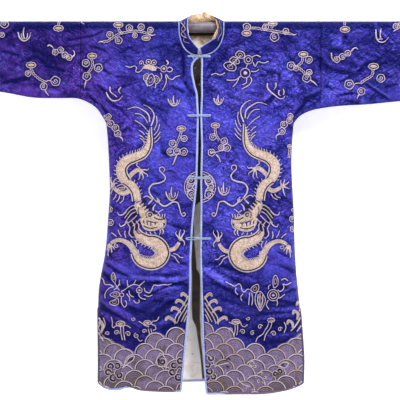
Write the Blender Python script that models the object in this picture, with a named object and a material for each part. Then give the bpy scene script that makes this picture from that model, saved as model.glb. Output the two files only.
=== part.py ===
"""A front-opening embroidered robe, hung flat from a round rod that runs through both sleeves.

Metres, +Z up. The front of the robe faces -Y. The origin is on the rod's axis, midway between its ends.
"Right" and "left" are the wearer's: the right front is at -X, the left front at +X.
The body and the sleeves' upper parts are cut in one and fold over the rod, and the sleeves are pieced on.
"""

import math

import bmesh
import bpy
from mathutils import Vector
from mathutils.bvhtree import BVHTree

# ---------------------------------------------------------------- driving sizes, in metres
MM = 0.001
SEAM_GAP = 0.3 * MM
HALF_GAP = 0.15 * MM  # each side of a seam keeps half of the gap
CLOTH = 1.8 * MM  # satin and its backing together
LINING = 1.0 * MM
ROD_RADIUS = 17.5 * MM
ROD_HALF_LENGTH = 800 * MM
ROD_SIDES = 24
ROD_CLEARANCE = 0.8 * MM
SHOULDER_RADIUS = ROD_RADIUS + ROD_CLEARANCE + CLOTH  # the outer cloth where it folds over the rod
QUARTER_TURN = SHOULDER_RADIUS * math.pi / 2  # cloth from the top of the fold to the rod's level
KNEE = QUARTER_TURN + 3 * MM  # cloth from the top of the fold to where it hangs straight
HEM_DEPTH = 38 * MM  # from the middle plane to the front, or to the back, at the hem
BODY_LENGTH = 1170 * MM
SIDE_ROUNDING = 50 * MM  # how far in from the side the cloth turns round
SLEEVE_ROUNDING = 150 * MM
VENT_TOP = -885 * MM  # the side slits run from here to the hem
VENT_SPREAD = 3 * MM
VENT_EASE = 60 * MM
CUFF_X = 720 * MM
RIGHT_SLEEVE_SEAM_X = -384 * MM
LEFT_SLEEVE_SEAM_X = 387 * MM
NECK_CENTRE_X = 4 * MM
NECK_HALF_WIDTH = 71 * MM
NECK_ROUNDNESS = 2.2  # exponent of the neckline's superellipse
FRONT_NECK_DROP = QUARTER_TURN + 90 * MM  # cloth from the top of the fold to the neck's lowest point
BACK_NECK_DROP = 16 * MM
BINDING_RADIUS = 1.8 * MM
PIPING_RADIUS = 1.4 * MM
BESIDE = 0.4 * MM  # from a binding to the edge that it covers
FROG_CORD_RADIUS = 1.3 * MM
FROG_TURN = 1.7 * MM  # half of the distance between a frog's two cords
KNOT_RADIUS = 5.0 * MM
COLLAR_CLOTH = 1.6 * MM

# ---------------------------------------------------------------- outline tables, in millimetres
# side seam: height, x of the wearer's right side, x of the wearer's left side
SIDE_SEAM = (
    (-309, -302, 302),
    (-367, -297, 297),
    (-447, -293, 295),
    (-530, -291, 299),
    (-610, -296, 303),
    (-693, -302, 305),
    (-740, -308, 307),
    (-796, -319, 311),
    (-844, -326, 316),
    (-885, -328, 320),
    (-972, -327, 327),
    (-1068, -326, 333),
    (-1150, -327, 331),
)
# sleeve's underside: distance from the middle, height on the wearer's right, height on the left
SLEEVE_UNDERSIDE = (
    (302, -309, -309),
    (313, -290, -294),
    (330, -264, -280),
    (358, -243, -268),
    (395, -229, -260),
    (450, -228, -253),
    (538, -226, -248),
    (640, -208, -238),
    (720, -203, -232),
)
# the bindings of the two front edges: height, x on the wearer's right, x on the left
FRONT_EDGE = (
    (-87, -5, 4),
    (-98, -8, 4),
    (-120, -25, 5),
    (-150, -24, 4),
    (-190, -16, 4),
    (-212, -9, 5),
    (-285, -5, 2),
    (-380, -7, 5),
    (-500, -10, 2),
    (-560, -16, 3),
    (-640, -24, 2),
    (-735, -29, 1),
    (-844, -30, 4),
    (-940, -38, 7),
    (-1040, -48, 10),
    (-1145, -58, 17),
    (-1180, -61, 20),
)
# hems: share of the way from the middle edge to the side, height
RIGHT_HEM = ((0.0, -1167), (0.3, -1165), (0.5, -1160), (0.62, -1151), (0.75, -1160), (0.9, -1157), (1.0, -1142))
LEFT_HEM = ((0.0, -1174), (0.3, -1173), (0.6, -1172), (0.78, -1164), (0.93, -1152), (1.0, -1144))
BACK_HEM = ((0.0, -1142), (0.5, -1144), (1.0, -1140))

# folds: x and z of each end, half width, height above the cloth around it (below it if negative)
FRONT_FOLDS = (
    (-62, -75, -57, -165, 20, -5.0),
    (-57, -165, -20, -225, 20, -5.0),
    (-190, -228, -118, -268, 24, -5.0),
    (-320, -880, -190, -960, 28, 6.0),
    (-310, -935, -180, -1020, 28, -5.0),
    (-36, -796, -195, -858, 26, 5.0),
    (-40, -848, -180, -912, 26, -5.0),
    (16, -806, 165, -892, 26, 6.0),
    (20, -750, 175, -836, 28, -4.5),
    (166, -934, 290, -924, 26, 5.0),
    (166, -986, 290, -976, 26, -5.0),
    (211, -114, 262, -185, 24, 5.0),
    (262, -185, 224, -249, 24, 5.0),
    (300, -296, 332, -250, 24, -5.0),
    (332, -250, 380, -213, 24, -5.0),
    (218, -540, 290, -600, 30, -4.5),
    (-128, -556, -40, -572, 28, -4.0),
    (-544, -69, -448, -146, 26, -4.5),
    (-640, -178, -506, -162, 24, -4.0),
    (392, -112, 458, -152, 26, -4.5),
    (458, -152, 550, -133, 26, -4.5),
    (550, -133, 660, -96, 26, -4.0),
)
BACK_FOLDS = (
    (-40, -90, -90, -240, 28, -4.5),
    (60, -80, 120, -210, 28, -4.5),
    (-200, -250, -110, -300, 28, -4.5),
    (190, -240, 110, -310, 28, -4.5),
    (-300, -860, -140, -960, 32, 5.5),
    (-290, -930, -150, -1040, 32, -4.5),
    (290, -830, 120, -930, 32, 5.5),
    (280, -900, 120, -1010, 32, -4.5),
    (-60, -640, 80, -700, 34, -4.5),
    (0, -980, 40, -1140, 36, 5.0),
    (-560, -80, -450, -150, 28, -4.0),
    (400, -110, 520, -160, 28, -4.0),
    (540, -120, 660, -90, 28, -4.0),
)
# collar: share of the way round the neck seam, then the rim's x, y and z, and how far its lining bags
COLLAR_RIM = (
    (0.00, -7, -44, -74, 0),
    (0.06, -16, -44, -63, 0),
    (0.11, -27, -42, -49, 0),
    (0.17, -36, -40, -36, 0),
    (0.25, -41, -38, -12, 0),
    (0.27, -41, -35, -2, 0),
    (0.29, -41, -30, 7, 0),
    (0.31, -41, -22, 18, 0),
    (0.33, -40, -12, 27, 1),
    (0.37, -33, 0, 38, 3),
    (0.41, -22, 6, 43, 4),
    (0.49, 2, 10, 46, 6),
    (0.57, 24, 7, 45, 7),
    (0.61, 38, 1, 39, 7),
    (0.64, 46, -8, 34, 6),
    (0.655, 52, -18, 28, 5),
    (0.675, 57, -27, 23, 5),
    (0.695, 60, -35, 14, 4),
    (0.71, 62, -41, 5, 4),
    (0.73, 63, -45, -6, 4),
    (0.815, 53, -48, -36, 3),
    (0.87, 37, -45, -48, 1),
    (0.93, 20, -42, -58, 0),
    (1.00, 2, -42, -71, 0),
)
# frogs: height, x of the knot, x of the loop's end on the right front, of the tail's end, cords' spread
FROGS = (
    (-95, 0, -39, 33, 0.4),
    (-285, -2, -39, 34, 0.4),
    (-485, -2, -40, 33, 1.6),
    (-679, -4, -45, 34, 2.2),
)

# ---------------------------------------------------------------- how each panel is divided
FRONT_NECK_ANGLES = (0, 24, 46, 66, 90)  # degrees round half of the neckline
BACK_NECK_ANGLES = (0, 28, 50, 70, 90)
BODY_SHARES = (0.2, 0.4, 0.58, 0.74, 0.87, 0.96, 1.0)  # from the neck to the side seam
ARC_ROWS = 4  # over the rod
UPPER_LEVELS = (0.13, 0.26, 0.39, 0.52, 0.65, 0.78, 0.9, 1.0)  # from the rod down to the underarm
UNDERARM_ROW = ARC_ROWS + len(UPPER_LEVELS)
FRONT_ROWS = 18  # from the underarm to the hem
BACK_ROWS = 13
SHOULDER_COLUMNS = 3  # of the body, past the side seam
SLEEVE_COLUMNS = 8

COLOURS = {
    "satin": ((0.075, 0.045, 0.45), 0.32, 0.25),
    "lining": ((0.72, 0.66, 0.62), 0.8, 0.0),
    "collar_lining": ((0.62, 0.42, 0.22), 0.6, 0.0),
    "binding": ((0.36, 0.42, 0.75), 0.4, 0.1),
    "frog": ((0.30, 0.42, 0.62), 0.45, 0.1),
    "rod": ((0.30, 0.28, 0.30), 0.45, 0.0),
}


# ---------------------------------------------------------------- reading tables
def smooth_read(rows, at):
    """The value at a position, on a smooth curve through rows of (position, value)."""
    rows = sorted(rows)
    at = min(max(at, rows[0][0]), rows[-1][0])
    place = 0
    while place < len(rows) - 2 and at > rows[place + 1][0]:
        place += 1
    (x0, v0), (x1, v1) = rows[place], rows[place + 1]
    before = rows[max(place - 1, 0)]
    after = rows[min(place + 2, len(rows) - 1)]
    slope0 = (v1 - before[1]) / (x1 - before[0])
    slope1 = (after[1] - v0) / (after[0] - x0)
    span = x1 - x0
    t = (at - x0) / span
    t2, t3 = t * t, t * t * t
    near = (2 * t3 - 3 * t2 + 1) * v0 + (t3 - 2 * t2 + t) * span * slope0
    return near + (3 * t2 - 2 * t3) * v1 + (t3 - t2) * span * slope1


def straight_read(rows, at):
    """The value at a position, on straight lines through rows of (position, value)."""
    rows = sorted(rows)
    at = min(max(at, rows[0][0]), rows[-1][0])
    for (x0, v0), (x1, v1) in zip(rows, rows[1:]):
        if at <= x1:
            return v0 + (v1 - v0) * (at - x0) / (x1 - x0)
    return rows[-1][1]


def column(table, value_column):
    """A table's first column with one of the others."""
    return [(row[0], row[value_column]) for row in table]


def ease(t):
    t = min(max(t, 0.0), 1.0)
    return t * t * (3 - 2 * t)


def side_column(sign):
    """The wearer's right is at -X and has the first column of values, the left has the second."""
    return 1 if sign < 0 else 2


def side_x(sign, z):
    return smooth_read(column(SIDE_SEAM, side_column(sign)), z / MM) * MM


def underside_z(sign, x):
    return smooth_read(column(SLEEVE_UNDERSIDE, side_column(sign)), abs(x) / MM) * MM


def front_edge_x(sign, z):
    """Where a front's cloth ends, under the middle of its binding."""
    bound = straight_read(column(FRONT_EDGE, side_column(sign)), z / MM) * MM
    return bound + sign * (BINDING_RADIUS + BESIDE)


def sleeve_seam_x(sign):
    return RIGHT_SLEEVE_SEAM_X if sign < 0 else LEFT_SLEEVE_SEAM_X


UNDERARM_X = SIDE_SEAM[0][2] * MM
UNDERARM_Z = SIDE_SEAM[0][0] * MM


def outline_points(sign):
    """The robe's side outline in front view: up from the hem, round the underarm, out to the cuff."""
    heights = [z * MM for z in range(-1200, -309, 10)]
    points = [(side_x(sign, z), z) for z in heights]
    reaches = [x * MM for x in range(302, 760, 6)]
    return points + [(sign * x, underside_z(sign, x)) for x in reaches]


OUTLINE = {sign: outline_points(sign) for sign in (-1, 1)}


def distance_to_line(x, z, line):
    """The shortest distance from a point to a line of points, and the side of the line it is on."""
    best = 1e9
    left_hand = 1
    for (x0, z0), (x1, z1) in zip(line, line[1:]):
        dx, dz = x1 - x0, z1 - z0
        t = ((x - x0) * dx + (z - z0) * dz) / (dx * dx + dz * dz)
        t = min(max(t, 0.0), 1.0)
        away = math.hypot(x - x0 - t * dx, z - z0 - t * dz)
        if away < best:
            best = away
            left_hand = 1 if dx * (z - z0) - dz * (x - x0) >= 0 else -1
    return best, left_hand


# ---------------------------------------------------------------- the cloth's surface
def fold_relief(x, z, folds):
    """How far the folds push the cloth out, at a point of the front view."""
    total = 0.0
    for x0, z0, x1, z1, half_width, height in folds:
        away = distance_to_line(x / MM, z / MM, ((x0, z0), (x1, z1)))[0]
        if away < 3 * half_width:
            total += height * MM * math.exp(-((away / half_width) ** 2))
    return total


def edge_turn(x, z):
    """1 on the flat of the cloth, falling to 0 where front and back meet, as a rounded edge."""
    sign = -1 if x < 0 else 1
    away, left_hand = distance_to_line(x, z, OUTLINE[sign])
    away = max(away * left_hand * sign, 0.0)
    away += VENT_SPREAD * ease((VENT_TOP - z) / VENT_EASE)
    on_sleeve = ease((abs(x) - 0.26) / 0.14)
    rounding = SIDE_ROUNDING + (SLEEVE_ROUNDING - SIDE_ROUNDING) * on_sleeve
    share = min(away / rounding, 1.0)
    return math.sqrt(1 - (1 - share) ** 2)


def cloth_point(x, run, face):
    """A point of the outer cloth. run is the cloth's length down from the top of the fold over the rod.

    face is -1 on the front and 1 on the back.
    """
    if run < QUARTER_TURN:
        angle = run / SHOULDER_RADIUS
        return Vector((x, face * SHOULDER_RADIUS * math.sin(angle), SHOULDER_RADIUS * math.cos(angle)))
    z = QUARTER_TURN - run
    depth = SHOULDER_RADIUS + (HEM_DEPTH - SHOULDER_RADIUS) * ease(-z / BODY_LENGTH)
    folds = FRONT_FOLDS if face < 0 else BACK_FOLDS
    relief = fold_relief(x, z, folds) * ease((-z - 0.03) / 0.06)
    return Vector((x, face * (depth + relief) * edge_turn(x, z), z))


def cloth_normal(x, run, face):
    """The outward direction of the cloth, from points 1 mm apart."""
    step = 0.5 * MM
    along_x = cloth_point(x + step, run, face) - cloth_point(x - step, run, face)
    along_run = cloth_point(x, run + step, face) - cloth_point(x, max(run - step, 0), face)
    normal = along_x.cross(along_run).normalized()
    return normal if face > 0 else -normal


def wall_pair(x, run, face, depth=0.0, thickness=CLOTH):
    """The outer and inner point of a wall of cloth, depth below the robe's outer surface.

    Front and back each stop half a gap short of the middle plane.
    """
    outer = cloth_point(x, run, face)
    normal = cloth_normal(x, run, face)
    pair = (outer - normal * depth, outer - normal * (depth + thickness))
    for point in pair:
        if point.y * face < HALF_GAP:
            point.y = HALF_GAP * face
    return pair


# ---------------------------------------------------------------- making objects
def material_for(slot):
    found = bpy.data.materials.get(slot)
    if found:
        return found
    colour, roughness, metallic = COLOURS[slot]
    made = bpy.data.materials.new(slot)
    made.use_nodes = True
    shader = made.node_tree.nodes["Principled BSDF"]
    shader.inputs["Base Color"].default_value = (*colour, 1)
    shader.inputs["Roughness"].default_value = roughness
    shader.inputs["Metallic"].default_value = metallic
    return made


def add_object(name, mesh, slot):
    mesh.materials.append(material_for(slot))
    mesh.shade_smooth()
    placed = bpy.data.objects.new(name, mesh)
    ROBE.objects.link(placed)
    return placed


def add_wall(name, pairs, cells, slot):
    """A closed wall lofted between outer and inner points. cells are corners of quads, as keys of pairs.

    Both faces are split along the same diagonal, so walls that lie on each other stay apart. The diagonals
    of the columns below 0 mirror those above.
    """
    build = bmesh.new()
    outer = {key: build.verts.new(pair[0]) for key, pair in pairs.items()}
    inner = {key: build.verts.new(pair[1]) for key, pair in pairs.items()}
    borders = {}
    for cell in cells:
        if cell[0][0] < 0:
            cell = cell[1:] + cell[:1]
        for half in (cell[:3], (cell[0], *cell[2:])):
            build.faces.new([outer[key] for key in half])
            build.faces.new([inner[key] for key in reversed(half)])
        for a, b in zip(cell, cell[1:] + cell[:1]):
            if (b, a) in borders:
                del borders[(b, a)]
            else:
                borders[(a, b)] = True
    for a, b in borders:
        build.faces.new([outer[b], outer[a], inner[a], inner[b]])
    bmesh.ops.recalc_face_normals(build, faces=build.faces)
    mesh = bpy.data.meshes.new(name)
    build.to_mesh(mesh)
    build.free()
    return add_object(name, mesh, slot)


def grid_cells(keys):
    """The quads of a grid whose keys are (column, row), where all four corners exist."""
    keys = set(keys)
    cells = []
    for i, j in sorted(keys):
        cell = ((i, j), (i + 1, j), (i + 1, j + 1), (i, j + 1))
        if all(key in keys for key in cell):
            cells.append(cell)
    return cells


def add_tube(name, path, radius, slot, closed=False):
    """A round cord along a path, as a bevelled curve that is then made a mesh."""
    curve = bpy.data.curves.new(name, "CURVE")
    curve.dimensions = "3D"
    curve.twist_mode = "MINIMUM"
    curve.bevel_depth = radius
    curve.bevel_resolution = 1
    curve.use_fill_caps = not closed
    spline = curve.splines.new("POLY")
    spline.points.add(len(path) - 1)
    for point, place in zip(spline.points, path):
        point.co = (*place, 1)
    spline.use_cyclic_u = closed
    guide = bpy.data.objects.new(name + "_guide", curve)
    ROBE.objects.link(guide)
    mesh = bpy.data.meshes.new_from_object(guide.evaluated_get(bpy.context.evaluated_depsgraph_get()))
    bpy.data.objects.remove(guide)
    build = bmesh.new()
    build.from_mesh(mesh)
    bmesh.ops.remove_doubles(build, verts=build.verts, dist=0.01 * MM)
    bmesh.ops.recalc_face_normals(build, faces=build.faces)
    build.to_mesh(mesh)
    build.free()
    mesh.materials.clear()
    return add_object(name, mesh, slot)


# ---------------------------------------------------------------- the body's panels
def neck_curve(angle):
    """A quarter of the neckline: shares of its half width and of its drop."""
    across = math.sin(math.radians(angle)) ** (2 / NECK_ROUNDNESS)
    down = max(math.cos(math.radians(angle)), 0.0) ** (2 / NECK_ROUNDNESS)
    return across, down


def half_panel(sign, neck, shares_at, hem, inner_edge, rows):
    """(column, row) to (x, run) for half of the body, from its middle edge out to the sleeve seam.

    neck is the neckline's points as (x, run). The columns past them divide the rest of the body.
    inner_edge(z) is where the half starts: the front edge, or the middle of the back.
    """
    places = {}
    underarm_run = QUARTER_TURN - UNDERARM_Z
    for i, share in enumerate(shares_at):
        in_neck = i < len(neck)
        top = neck[i][1] if in_neck else 0.0
        knee = max(top, KNEE)
        top_start = inner_edge(QUARTER_TURN - knee)
        x_top = top_start + (sign * UNDERARM_X - top_start) * share
        if top < KNEE:
            for j in range(ARC_ROWS):
                places[i, j] = (x_top, top + (KNEE - top) * j / ARC_ROWS)
        places[i, ARC_ROWS] = (x_top, knee)
        for j, level in enumerate(UPPER_LEVELS, start=ARC_ROWS + 1):
            run = knee + (underarm_run - knee) * level
            start = inner_edge(QUARTER_TURN - run)
            places[i, j] = (start + (sign * UNDERARM_X - start) * share, run)
        hem_z = smooth_read(hem, share) * MM
        for step in range(1, rows + 1):
            z = UNDERARM_Z + (hem_z - UNDERARM_Z) * step / rows
            start = inner_edge(z)
            x = start + (side_x(sign, z) - start) * share
            places[i, UNDERARM_ROW + step] = (x, QUARTER_TURN - z)
    last = len(shares_at) - 1
    for k in range(1, SHOULDER_COLUMNS + 1):
        x = sign * UNDERARM_X + (sleeve_seam_x(sign) - sign * UNDERARM_X) * k / SHOULDER_COLUMNS
        for j, run in enumerate(ring_runs(sign, x)):
            places[last + k, j] = (x, run)
    return places


def ring_runs(sign, x):
    """The rows of a column that reaches from the top of the fold to the sleeve's underside."""
    bottom = QUARTER_TURN - underside_z(sign, x)
    arc = [KNEE * j / ARC_ROWS for j in range(ARC_ROWS + 1)]
    return arc + [KNEE + (bottom - KNEE) * level for level in UPPER_LEVELS]


def panel_shares(sign, start_x, neck):
    """How far each column lies from the panel's middle edge to the side seam, from 0 to 1."""
    neck_end = neck[-1][0]
    body = [neck_end + (sign * UNDERARM_X - neck_end) * share for share in BODY_SHARES]
    return [(x - start_x) / (sign * UNDERARM_X - start_x) for x in [x for x, _ in neck] + body]


def front_places(sign):
    start = front_edge_x(sign, QUARTER_TURN - FRONT_NECK_DROP)
    half_width = NECK_CENTRE_X + sign * NECK_HALF_WIDTH - start
    neck = []
    for angle in FRONT_NECK_ANGLES:
        across, down = neck_curve(angle)
        neck.append((start + half_width * across, KNEE + (FRONT_NECK_DROP - KNEE) * down))
    neck[-1] = (neck[-1][0], 0.0)
    shares_at = panel_shares(sign, start, neck)
    hem = RIGHT_HEM if sign < 0 else LEFT_HEM
    return half_panel(sign, neck, shares_at, hem, lambda z: front_edge_x(sign, z), FRONT_ROWS)


def back_places():
    """Both halves of the back, as one panel: columns count from the middle, negative on the right."""
    places = {}
    for sign in (-1, 1):
        neck = []
        for angle in BACK_NECK_ANGLES:
            across, down = neck_curve(angle)
            neck.append((NECK_CENTRE_X + sign * NECK_HALF_WIDTH * across, BACK_NECK_DROP * down))
        shares_at = panel_shares(sign, NECK_CENTRE_X, neck)
        half = half_panel(sign, neck, shares_at, BACK_HEM, lambda z: NECK_CENTRE_X, BACK_ROWS)
        places.update({(sign * i, j): place for (i, j), place in half.items()})
    return places


FRONT_SIDE = len(FRONT_NECK_ANGLES) + len(BODY_SHARES) - 1  # the column at the side seam
BACK_SIDE = len(BACK_NECK_ANGLES) + len(BODY_SHARES) - 1
FRONT_HEM_ROW = UNDERARM_ROW + FRONT_ROWS
BACK_HEM_ROW = UNDERARM_ROW + BACK_ROWS


def add_panel(name, places, face):
    pairs = {key: wall_pair(x, run, face) for key, (x, run) in places.items()}
    add_wall(name, pairs, grid_cells(places), "satin")
    return pairs


def add_sleeve(name, sign):
    """A pieced-on sleeve: rings round the rod, from the seam to the cuff."""
    start = sleeve_seam_x(sign) + sign * SEAM_GAP
    rows = UNDERARM_ROW
    pairs = {}
    for i in range(SLEEVE_COLUMNS + 1):
        x = start + (sign * CUFF_X - start) * i / SLEEVE_COLUMNS
        runs = ring_runs(sign, x)
        for j, run in enumerate(runs):
            for face, key in ((-1, j), (1, 2 * rows - j)):
                if face > 0 and j in (0, rows):
                    continue
                outer = cloth_point(x, run, face)
                normal = cloth_normal(x, run, face)
                if j in (0, rows):
                    outer.y = 0.0
                    normal = Vector((0, 0, 1 if j == 0 else -1))
                pairs[i, key] = (outer, outer - normal * CLOTH)
    cells = []
    for i in range(SLEEVE_COLUMNS):
        for j in range(2 * rows):
            following = (j + 1) % (2 * rows)
            cells.append(((i, j), (i + 1, j), (i + 1, following), (i, following)))
    add_wall(name, pairs, cells, "satin")
    return pairs


def add_back_lining(places):
    """The lining that shows through the front opening: inside the back, from the rod to above the hem."""
    pairs = {}
    for (i, j), (x, run) in places.items():
        if abs(i) < BACK_SIDE and ARC_ROWS < j <= BACK_HEM_ROW:
            if j == BACK_HEM_ROW:
                run -= 5 * MM
            pairs[i, j] = wall_pair(x, run, 1, depth=CLOTH + SEAM_GAP, thickness=LINING)
    add_wall("back_lining", pairs, grid_cells(pairs), "lining")


# ---------------------------------------------------------------- bindings
def middle_of(pairs, key):
    return (pairs[key][0] + pairs[key][1]) / 2


def outward_from(pairs, key, steps):
    """The direction out of a panel at one of its edge points, from its neighbours inside the panel."""
    total = Vector((0, 0, 0))
    for step in steps:
        inside = (key[0] + step[0], key[1] + step[1])
        total += (middle_of(pairs, key) - middle_of(pairs, inside)).normalized()
    return total.normalized()


def beside(pairs, keys, *steps):
    """A path beside a panel's edge: the middle of the wall, moved out of the panel."""
    clear = BINDING_RADIUS + BESIDE
    return [middle_of(pairs, key) + outward_from(pairs, key, steps) * clear for key in keys]


def round_corner(pairs, key, first, second):
    """Three points round a panel's corner: square to one edge, between, and square to the other."""
    return beside(pairs, [key], first) + beside(pairs, [key], first, second) + beside(pairs, [key], second)


def slit_path(pairs, side, hem_row):
    """Up a side slit from the hem, ending just under its top."""
    inward = (-1 if side > 0 else 1, 0)
    keys = [(side, j) for j in range(hem_row - 1, UNDERARM_ROW, -1)]
    open_keys = [key for key in keys if pairs[key][0].z < VENT_TOP - 0.4 * VENT_EASE]
    path = beside(pairs, open_keys, inward)
    upper = (side, open_keys[-1][1] - 1)
    path.append(path[-1] + (middle_of(pairs, upper) - middle_of(pairs, open_keys[-1])) * 0.35)
    return path


def add_front_binding(name, pairs):
    """Down the front edge, along the hem and up the side slit."""
    hem = FRONT_HEM_ROW
    path = beside(pairs, [(0, j) for j in range(ARC_ROWS, hem)], (1, 0))
    path += round_corner(pairs, (0, hem), (1, 0), (0, -1))
    path += beside(pairs, [(i, hem) for i in range(1, FRONT_SIDE)], (0, -1))
    path += round_corner(pairs, (FRONT_SIDE, hem), (0, -1), (-1, 0))
    path += slit_path(pairs, FRONT_SIDE, hem)
    add_tube(name, path, BINDING_RADIUS, "binding")


def add_back_binding(pairs):
    """Down one side slit, along the hem and up the other slit."""
    hem = BACK_HEM_ROW
    path = slit_path(pairs, -BACK_SIDE, hem)[::-1]
    path += round_corner(pairs, (-BACK_SIDE, hem), (1, 0), (0, -1))
    path += beside(pairs, [(i, hem) for i in range(1 - BACK_SIDE, BACK_SIDE)], (0, -1))
    path += round_corner(pairs, (BACK_SIDE, hem), (0, -1), (-1, 0))
    path += slit_path(pairs, BACK_SIDE, hem)
    add_tube("binding_back", path, BINDING_RADIUS, "binding")


def add_cuff_binding(name, sign, pairs):
    out = Vector((sign, 0, 0)) * (BINDING_RADIUS + BESIDE)
    path = [pairs[SLEEVE_COLUMNS, j][0] + out for j in range(2 * UNDERARM_ROW)]
    add_tube(name, path, BINDING_RADIUS, "binding", closed=True)


# ---------------------------------------------------------------- the neck
def neck_loop(right, back, left):
    """The neck seam's points, from the right front's end round the back to the left front's end.

    Each is (outer point, inner point, direction away from the neck's hole).
    """
    ring = len(FRONT_NECK_ANGLES) - 1
    back_ring = len(BACK_NECK_ANGLES) - 1
    order = [(right, (i, ARC_ROWS), (0, 1)) for i in range(ring)]
    order += [(right, (ring, j), (1, 0)) for j in range(ARC_ROWS, 0, -1)]
    order += [(back, (-back_ring, 0), (-1, 0))]
    order += [(back, (i, 0), (0, 1)) for i in range(1 - back_ring, back_ring)]
    order += [(back, (back_ring, 0), (1, 0))]
    order += [(left, (ring, j), (1, 0)) for j in range(1, ARC_ROWS + 1)]
    order += [(left, (i, ARC_ROWS), (0, 1)) for i in range(ring - 1, -1, -1)]
    seam = [pairs[key] for pairs, key, _ in order]
    loop = []
    for place, (pairs, key, step) in enumerate(order):
        outer, inner = seam[place]
        beyond = pairs[key[0] + step[0], key[1] + step[1]][0]
        along = seam[min(place + 1, len(seam) - 1)][0] - seam[max(place - 1, 0)][0]
        away = along.cross(outer - inner).normalized()
        loop.append((outer, inner, away if away.dot(beyond - outer) > 0 else -away))
    return loop


def add_neck_piping(loop):
    lift = PIPING_RADIUS + BESIDE
    path = [outer + (outer - inner).normalized() * lift + away * PIPING_RADIUS for outer, inner, away in loop]
    add_tube("neck_piping", path, PIPING_RADIUS, "binding")


def grid_normals(grid):
    """Unit normals of a grid of points, from its neighbours."""
    normals = {}
    for i, j in grid:
        a = grid.get((i - 1, j), grid[i, j])
        b = grid.get((i + 1, j), grid[i, j])
        c = grid.get((i, j - 1), grid[i, j])
        d = grid.get((i, j + 1), grid[i, j])
        normals[i, j] = (d - c).cross(b - a).normalized()
    return normals


def collar_grid(loop):
    """The collar's outer points, from the seam to the rim, and how far the lining bags at each share."""
    lengths = [0.0]
    for (a, _, _), (b, _, _) in zip(loop, loop[1:]):
        lengths.append(lengths[-1] + (b - a).length)
    grid = {}
    bags = []
    for i, (length, (outer, inner, away)) in enumerate(zip(lengths, loop)):
        share = length / lengths[-1]
        out = (outer - inner).normalized()
        seam = outer - away * (SEAM_GAP + 0.6 * MM) + out * 0.3 * MM
        rim = Vector([smooth_read(column(COLLAR_RIM, c), share) * MM for c in (1, 2, 3)])
        for j, t in enumerate((0.0, 0.33, 0.67, 1.0)):
            grid[i, j] = seam.lerp(rim, t) + out * (3 * MM * 4 * t * (1 - t))
        bags.append(smooth_read(column(COLLAR_RIM, 4), share) * MM)
    return grid, bags


def add_collar(loop):
    """The standing band of satin, its lining, and the piping on its rim."""
    grid, bags = collar_grid(loop)
    normals = grid_normals(grid)
    band = {key: (point, point - normals[key] * COLLAR_CLOTH) for key, point in grid.items()}
    add_wall("collar", band, grid_cells(grid), "satin")
    last = len(bags) - 1
    lining = {}
    for (i, j), point in grid.items():
        if 0 < i < last and j > 0:
            if j == 3:
                point = grid[i, 2].lerp(point, 0.85)
            start = COLLAR_CLOTH + SEAM_GAP + 0.1 * MM + bags[i] * (0.0, 0.7, 1.0, 0.35)[j]
            lining[i, j] = (point - normals[i, j] * start, point - normals[i, j] * (start + LINING))
    add_wall("collar_lining", lining, grid_cells(lining), "collar_lining")
    path = []
    for i in range(last + 1):
        along = grid[min(i + 1, last), 3] - grid[max(i - 1, 0), 3]
        rising = along.cross(normals[i, 3]).normalized()
        rising = rising if rising.dot(grid[i, 3] - grid[i, 2]) > 0 else -rising
        path.append(middle_of(band, (i, 3)) + rising * (PIPING_RADIUS + BESIDE))
    add_tube("collar_piping", path, PIPING_RADIUS, "binding")


# ---------------------------------------------------------------- frogs
def front_y(trees, x, z):
    """The foremost point, near x and z, of what the frogs lie on."""
    found = []
    for step in range(-4, 5):
        for dz in (-1.5 * MM, 0.0, 1.5 * MM):
            for tree in trees:
                hit = tree.ray_cast(Vector((x + step * 1.5 * MM, -1, z + dz)), Vector((0, 1, 0)))[0]
                if hit:
                    found.append(hit.y)
    return min(found) if found else None


def frog_path(trees, z, x_from, x_to, spread):
    """A cord that runs out, turns and runs back, spread apart half way."""
    flat = []
    for side, shares in ((1, (0.0, 0.3, 0.65, 1.0)), (-1, (1.0, 0.65, 0.3, 0.0))):
        for share in shares:
            flat.append((x_from + (x_to - x_from) * share, z + side * (FROG_TURN + spread * math.sin(math.pi * share))))
    heights = [front_y(trees, x, height) for x, height in flat]
    nearest = min(y for y in heights if y is not None)
    lift = FROG_CORD_RADIUS + 0.5 * MM
    return [Vector((x, (nearest if y is None else y) - lift, height)) for (x, height), y in zip(flat, heights)]


def add_frogs(underneath):
    """Four fastenings: a cord loop on the right front, and a cord with a knot on the left front."""
    trees = []
    for name in underneath:
        build = bmesh.new()
        build.from_mesh(bpy.data.objects[name].data)
        trees.append(BVHTree.FromBMesh(build))
        build.free()
    for number, (height, knot_x, loop_end, tail_end, spread) in enumerate(FROGS, start=1):
        z = height * MM
        x = knot_x * MM
        y = front_y(trees, x, z)
        ball = bmesh.new()
        bmesh.ops.create_uvsphere(ball, u_segments=8, v_segments=6, radius=KNOT_RADIUS)
        bmesh.ops.translate(ball, verts=ball.verts, vec=(x, y - KNOT_RADIUS - BESIDE, z))
        mesh = bpy.data.meshes.new(f"frog_knot_{number}")
        ball.to_mesh(mesh)
        ball.free()
        add_object(f"frog_knot_{number}", mesh, "frog")
        reach = KNOT_RADIUS + 0.7 * MM
        loop = frog_path(trees, z, x - reach, loop_end * MM, spread * MM)
        tail = frog_path(trees, z, x + reach, tail_end * MM, 0.3 * MM)
        add_tube(f"frog_loop_{number}", loop, FROG_CORD_RADIUS, "frog", closed=True)
        add_tube(f"frog_tail_{number}", tail, FROG_CORD_RADIUS, "frog", closed=True)


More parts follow.
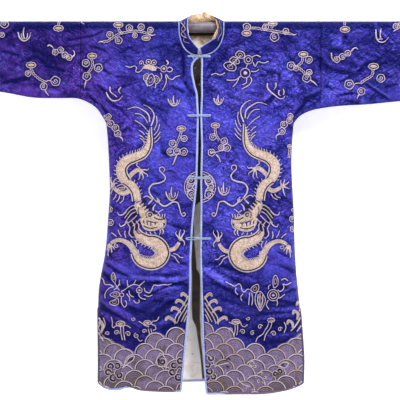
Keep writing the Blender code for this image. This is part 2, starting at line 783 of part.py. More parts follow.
# ---------------------------------------------------------------- the rod
def add_rod():
    build = bmesh.new()
    bmesh.ops.create_cone(
        build,
        cap_ends=True,
        segments=ROD_SIDES,
        radius1=ROD_RADIUS,
        radius2=ROD_RADIUS,
        depth=2 * ROD_HALF_LENGTH,
    )
    for vert in build.verts:
        vert.co = Vector((vert.co.z, vert.co.y, -vert.co.x))
    mesh = bpy.data.meshes.new("rod")
    build.to_mesh(mesh)
    build.free()
    rod = add_object("rod", mesh, "rod")
    rod.data.set_sharp_from_angle(angle=math.radians(40))


# ---------------------------------------------------------------- the whole robe
for old in list(bpy.data.objects):
    bpy.data.objects.remove(old)
ROBE = bpy.data.collections.new("embroidered_robe")
bpy.context.scene.collection.children.link(ROBE)

add_rod()
right_front = add_panel("right_front", front_places(-1), -1)
left_front = add_panel("left_front", front_places(1), -1)
back = add_panel("back", back_places(), 1)
add_back_lining(back_places())
for side_name, side_sign in (("right", -1), ("left", 1)):
    rings = add_sleeve(f"{side_name}_sleeve", side_sign)
    add_cuff_binding(f"binding_{side_name}_cuff", side_sign, rings)
add_front_binding("binding_right_front", right_front)
add_front_binding("binding_left_front", left_front)
add_back_binding(back)
seam_loop = neck_loop(right_front, back, left_front)
add_neck_piping(seam_loop)
add_collar(seam_loop)
add_frogs(("right_front", "left_front", "binding_right_front", "binding_left_front", "neck_piping"))
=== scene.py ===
# %% [markdown]
# # An embroidered dragon robe on its rod
# The robe is blue-violet satin with dragons, clouds and waves sewn on in cream cord, and it hangs flat from
# a round rod that runs through both sleeves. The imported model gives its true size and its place. This lesson
# dresses it: finer cloth with its creases, the sewn cord, bound edges, knotted fastenings, then light and a
# camera. Sizes below are in millimetres, because a tailor thinks in them, and the meshes are written in
# metres.

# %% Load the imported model
import math

import bmesh
import bpy
import numpy as np
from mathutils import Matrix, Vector
from mathutils.bvhtree import BVHTree
from mathutils.kdtree import KDTree


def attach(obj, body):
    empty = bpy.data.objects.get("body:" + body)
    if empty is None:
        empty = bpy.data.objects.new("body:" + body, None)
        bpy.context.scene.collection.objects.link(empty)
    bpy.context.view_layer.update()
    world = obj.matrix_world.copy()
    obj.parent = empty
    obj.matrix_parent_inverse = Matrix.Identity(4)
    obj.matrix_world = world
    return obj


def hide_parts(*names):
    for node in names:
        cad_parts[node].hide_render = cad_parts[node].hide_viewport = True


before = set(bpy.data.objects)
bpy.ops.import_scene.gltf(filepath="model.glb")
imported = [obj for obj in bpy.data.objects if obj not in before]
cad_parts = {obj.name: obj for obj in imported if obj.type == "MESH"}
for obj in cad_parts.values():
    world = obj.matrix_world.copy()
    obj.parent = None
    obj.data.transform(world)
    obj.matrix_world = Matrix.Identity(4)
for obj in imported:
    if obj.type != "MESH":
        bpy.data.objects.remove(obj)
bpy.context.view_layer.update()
bpy.ops.object.select_all(action="DESELECT")
MM = 0.001

# %% [markdown]
# The camera looks level at the middle of the robe, from far enough away that the cuffs and hem aren't
# stretched. A long lens does that. The lens follows from how wide a piece of the robe the picture takes in.

# %% Camera
SENSOR = 36.0
PICTURE_WIDTH = 1.28  # metres of robe across the picture
CAMERA_DISTANCE = 4.5
CLOTH_PLANE_Y = -0.03
CENTRE_Z = -0.5558
camera_data = bpy.data.cameras.new("camera")
camera_data.sensor_width = SENSOR
camera_data.lens = SENSOR * CAMERA_DISTANCE / PICTURE_WIDTH
camera = bpy.data.objects.new("camera", camera_data)
bpy.context.scene.collection.objects.link(camera)
camera.location = (0, CLOTH_PLANE_Y - CAMERA_DISTANCE, CENTRE_Z)
camera.rotation_euler = (math.radians(90), 0, 0)
bpy.context.scene.camera = camera
bpy.context.scene.view_settings.view_transform = "Standard"
print("lens", round(camera_data.lens, 1), "mm")

# %% [markdown]
# Cloth is read by how light falls off over its folds. One large soft lamp high on the right gives the folds
# a lit and a shaded side, a weaker one on the left opens the shadows, and a long narrow one overhead draws
# streaks in the satin. All are area lamps, as in a studio.

# %% Lamps
TARGET = Vector((0, 0, -0.5))
LAMPS = (
    # name, place, width, height, power, colour
    ("key", (1.5, -2.3, 1.7), 1.1, 1.1, 88, (1.0, 0.98, 0.96)),
    ("fill", (-2.4, -2.6, -0.2), 2.0, 2.4, 14, (0.96, 0.97, 1.0)),
    ("streak", (0.2, -1.3, 2.0), 2.6, 0.35, 42, (1.0, 1.0, 1.0)),
    ("rim", (1.8, 2.4, 0.8), 1.4, 1.4, 30, (1.0, 1.0, 1.0)),
)


def add_lamp(name, place, width, height, power, colour):
    """A rectangular area lamp that points at the middle of the robe."""
    lamp = bpy.data.lights.new(name, "AREA")
    lamp.shape = "RECTANGLE"
    lamp.size = width
    lamp.size_y = height
    lamp.energy = power
    lamp.color = colour
    placed = bpy.data.objects.new(name, lamp)
    placed.location = place
    placed.rotation_euler = (TARGET - Vector(place)).to_track_quat("-Z", "Y").to_euler()
    bpy.context.scene.collection.objects.link(placed)
    return placed


for row in LAMPS:
    add_lamp(*row)
SKY_COLOUR = (0.94, 0.95, 1.0, 1)
SKY_STRENGTH = 0.30
world = bpy.data.worlds.new("studio")
world.use_nodes = True
sky = world.node_tree.nodes["Background"]
sky.inputs["Color"].default_value = SKY_COLOUR
sky.inputs["Strength"].default_value = SKY_STRENGTH
bpy.context.scene.world = world
print("lamps:", [row[0] for row in LAMPS])

# %% [markdown]
# The robe hangs in front of a white wall and above a pale floor. They belong to the stage and not to the
# robe. The wall is painted on its front alone: from behind it is clear, so the robe's back can be looked at
# too.

# %% Wall and floor
WALL_Y = 0.11
FLOOR_Y = -1.0
FLOOR_Z = -1.36
STAGE_SIZE = 9
WALL_GLOW = 0.55  # how much the wall glows by itself, so that it stays white between the lamps


def add_plane(name, size, place, turn):
    """A square plane whose size, place and turn are in its mesh."""
    bpy.ops.mesh.primitive_plane_add(size=size, location=place, rotation=turn)
    plane = bpy.context.object
    plane.name = name
    bpy.ops.object.transform_apply(location=True, rotation=True, scale=True)
    bpy.ops.object.select_all(action="DESELECT")
    return plane


def plain_paint(name, colour, roughness):
    """A paint of one colour."""
    paint = bpy.data.materials.new(name)
    paint.use_nodes = True
    shader = paint.node_tree.nodes["Principled BSDF"]
    shader.inputs["Base Color"].default_value = (*colour, 1)
    shader.inputs["Roughness"].default_value = roughness
    return paint


floor = add_plane("floor", STAGE_SIZE, (0, FLOOR_Y, FLOOR_Z), (0, 0, 0))
floor.data.materials.append(plain_paint("floor_paint", (0.80, 0.80, 0.80), 0.6))
wall = add_plane("wall", STAGE_SIZE, (0, WALL_Y, FLOOR_Z + STAGE_SIZE / 2), (math.radians(90), 0, 0))
wall_paint = plain_paint("wall_paint", (0.93, 0.93, 0.93), 0.9)
tree = wall_paint.node_tree
glow = tree.nodes["Principled BSDF"]
glow.inputs["Emission Color"].default_value = (1, 1, 1, 1)
glow.inputs["Emission Strength"].default_value = WALL_GLOW
sides = tree.nodes.new("ShaderNodeNewGeometry")
clear = tree.nodes.new("ShaderNodeBsdfTransparent")
one_sided = tree.nodes.new("ShaderNodeMixShader")
tree.links.new(sides.outputs["Backfacing"], one_sided.inputs[0])
tree.links.new(glow.outputs[0], one_sided.inputs[1])
tree.links.new(clear.outputs[0], one_sided.inputs[2])
tree.links.new(one_sided.outputs[0], tree.nodes["Material Output"].inputs["Surface"])
wall.data.materials.append(wall_paint)
print("stage:", floor.name, wall.name)

# %% [markdown]
# The robe's cut is flat: each body panel folds over the rod and hangs straight down. So a point of the cloth
# needs two numbers only, how far it is across (x) and how far it is down the cloth. Here the second is
# called drop: 0 at the level of the rod's middle, negative below it, and up to a quarter turn of cloth above
# it, over the rod. The sizes and tables repeat those of the solids, so the fine cloth lies where the solids
# are.

# %% Sizes of the robe
ROD_RADIUS = 17.5
SHOULDER_RADIUS = 20.1
QUARTER_TURN = SHOULDER_RADIUS * math.pi / 2
KNEE = QUARTER_TURN + 3
HEM_DEPTH = 38
BODY_LENGTH = 1170
SIDE_ROUNDING = 50
SLEEVE_ROUNDING = 150
VENT_TOP = -885
VENT_SPREAD = 3
VENT_EASE = 60
CUFF_X = 720
SLEEVE_SEAMS = {-1: -384, 1: 387}
NECK_CENTRE_X = 4
NECK_HALF_WIDTH = 71
NECK_ROUNDNESS = 2.2
FRONT_NECK_DROP = QUARTER_TURN + 90
BACK_NECK_DROP = 16
HALF_GAP = 0.15
EDGE_SETBACK = 2.2  # from a binding's middle to the cloth's edge
UNDERARM_X = 302
UNDERARM_Z = -309
SIDE_START = 225  # how far out the side line begins to matter

# height, x on the wearer's right, x on the wearer's left
SIDE_SEAM = (
    (-309, -302, 302), (-367, -297, 297), (-447, -293, 295), (-530, -291, 299), (-610, -296, 303),
    (-693, -302, 305), (-740, -308, 307), (-796, -319, 311), (-844, -326, 316), (-885, -328, 320),
    (-972, -327, 327), (-1068, -326, 333), (-1150, -327, 331),
)
# distance from the middle, height on the wearer's right, height on the left
SLEEVE_UNDERSIDE = (
    (302, -309, -309), (313, -290, -294), (330, -264, -280), (358, -243, -268), (395, -229, -260),
    (450, -228, -253), (538, -226, -248), (640, -208, -238), (720, -203, -232),
)
# height, x of the right front's edge, x of the left front's edge
FRONT_EDGE = (
    (-87, -5, 4), (-98, -8, 4), (-120, -25, 5), (-150, -24, 4), (-190, -16, 4), (-212, -9, 5),
    (-285, -5, 2), (-380, -7, 5), (-500, -10, 2), (-560, -16, 3), (-640, -24, 2), (-735, -29, 1),
    (-844, -30, 4), (-940, -38, 7), (-1040, -48, 10), (-1145, -58, 17), (-1180, -61, 20),
)
# share of the way from the middle edge to the side, height
RIGHT_HEM = (
    (0.0, -1167), (0.3, -1165), (0.5, -1160), (0.62, -1151), (0.75, -1160), (0.9, -1157), (1.0, -1142),
)
LEFT_HEM = ((0.0, -1174), (0.3, -1173), (0.6, -1172), (0.78, -1164), (0.93, -1152), (1.0, -1144))
BACK_HEM = ((0.0, -1142), (0.5, -1144), (1.0, -1140))
# the large folds that the solids have: x and z of each end, half width, height
FRONT_FOLDS = (
    (-62, -75, -57, -165, 20, -5.0), (-57, -165, -20, -225, 20, -5.0), (-190, -228, -118, -268, 24, -5.0),
    (-320, -880, -190, -960, 28, 6.0), (-310, -935, -180, -1020, 28, -5.0), (-36, -796, -195, -858, 26, 5.0),
    (-40, -848, -180, -912, 26, -5.0), (16, -806, 165, -892, 26, 6.0), (20, -750, 175, -836, 28, -4.5),
    (166, -934, 290, -924, 26, 5.0), (166, -986, 290, -976, 26, -5.0), (211, -114, 262, -185, 24, 5.0),
    (262, -185, 224, -249, 24, 5.0), (300, -296, 332, -250, 24, -5.0), (332, -250, 380, -213, 24, -5.0),
    (218, -540, 290, -600, 30, -4.5), (-128, -556, -40, -572, 28, -4.0), (-544, -69, -448, -146, 26, -4.5),
    (-640, -178, -506, -162, 24, -4.0), (392, -112, 458, -152, 26, -4.5), (458, -152, 550, -133, 26, -4.5),
    (550, -133, 660, -96, 26, -4.0),
)
BACK_FOLDS = (
    (-40, -90, -90, -240, 28, -4.5), (60, -80, 120, -210, 28, -4.5), (-200, -250, -110, -300, 28, -4.5),
    (190, -240, 110, -310, 28, -4.5), (-300, -860, -140, -960, 32, 5.5), (-290, -930, -150, -1040, 32, -4.5),
    (290, -830, 120, -930, 32, 5.5), (280, -900, 120, -1010, 32, -4.5), (-60, -640, 80, -700, 34, -4.5),
    (0, -980, 40, -1140, 36, 5.0), (-560, -80, -450, -150, 28, -4.0), (400, -110, 520, -160, 28, -4.0),
    (540, -120, 660, -90, 28, -4.0),
)
print("large folds:", len(FRONT_FOLDS), "in front,", len(BACK_FOLDS), "behind")

# %% [markdown]
# The tables are read as smooth or straight lines. The work is done on whole arrays at once with numpy,
# because the fine cloth and its sewn cord need many thousands of points, and a plain loop would be slow.

# %% Reading the tables


def smooth_read(rows, at):
    """Values on a smooth curve through rows of (position, value)."""
    rows = np.array(sorted(rows), float)
    places, values = rows[:, 0], rows[:, 1]
    at = np.clip(np.asarray(at, float), places[0], places[-1])
    index = np.clip(np.searchsorted(places, at, side="left") - 1, 0, len(rows) - 2)
    before = np.maximum(np.arange(len(rows)) - 1, 0)
    after = np.minimum(np.arange(len(rows)) + 1, len(rows) - 1)
    slopes = (values[after] - values[before]) / (places[after] - places[before])
    span = places[index + 1] - places[index]
    t = (at - places[index]) / span
    near = (2 * t**3 - 3 * t**2 + 1) * values[index] + (t**3 - 2 * t**2 + t) * span * slopes[index]
    return near + (3 * t**2 - 2 * t**3) * values[index + 1] + (t**3 - t**2) * span * slopes[index + 1]


def column(table, which):
    """One column of a table beside its first one."""
    return [(row[0], row[which]) for row in table]


def ease(t):
    """From 0 to 1, slowly at both ends."""
    t = np.clip(t, 0.0, 1.0)
    return t * t * (3 - 2 * t)


def side_x(sign, z):
    """Where the robe's side is at each height. sign is -1 on the wearer's right and 1 on the left."""
    return smooth_read(column(SIDE_SEAM, 1 if sign < 0 else 2), z)


def underside_z(sign, x):
    """How high the sleeve's lower edge is at each x."""
    return smooth_read(column(SLEEVE_UNDERSIDE, 1 if sign < 0 else 2), np.abs(x))


def front_edge_x(sign, z):
    """Where a front's cloth ends, under its binding."""
    rows = np.array(sorted(column(FRONT_EDGE, 1 if sign < 0 else 2)), float)
    return np.interp(z, rows[:, 0], rows[:, 1]) + sign * EDGE_SETBACK


def outline(sign):
    """The robe's side line: up from the hem, round the underarm and out to the cuff."""
    heights = np.arange(-1200, -309, 10.0)
    reaches = np.arange(302, 760, 6.0)
    below = np.stack([side_x(sign, heights), heights], 1)
    return np.concatenate([below, np.stack([sign * reaches, underside_z(sign, reaches)], 1)])


OUTLINES = {sign: outline(sign) for sign in (-1, 1)}


def distance_to_line(x, z, line):
    """Each point's shortest distance to a line, the side of the line it is on, and how far along it lies."""
    best = np.full(x.shape, 1e9)
    hand = np.ones(x.shape)
    along = np.zeros(x.shape)
    for number, (start, end) in enumerate(zip(line[:-1], line[1:])):
        dx, dz = end[0] - start[0], end[1] - start[1]
        t = np.clip(((x - start[0]) * dx + (z - start[1]) * dz) / (dx * dx + dz * dz), 0, 1)
        away = np.hypot(x - start[0] - t * dx, z - start[1] - t * dz)
        closer = away < best
        best = np.where(closer, away, best)
        cross = dx * (z - start[1]) - dz * (x - start[0])
        hand = np.where(closer, np.where(cross >= 0, 1.0, -1.0), hand)
        along = np.where(closer, (number + t) / (len(line) - 1), along)
    return best, hand, along


def edge_turn(x, z):
    """1 on the flat of the cloth, falling to 0 where front and back meet."""
    turned = np.ones(x.shape)
    for sign in (-1, 1):
        near = x * sign > SIDE_START
        if not near.any():
            continue
        nx, nz = x[near], z[near]
        away, hand, _ = distance_to_line(nx, nz, OUTLINES[sign])
        away = np.maximum(away * hand * sign, 0.0) + VENT_SPREAD * ease((VENT_TOP - nz) / VENT_EASE)
        rounding = SIDE_ROUNDING + (SLEEVE_ROUNDING - SIDE_ROUNDING) * ease((np.abs(nx) - 260) / 140)
        share = np.clip(away / rounding, 0, 1)
        turned[near] = np.sqrt(1 - (1 - share) ** 2)
    return turned


print("underarm:", side_x(1, np.array([UNDERARM_Z])).tolist(), "front edge:", float(front_edge_x(-1, -500)))

# %% [markdown]
# What is sewn or creased is drawn on squared paper, 3.2 mm to a square. Columns count from the left and rows
# from the top. Column 200 is the robe's middle, and the rod's level is a little below row 26. Each drawing is
# turned into whole millimetres on the cut, where the rows above the rod run round the fold.

# %% The squared paper
SQUARE = 3.2
MIDDLE_COLUMN = 200
ROD_ROW = 26.3


def from_squares(numbers, values=2):
    """Rows of column, row and any further values become rows of x, drop and the same further values."""
    rows = np.array(numbers, float).reshape(-1, values)
    level = (ROD_ROW - rows[:, 1]) * SQUARE
    over_rod = QUARTER_TURN - SHOULDER_RADIUS * np.arccos(np.clip(level / SHOULDER_RADIUS, 0, 1))
    rows[:, 0] = np.round((rows[:, 0] - MIDDLE_COLUMN) * SQUARE)
    rows[:, 1] = np.round(np.where(level > 0, over_rod, level))
    return rows


def size_from_squares(squares):
    """A length in squares as millimetres, to a tenth."""
    return round(squares * SQUARE, 1)


print("the middle of the paper is at", from_squares((MIDDLE_COLUMN, 200)).tolist())

# %% [markdown]
# Satin shows every crease, since its long floats shine. The robe has three sizes of them. The largest are in
# the solids. The middle ones are listed below, one row each: a soft trough with a lip on one side, that fades
# out at both ends. They are uneven in length, depth and spacing, as hanging cloth is. The smallest are the
# fine crumple of old silk, which is a sum of soft swells and of ridged noise at four scales.

# %% Creases listed one by one
# column and row of one end, then of the other. In mm: sideways bow, half width, height (below 0: a trough)
CREASE_DRAWING = (
    (0, 39, 28, 24, 4, 6, -3), (0, 51, 20, 56, 3, 5, -2.2), (30, 48, 52, 56, -4, 5, -2.4),
    (20, 62, 38, 57, 4, 5, -2.4), (38, 57, 52, 69, -3, 5.5, -2.8), (50, 68, 66, 71, 2, 5, -2),
    (0, 83, 30, 78, 3, 6, -2.4), (34, 88, 62, 92, -3, 6, 2.2), (62, 33, 84, 27, 3, 4, -1.8),
    (64, 40, 92, 34, -3, 4, -1.7), (60, 48, 86, 44, 3, 4, -1.6), (66, 56, 84, 50, -2, 4, -1.5),
    (78, 62, 90, 78, 3, 5, -2), (84, 38, 104, 30, -2, 4, -1.6), (88, 46, 108, 52, 3, 4, -1.8),
    (92, 60, 112, 74, -4, 5, -2.2), (74, 84, 92, 92, 3, 5, -2), (8, 66, 26, 72, 2, 6, 1.8),
    (96, 84, 112, 100, 4, 5, -2.4), (86, 92, 100, 104, -3, 5, -2.2), (100, 66, 112, 58, 2, 4, -1.5),
    (100, 104, 112, 124, 4, 5.5, -2.6), (104, 98, 126, 112, -3, 5, -2), (110, 92, 132, 84, 3, 5, -1.8),
    (114, 76, 132, 80, 2, 4, -1.5), (118, 54, 134, 46, 3, 4.5, -1.8), (126, 46, 140, 52, -2, 4, -1.5),
    (138, 97, 163, 110, -4, 4.5, -3.2), (140, 101, 160, 113, -4, 4, -1.9), (148, 50, 172, 44, 3, 5, -1.8),
    (166, 52, 180, 42, 2, 4.5, -1.9), (171, 84, 185, 92, -3, 5, -1.9), (180, 48, 183, 78, 5, 5, -2.6),
    (184, 80, 196, 96, -4, 5, -2.8), (108, 128, 124, 122, 2, 4, -1.5), (112, 134, 130, 128, -3, 4, -1.6),
    (121, 111, 129, 119, 2, 4, -1.7), (120, 134, 130, 126, 2, 4, -1.7), (165, 108, 176, 100, 3, 4, -1.3),
    (106, 147, 120, 144, 2, 4, -1.3), (160, 151, 170, 158, 3, 7, -2.2), (165, 170, 178, 174, 2, 5, -1.6),
    (163, 198, 178, 200, 2, 4, -2.4), (150, 190, 160, 196, 2, 5, -2), (104, 212, 116, 206, 3, 5, -1.5),
    (108, 222, 122, 230, 3, 4, -1.4), (166, 222, 190, 230, -3, 6, -1.6), (172, 236, 192, 244, -3, 5, -1.4),
    (104, 262, 118, 270, -3, 6, -2.2), (112, 270, 134, 280, 4, 6, -2.4), (128, 276, 192, 279, -5, 6, 3),
    (126, 283, 190, 285, 4, 6, -3.2), (100, 270, 146, 301, -5, 7, -3), (103, 282, 140, 306, 5, 6, 2.4),
    (102, 300, 146, 314, 4, 6, -3), (104, 313, 142, 326, -4, 6, 2.4), (104, 322, 124, 338, -3, 6, -3),
    (142, 297.6, 191, 279, 5, 3.8, -3.8), (146, 292, 190, 274, 6, 7, 2.6), (140, 322, 186, 296, 5, 6, -2.8),
    (150, 327, 186, 308, -4, 5, 2.2), (146, 292, 188, 288, 4, 6, 2.2), (152, 300, 186, 302, -3, 6, -2.4),
    (112, 336, 142, 334, 3, 5, -2.2), (106, 250, 116, 262, 2, 5, -1.7), (168, 260, 190, 266, 3, 6, -1.8),
    (225, 49, 235, 45.5, 2, 5, -2.6), (235, 45.5, 246, 40, 2, 5, -2.8), (220, 61, 226, 49, -3, 5, -2),
    (208, 68, 216, 58, 3, 5, -2), (204, 80, 214, 70, -3, 5, -1.9), (240, 56, 254, 50, 3, 4, -1.8),
    (252, 52, 271, 47, -3, 4, -1.9), (256, 57, 269, 54, 2, 3.5, -1.5), (258, 62, 272, 60, 2, 3.5, -1.6),
    (261, 68, 279, 73, -5, 5, -2.2), (279, 73, 281, 83, -2, 5, -2), (256, 77, 270, 75, 2, 4, -1.7),
    (245, 93, 256, 94, 2, 4.5, -2.4), (228, 95, 244, 101, -3, 4, -2), (263, 104, 275, 94, -4, 6, -4.2),
    (274, 45, 300, 45, -2, 4, 1.8), (274, 36, 300, 41, 3, 4, -1.5), (284, 54, 300, 66, 4, 5, -1.7),
    (293, 116, 307, 99, -3, 5, -3), (296, 80, 306, 92, 3, 5, -1.9), (286, 104, 296, 112, 2, 4.5, -1.7),
    (300, 100, 320, 92, -5, 6, -3.6), (206, 88, 222, 96, 3, 5, -1.7), (284, 92, 294, 100, 2, 4, -1.5),
    (288, 124, 296, 134, 2, 4.5, -2), (282, 142, 292, 150, -2, 4, -1.5), (321, 63, 334, 70.5, -2, 7, -3.4),
    (334, 70.5, 357, 75.3, 3, 7, -3.6), (357, 75.3, 369, 63, 4, 7, -3.6), (369, 63, 378, 60, -2, 6, -2.4),
    (339, 82, 357, 75, 2, 5, -2.6), (373, 23, 399, 49, 0, 3.5, 3), (371, 26, 394, 48, 0, 4, -2.6),
    (364, 83, 391, 100, 0, 4, -2.8), (366, 81, 392, 98, 0, 3.5, 2), (335, 97, 357, 93, 4, 5, -2.4),
    (329, 49, 343, 50, -3, 8, -3), (343, 46, 347, 34, 2, 6, -2.2), (350, 66, 360, 65, -2, 6, -2),
    (365, 52, 384, 58, -4, 5, -2), (376, 66, 396, 60, 3, 5, -1.6), (378, 72, 396, 78, -3, 5, -1.7),
    (324, 30, 340, 34, 3, 5, -1.7), (324, 84, 334, 90, 2, 5, -1.9), (344, 100, 362, 104, 3, 5, -1.9),
    (384, 88, 400, 84, 3, 6, -2), (308, 44, 318, 52, 2, 5, -1.8), (306, 62, 320, 60, -2, 5, -2),
    (310, 76, 320, 84, 2, 4.5, -1.7), (356, 42, 372, 46, 3, 5, -1.5), (386, 50, 400, 58, 2, 5, -1.6),
    (99.5, 302.5, 142, 329, -3, 3.6, -4.2), (99.5, 297, 142, 323, -4, 8, 3.2),
    (99, 311, 124, 330, 0, 6, 2.6), (150, 320, 174, 301, 3, 6, -2.8), (104, 326, 120, 340, 2, 5, -2.6),
    (160, 330, 190, 318, 2, 7, -2.6), (280, 196, 294, 206, 3, 5, -1.9), (284, 214, 294, 222, -3, 5, -1.7),
    (228, 172, 238, 180, 3, 6, -1.5), (206, 230, 224, 238, 3, 6, -1.5), (212, 266, 262, 283, -6, 6, 2.6),
    (201, 270.6, 250, 303, -6, 3.8, -4.2), (205, 266.6, 254, 297, -6, 8, 3.2),
    (284, 293.5, 299, 288.6, 2, 3.6, -3.8), (256, 321.6, 301, 318, 3, 3.8, -3.8),
    (258, 317.6, 300, 313.6, 3, 6, 2.6), (206, 262, 240, 270, 3, 6, -1.9), (205, 281, 250, 300, 5, 6, -2.4),
    (262, 286, 296, 290, 3, 6, -2.2), (270, 300, 299, 304, 3, 5, -3), (268, 309, 299, 308, -3, 5, 2.8),
    (256, 316, 299, 313, 3, 6, -2.8), (252, 328, 296, 322, 4, 6, -2.4), (258, 336, 296, 333, -3, 5, 2),
    (216, 312, 250, 322, -4, 6, -2.6), (214, 300, 244, 312, 4, 6, 2), (280, 266, 296, 274, 3, 6, -2),
    (276, 250, 292, 258, -3, 5, -1.7), (262, 344, 292, 340, 3, 5, -1.9), (230, 330, 252, 338, 3, 5, -1.9),
    (206, 196, 216, 188, 2, 5, -1.4), (104, 352, 150, 362, 6, 7, -1.8), (120, 384, 170, 372, -6, 7, -1.9),
    (156, 344, 184, 360, 5, 6, -1.6), (208, 352, 250, 366, -6, 7, -1.8), (230, 388, 286, 372, 6, 7, -1.8),
    (262, 352, 298, 362, 4, 6, -1.6), (134, 376, 160, 390, 3, 6, -1.5),
)
FRONT_CREASES = [(*from_squares(row[:4]).ravel(), *row[4:]) for row in CREASE_DRAWING]
# the same for the back, with both ends as x and z in millimetres
BACK_CREASES = (
    (-620, -60, -540, -100, 5, 6, -2.6), (-700, -120, -610, -90, -4, 6, -2.4),
    (-560, -160, -470, -130, 4, 6, -2.6), (-480, -60, -400, -110, -5, 5, -2.4),
    (-430, -180, -360, -150, 4, 6, -2.4), (-680, -170, -600, -190, 3, 6, -2),
    (-380, -60, -320, -120, 4, 5, -2.2), (-350, -200, -300, -260, -4, 6, -3),
    (-330, -110, -270, -170, 4, 5, -2.2), (-310, -270, -270, -330, 3, 6, -2.6),
    (-260, -90, -200, -60, 3, 5, -2), (-240, -180, -170, -140, 4, 5, -2),
    (-200, -330, -120, -300, 4, 6, -1.8), (-270, -380, -200, -350, 3, 5, -1.8),
    (-120, -120, -80, -190, 4, 5, -2), (-60, -60, -20, -130, 3, 5, -2), (20, -80, 60, -140, -3, 5, -2),
    (90, -60, 140, -120, 4, 5, -2.2), (150, -200, 220, -150, 4, 6, -2.2), (210, -90, 270, -140, -4, 5, -2),
    (260, -200, 310, -150, 4, 6, -2.4), (300, -280, 350, -210, -5, 7, -3.4),
    (270, -330, 300, -270, 3, 6, -2.4), (340, -90, 400, -60, 3, 5, -2), (380, -170, 450, -210, 4, 6, -2.6),
    (420, -90, 500, -70, -4, 5, -2.4), (480, -180, 560, -140, 5, 7, -3), (560, -90, 640, -120, -4, 6, -2.6),
    (600, -190, 680, -160, 4, 6, -2.4), (640, -70, 710, -100, 3, 5, -2.2),
    (-290, -470, -220, -500, 4, 6, -1.9), (-60, -330, 20, -350, 4, 6, -1.5),
    (80, -400, 150, -430, -4, 6, -1.6), (200, -420, 280, -460, 4, 6, -2),
    (-160, -560, -80, -590, 4, 7, -1.8), (220, -560, 290, -600, 4, 6, -2.2),
    (-300, -620, -240, -660, 4, 6, -2.2), (-40, -520, 30, -500, -3, 6, -1.5),
    (100, -640, 170, -610, 4, 6, -1.7), (-310, -760, -180, -800, -6, 7, -3),
    (-300, -800, -190, -850, 6, 6, 2.6), (-290, -880, -160, -900, 5, 7, -2.8),
    (-120, -760, -10, -800, -5, 7, -2.4), (20, -820, 140, -860, 6, 7, -2.4),
    (160, -740, 300, -790, -6, 7, -3), (180, -800, 310, -830, 5, 6, 2.6),
    (150, -900, 300, -880, 5, 7, -2.8), (-60, -900, 40, -930, 4, 7, -1),
    (-310, -960, -220, -980, 4, 6, -2.2), (200, -960, 310, -950, 4, 6, -2.4),
    (-140, -1000, -60, -1060, 5, 7, -1.9), (80, -1010, 160, -1070, -5, 7, -1.9),
    (-260, -1080, -180, -1110, 4, 7, -1.8), (200, -1060, 280, -1100, 4, 7, -1.8),
)
print("creases:", len(FRONT_CREASES), "in front,", len(BACK_CREASES), "behind")

# %% The crumple of the cloth
BOW_POINTS = 7
LIP_HEIGHT = 0.45  # the height of the lip beside a crease, as a share of the crease's depth
SWELL_HEIGHT = 1.8
SWELL_SIZE = 62
WANDER = 26  # how far the crumple is pushed about, so that it has no grain of its own
WANDER_SIZE = 70
PATCH_SIZE = 130  # how large the patches of stronger and weaker crumple are
# height, size, how much longer than wide, direction in degrees
RIDGES = ((1.4, 38, 1.7, -34), (1.3, 25, 1.6, 28), (0.9, 15, 1.7, -20), (0.5, 10, 1.6, 55))


def lattice(i, j, seed):
    """A fixed but irregular number from 0 to 1 for each whole-numbered place."""
    wild = np.sin(i * 127.1 + j * 311.7 + seed * 74.7) * 43758.5453
    return wild - np.floor(wild)


def soft_noise(x, z, size, seed):
    """Smooth noise from 0 to 1 whose hills are about size across."""
    x, z = x / size, z / size
    i, j = np.floor(x), np.floor(z)
    u, v = x - i, z - j
    u, v = u * u * u * (u * (u * 6 - 15) + 10), v * v * v * (v * (v * 6 - 15) + 10)
    low = lattice(i, j, seed) * (1 - u) + lattice(i + 1, j, seed) * u
    high = lattice(i, j + 1, seed) * (1 - u) + lattice(i + 1, j + 1, seed) * u
    return low * (1 - v) + high * v


def ridged(x, z, size, stretch, turn, seed):
    """Creases: thin ridges stretched along one direction, from 0 in the hollows to 1 on the ridge."""
    a = math.radians(turn)
    along = (x * math.cos(a) + z * math.sin(a)) / stretch
    across = z * math.cos(a) - x * math.sin(a)
    return 1 - np.abs(2 * soft_noise(along, across, size, seed) - 1)


def crumple(x, z, face):
    """The small creases, in millimetres."""
    seed = 3 if face < 0 else 29
    wander_x = x + WANDER * (soft_noise(x, z, WANDER_SIZE, seed) - 0.5)
    wander_z = z + WANDER * (soft_noise(x, z, WANDER_SIZE, seed + 1) - 0.5)
    where = soft_noise(x, z, PATCH_SIZE, seed + 2)
    sleeve = ease((np.abs(x) - 230) / 120)
    hem = ease((-z - 720) / 200)
    strength = 0.45 + 0.75 * where + 0.45 * sleeve + 0.25 * hem
    total = SWELL_HEIGHT * (soft_noise(wander_x, wander_z, SWELL_SIZE, seed + 3) - 0.5) * 2
    for number, (height, size, stretch, turn) in enumerate(RIDGES, start=4):
        total += height * (ridged(wander_x, wander_z, size, stretch, turn, seed + number) - 0.5)
    return total * strength


def bowed(row):
    """A crease's line: points on a shallow bow."""
    x0, z0, x1, z1, bow = row[:5]
    t = np.linspace(0, 1, BOW_POINTS)
    length = math.hypot(x1 - x0, z1 - z0)
    side = 4 * bow * t * (1 - t) / length
    return np.stack([x0 + (x1 - x0) * t - (z1 - z0) * side, z0 + (z1 - z0) * t + (x1 - x0) * side], 1)


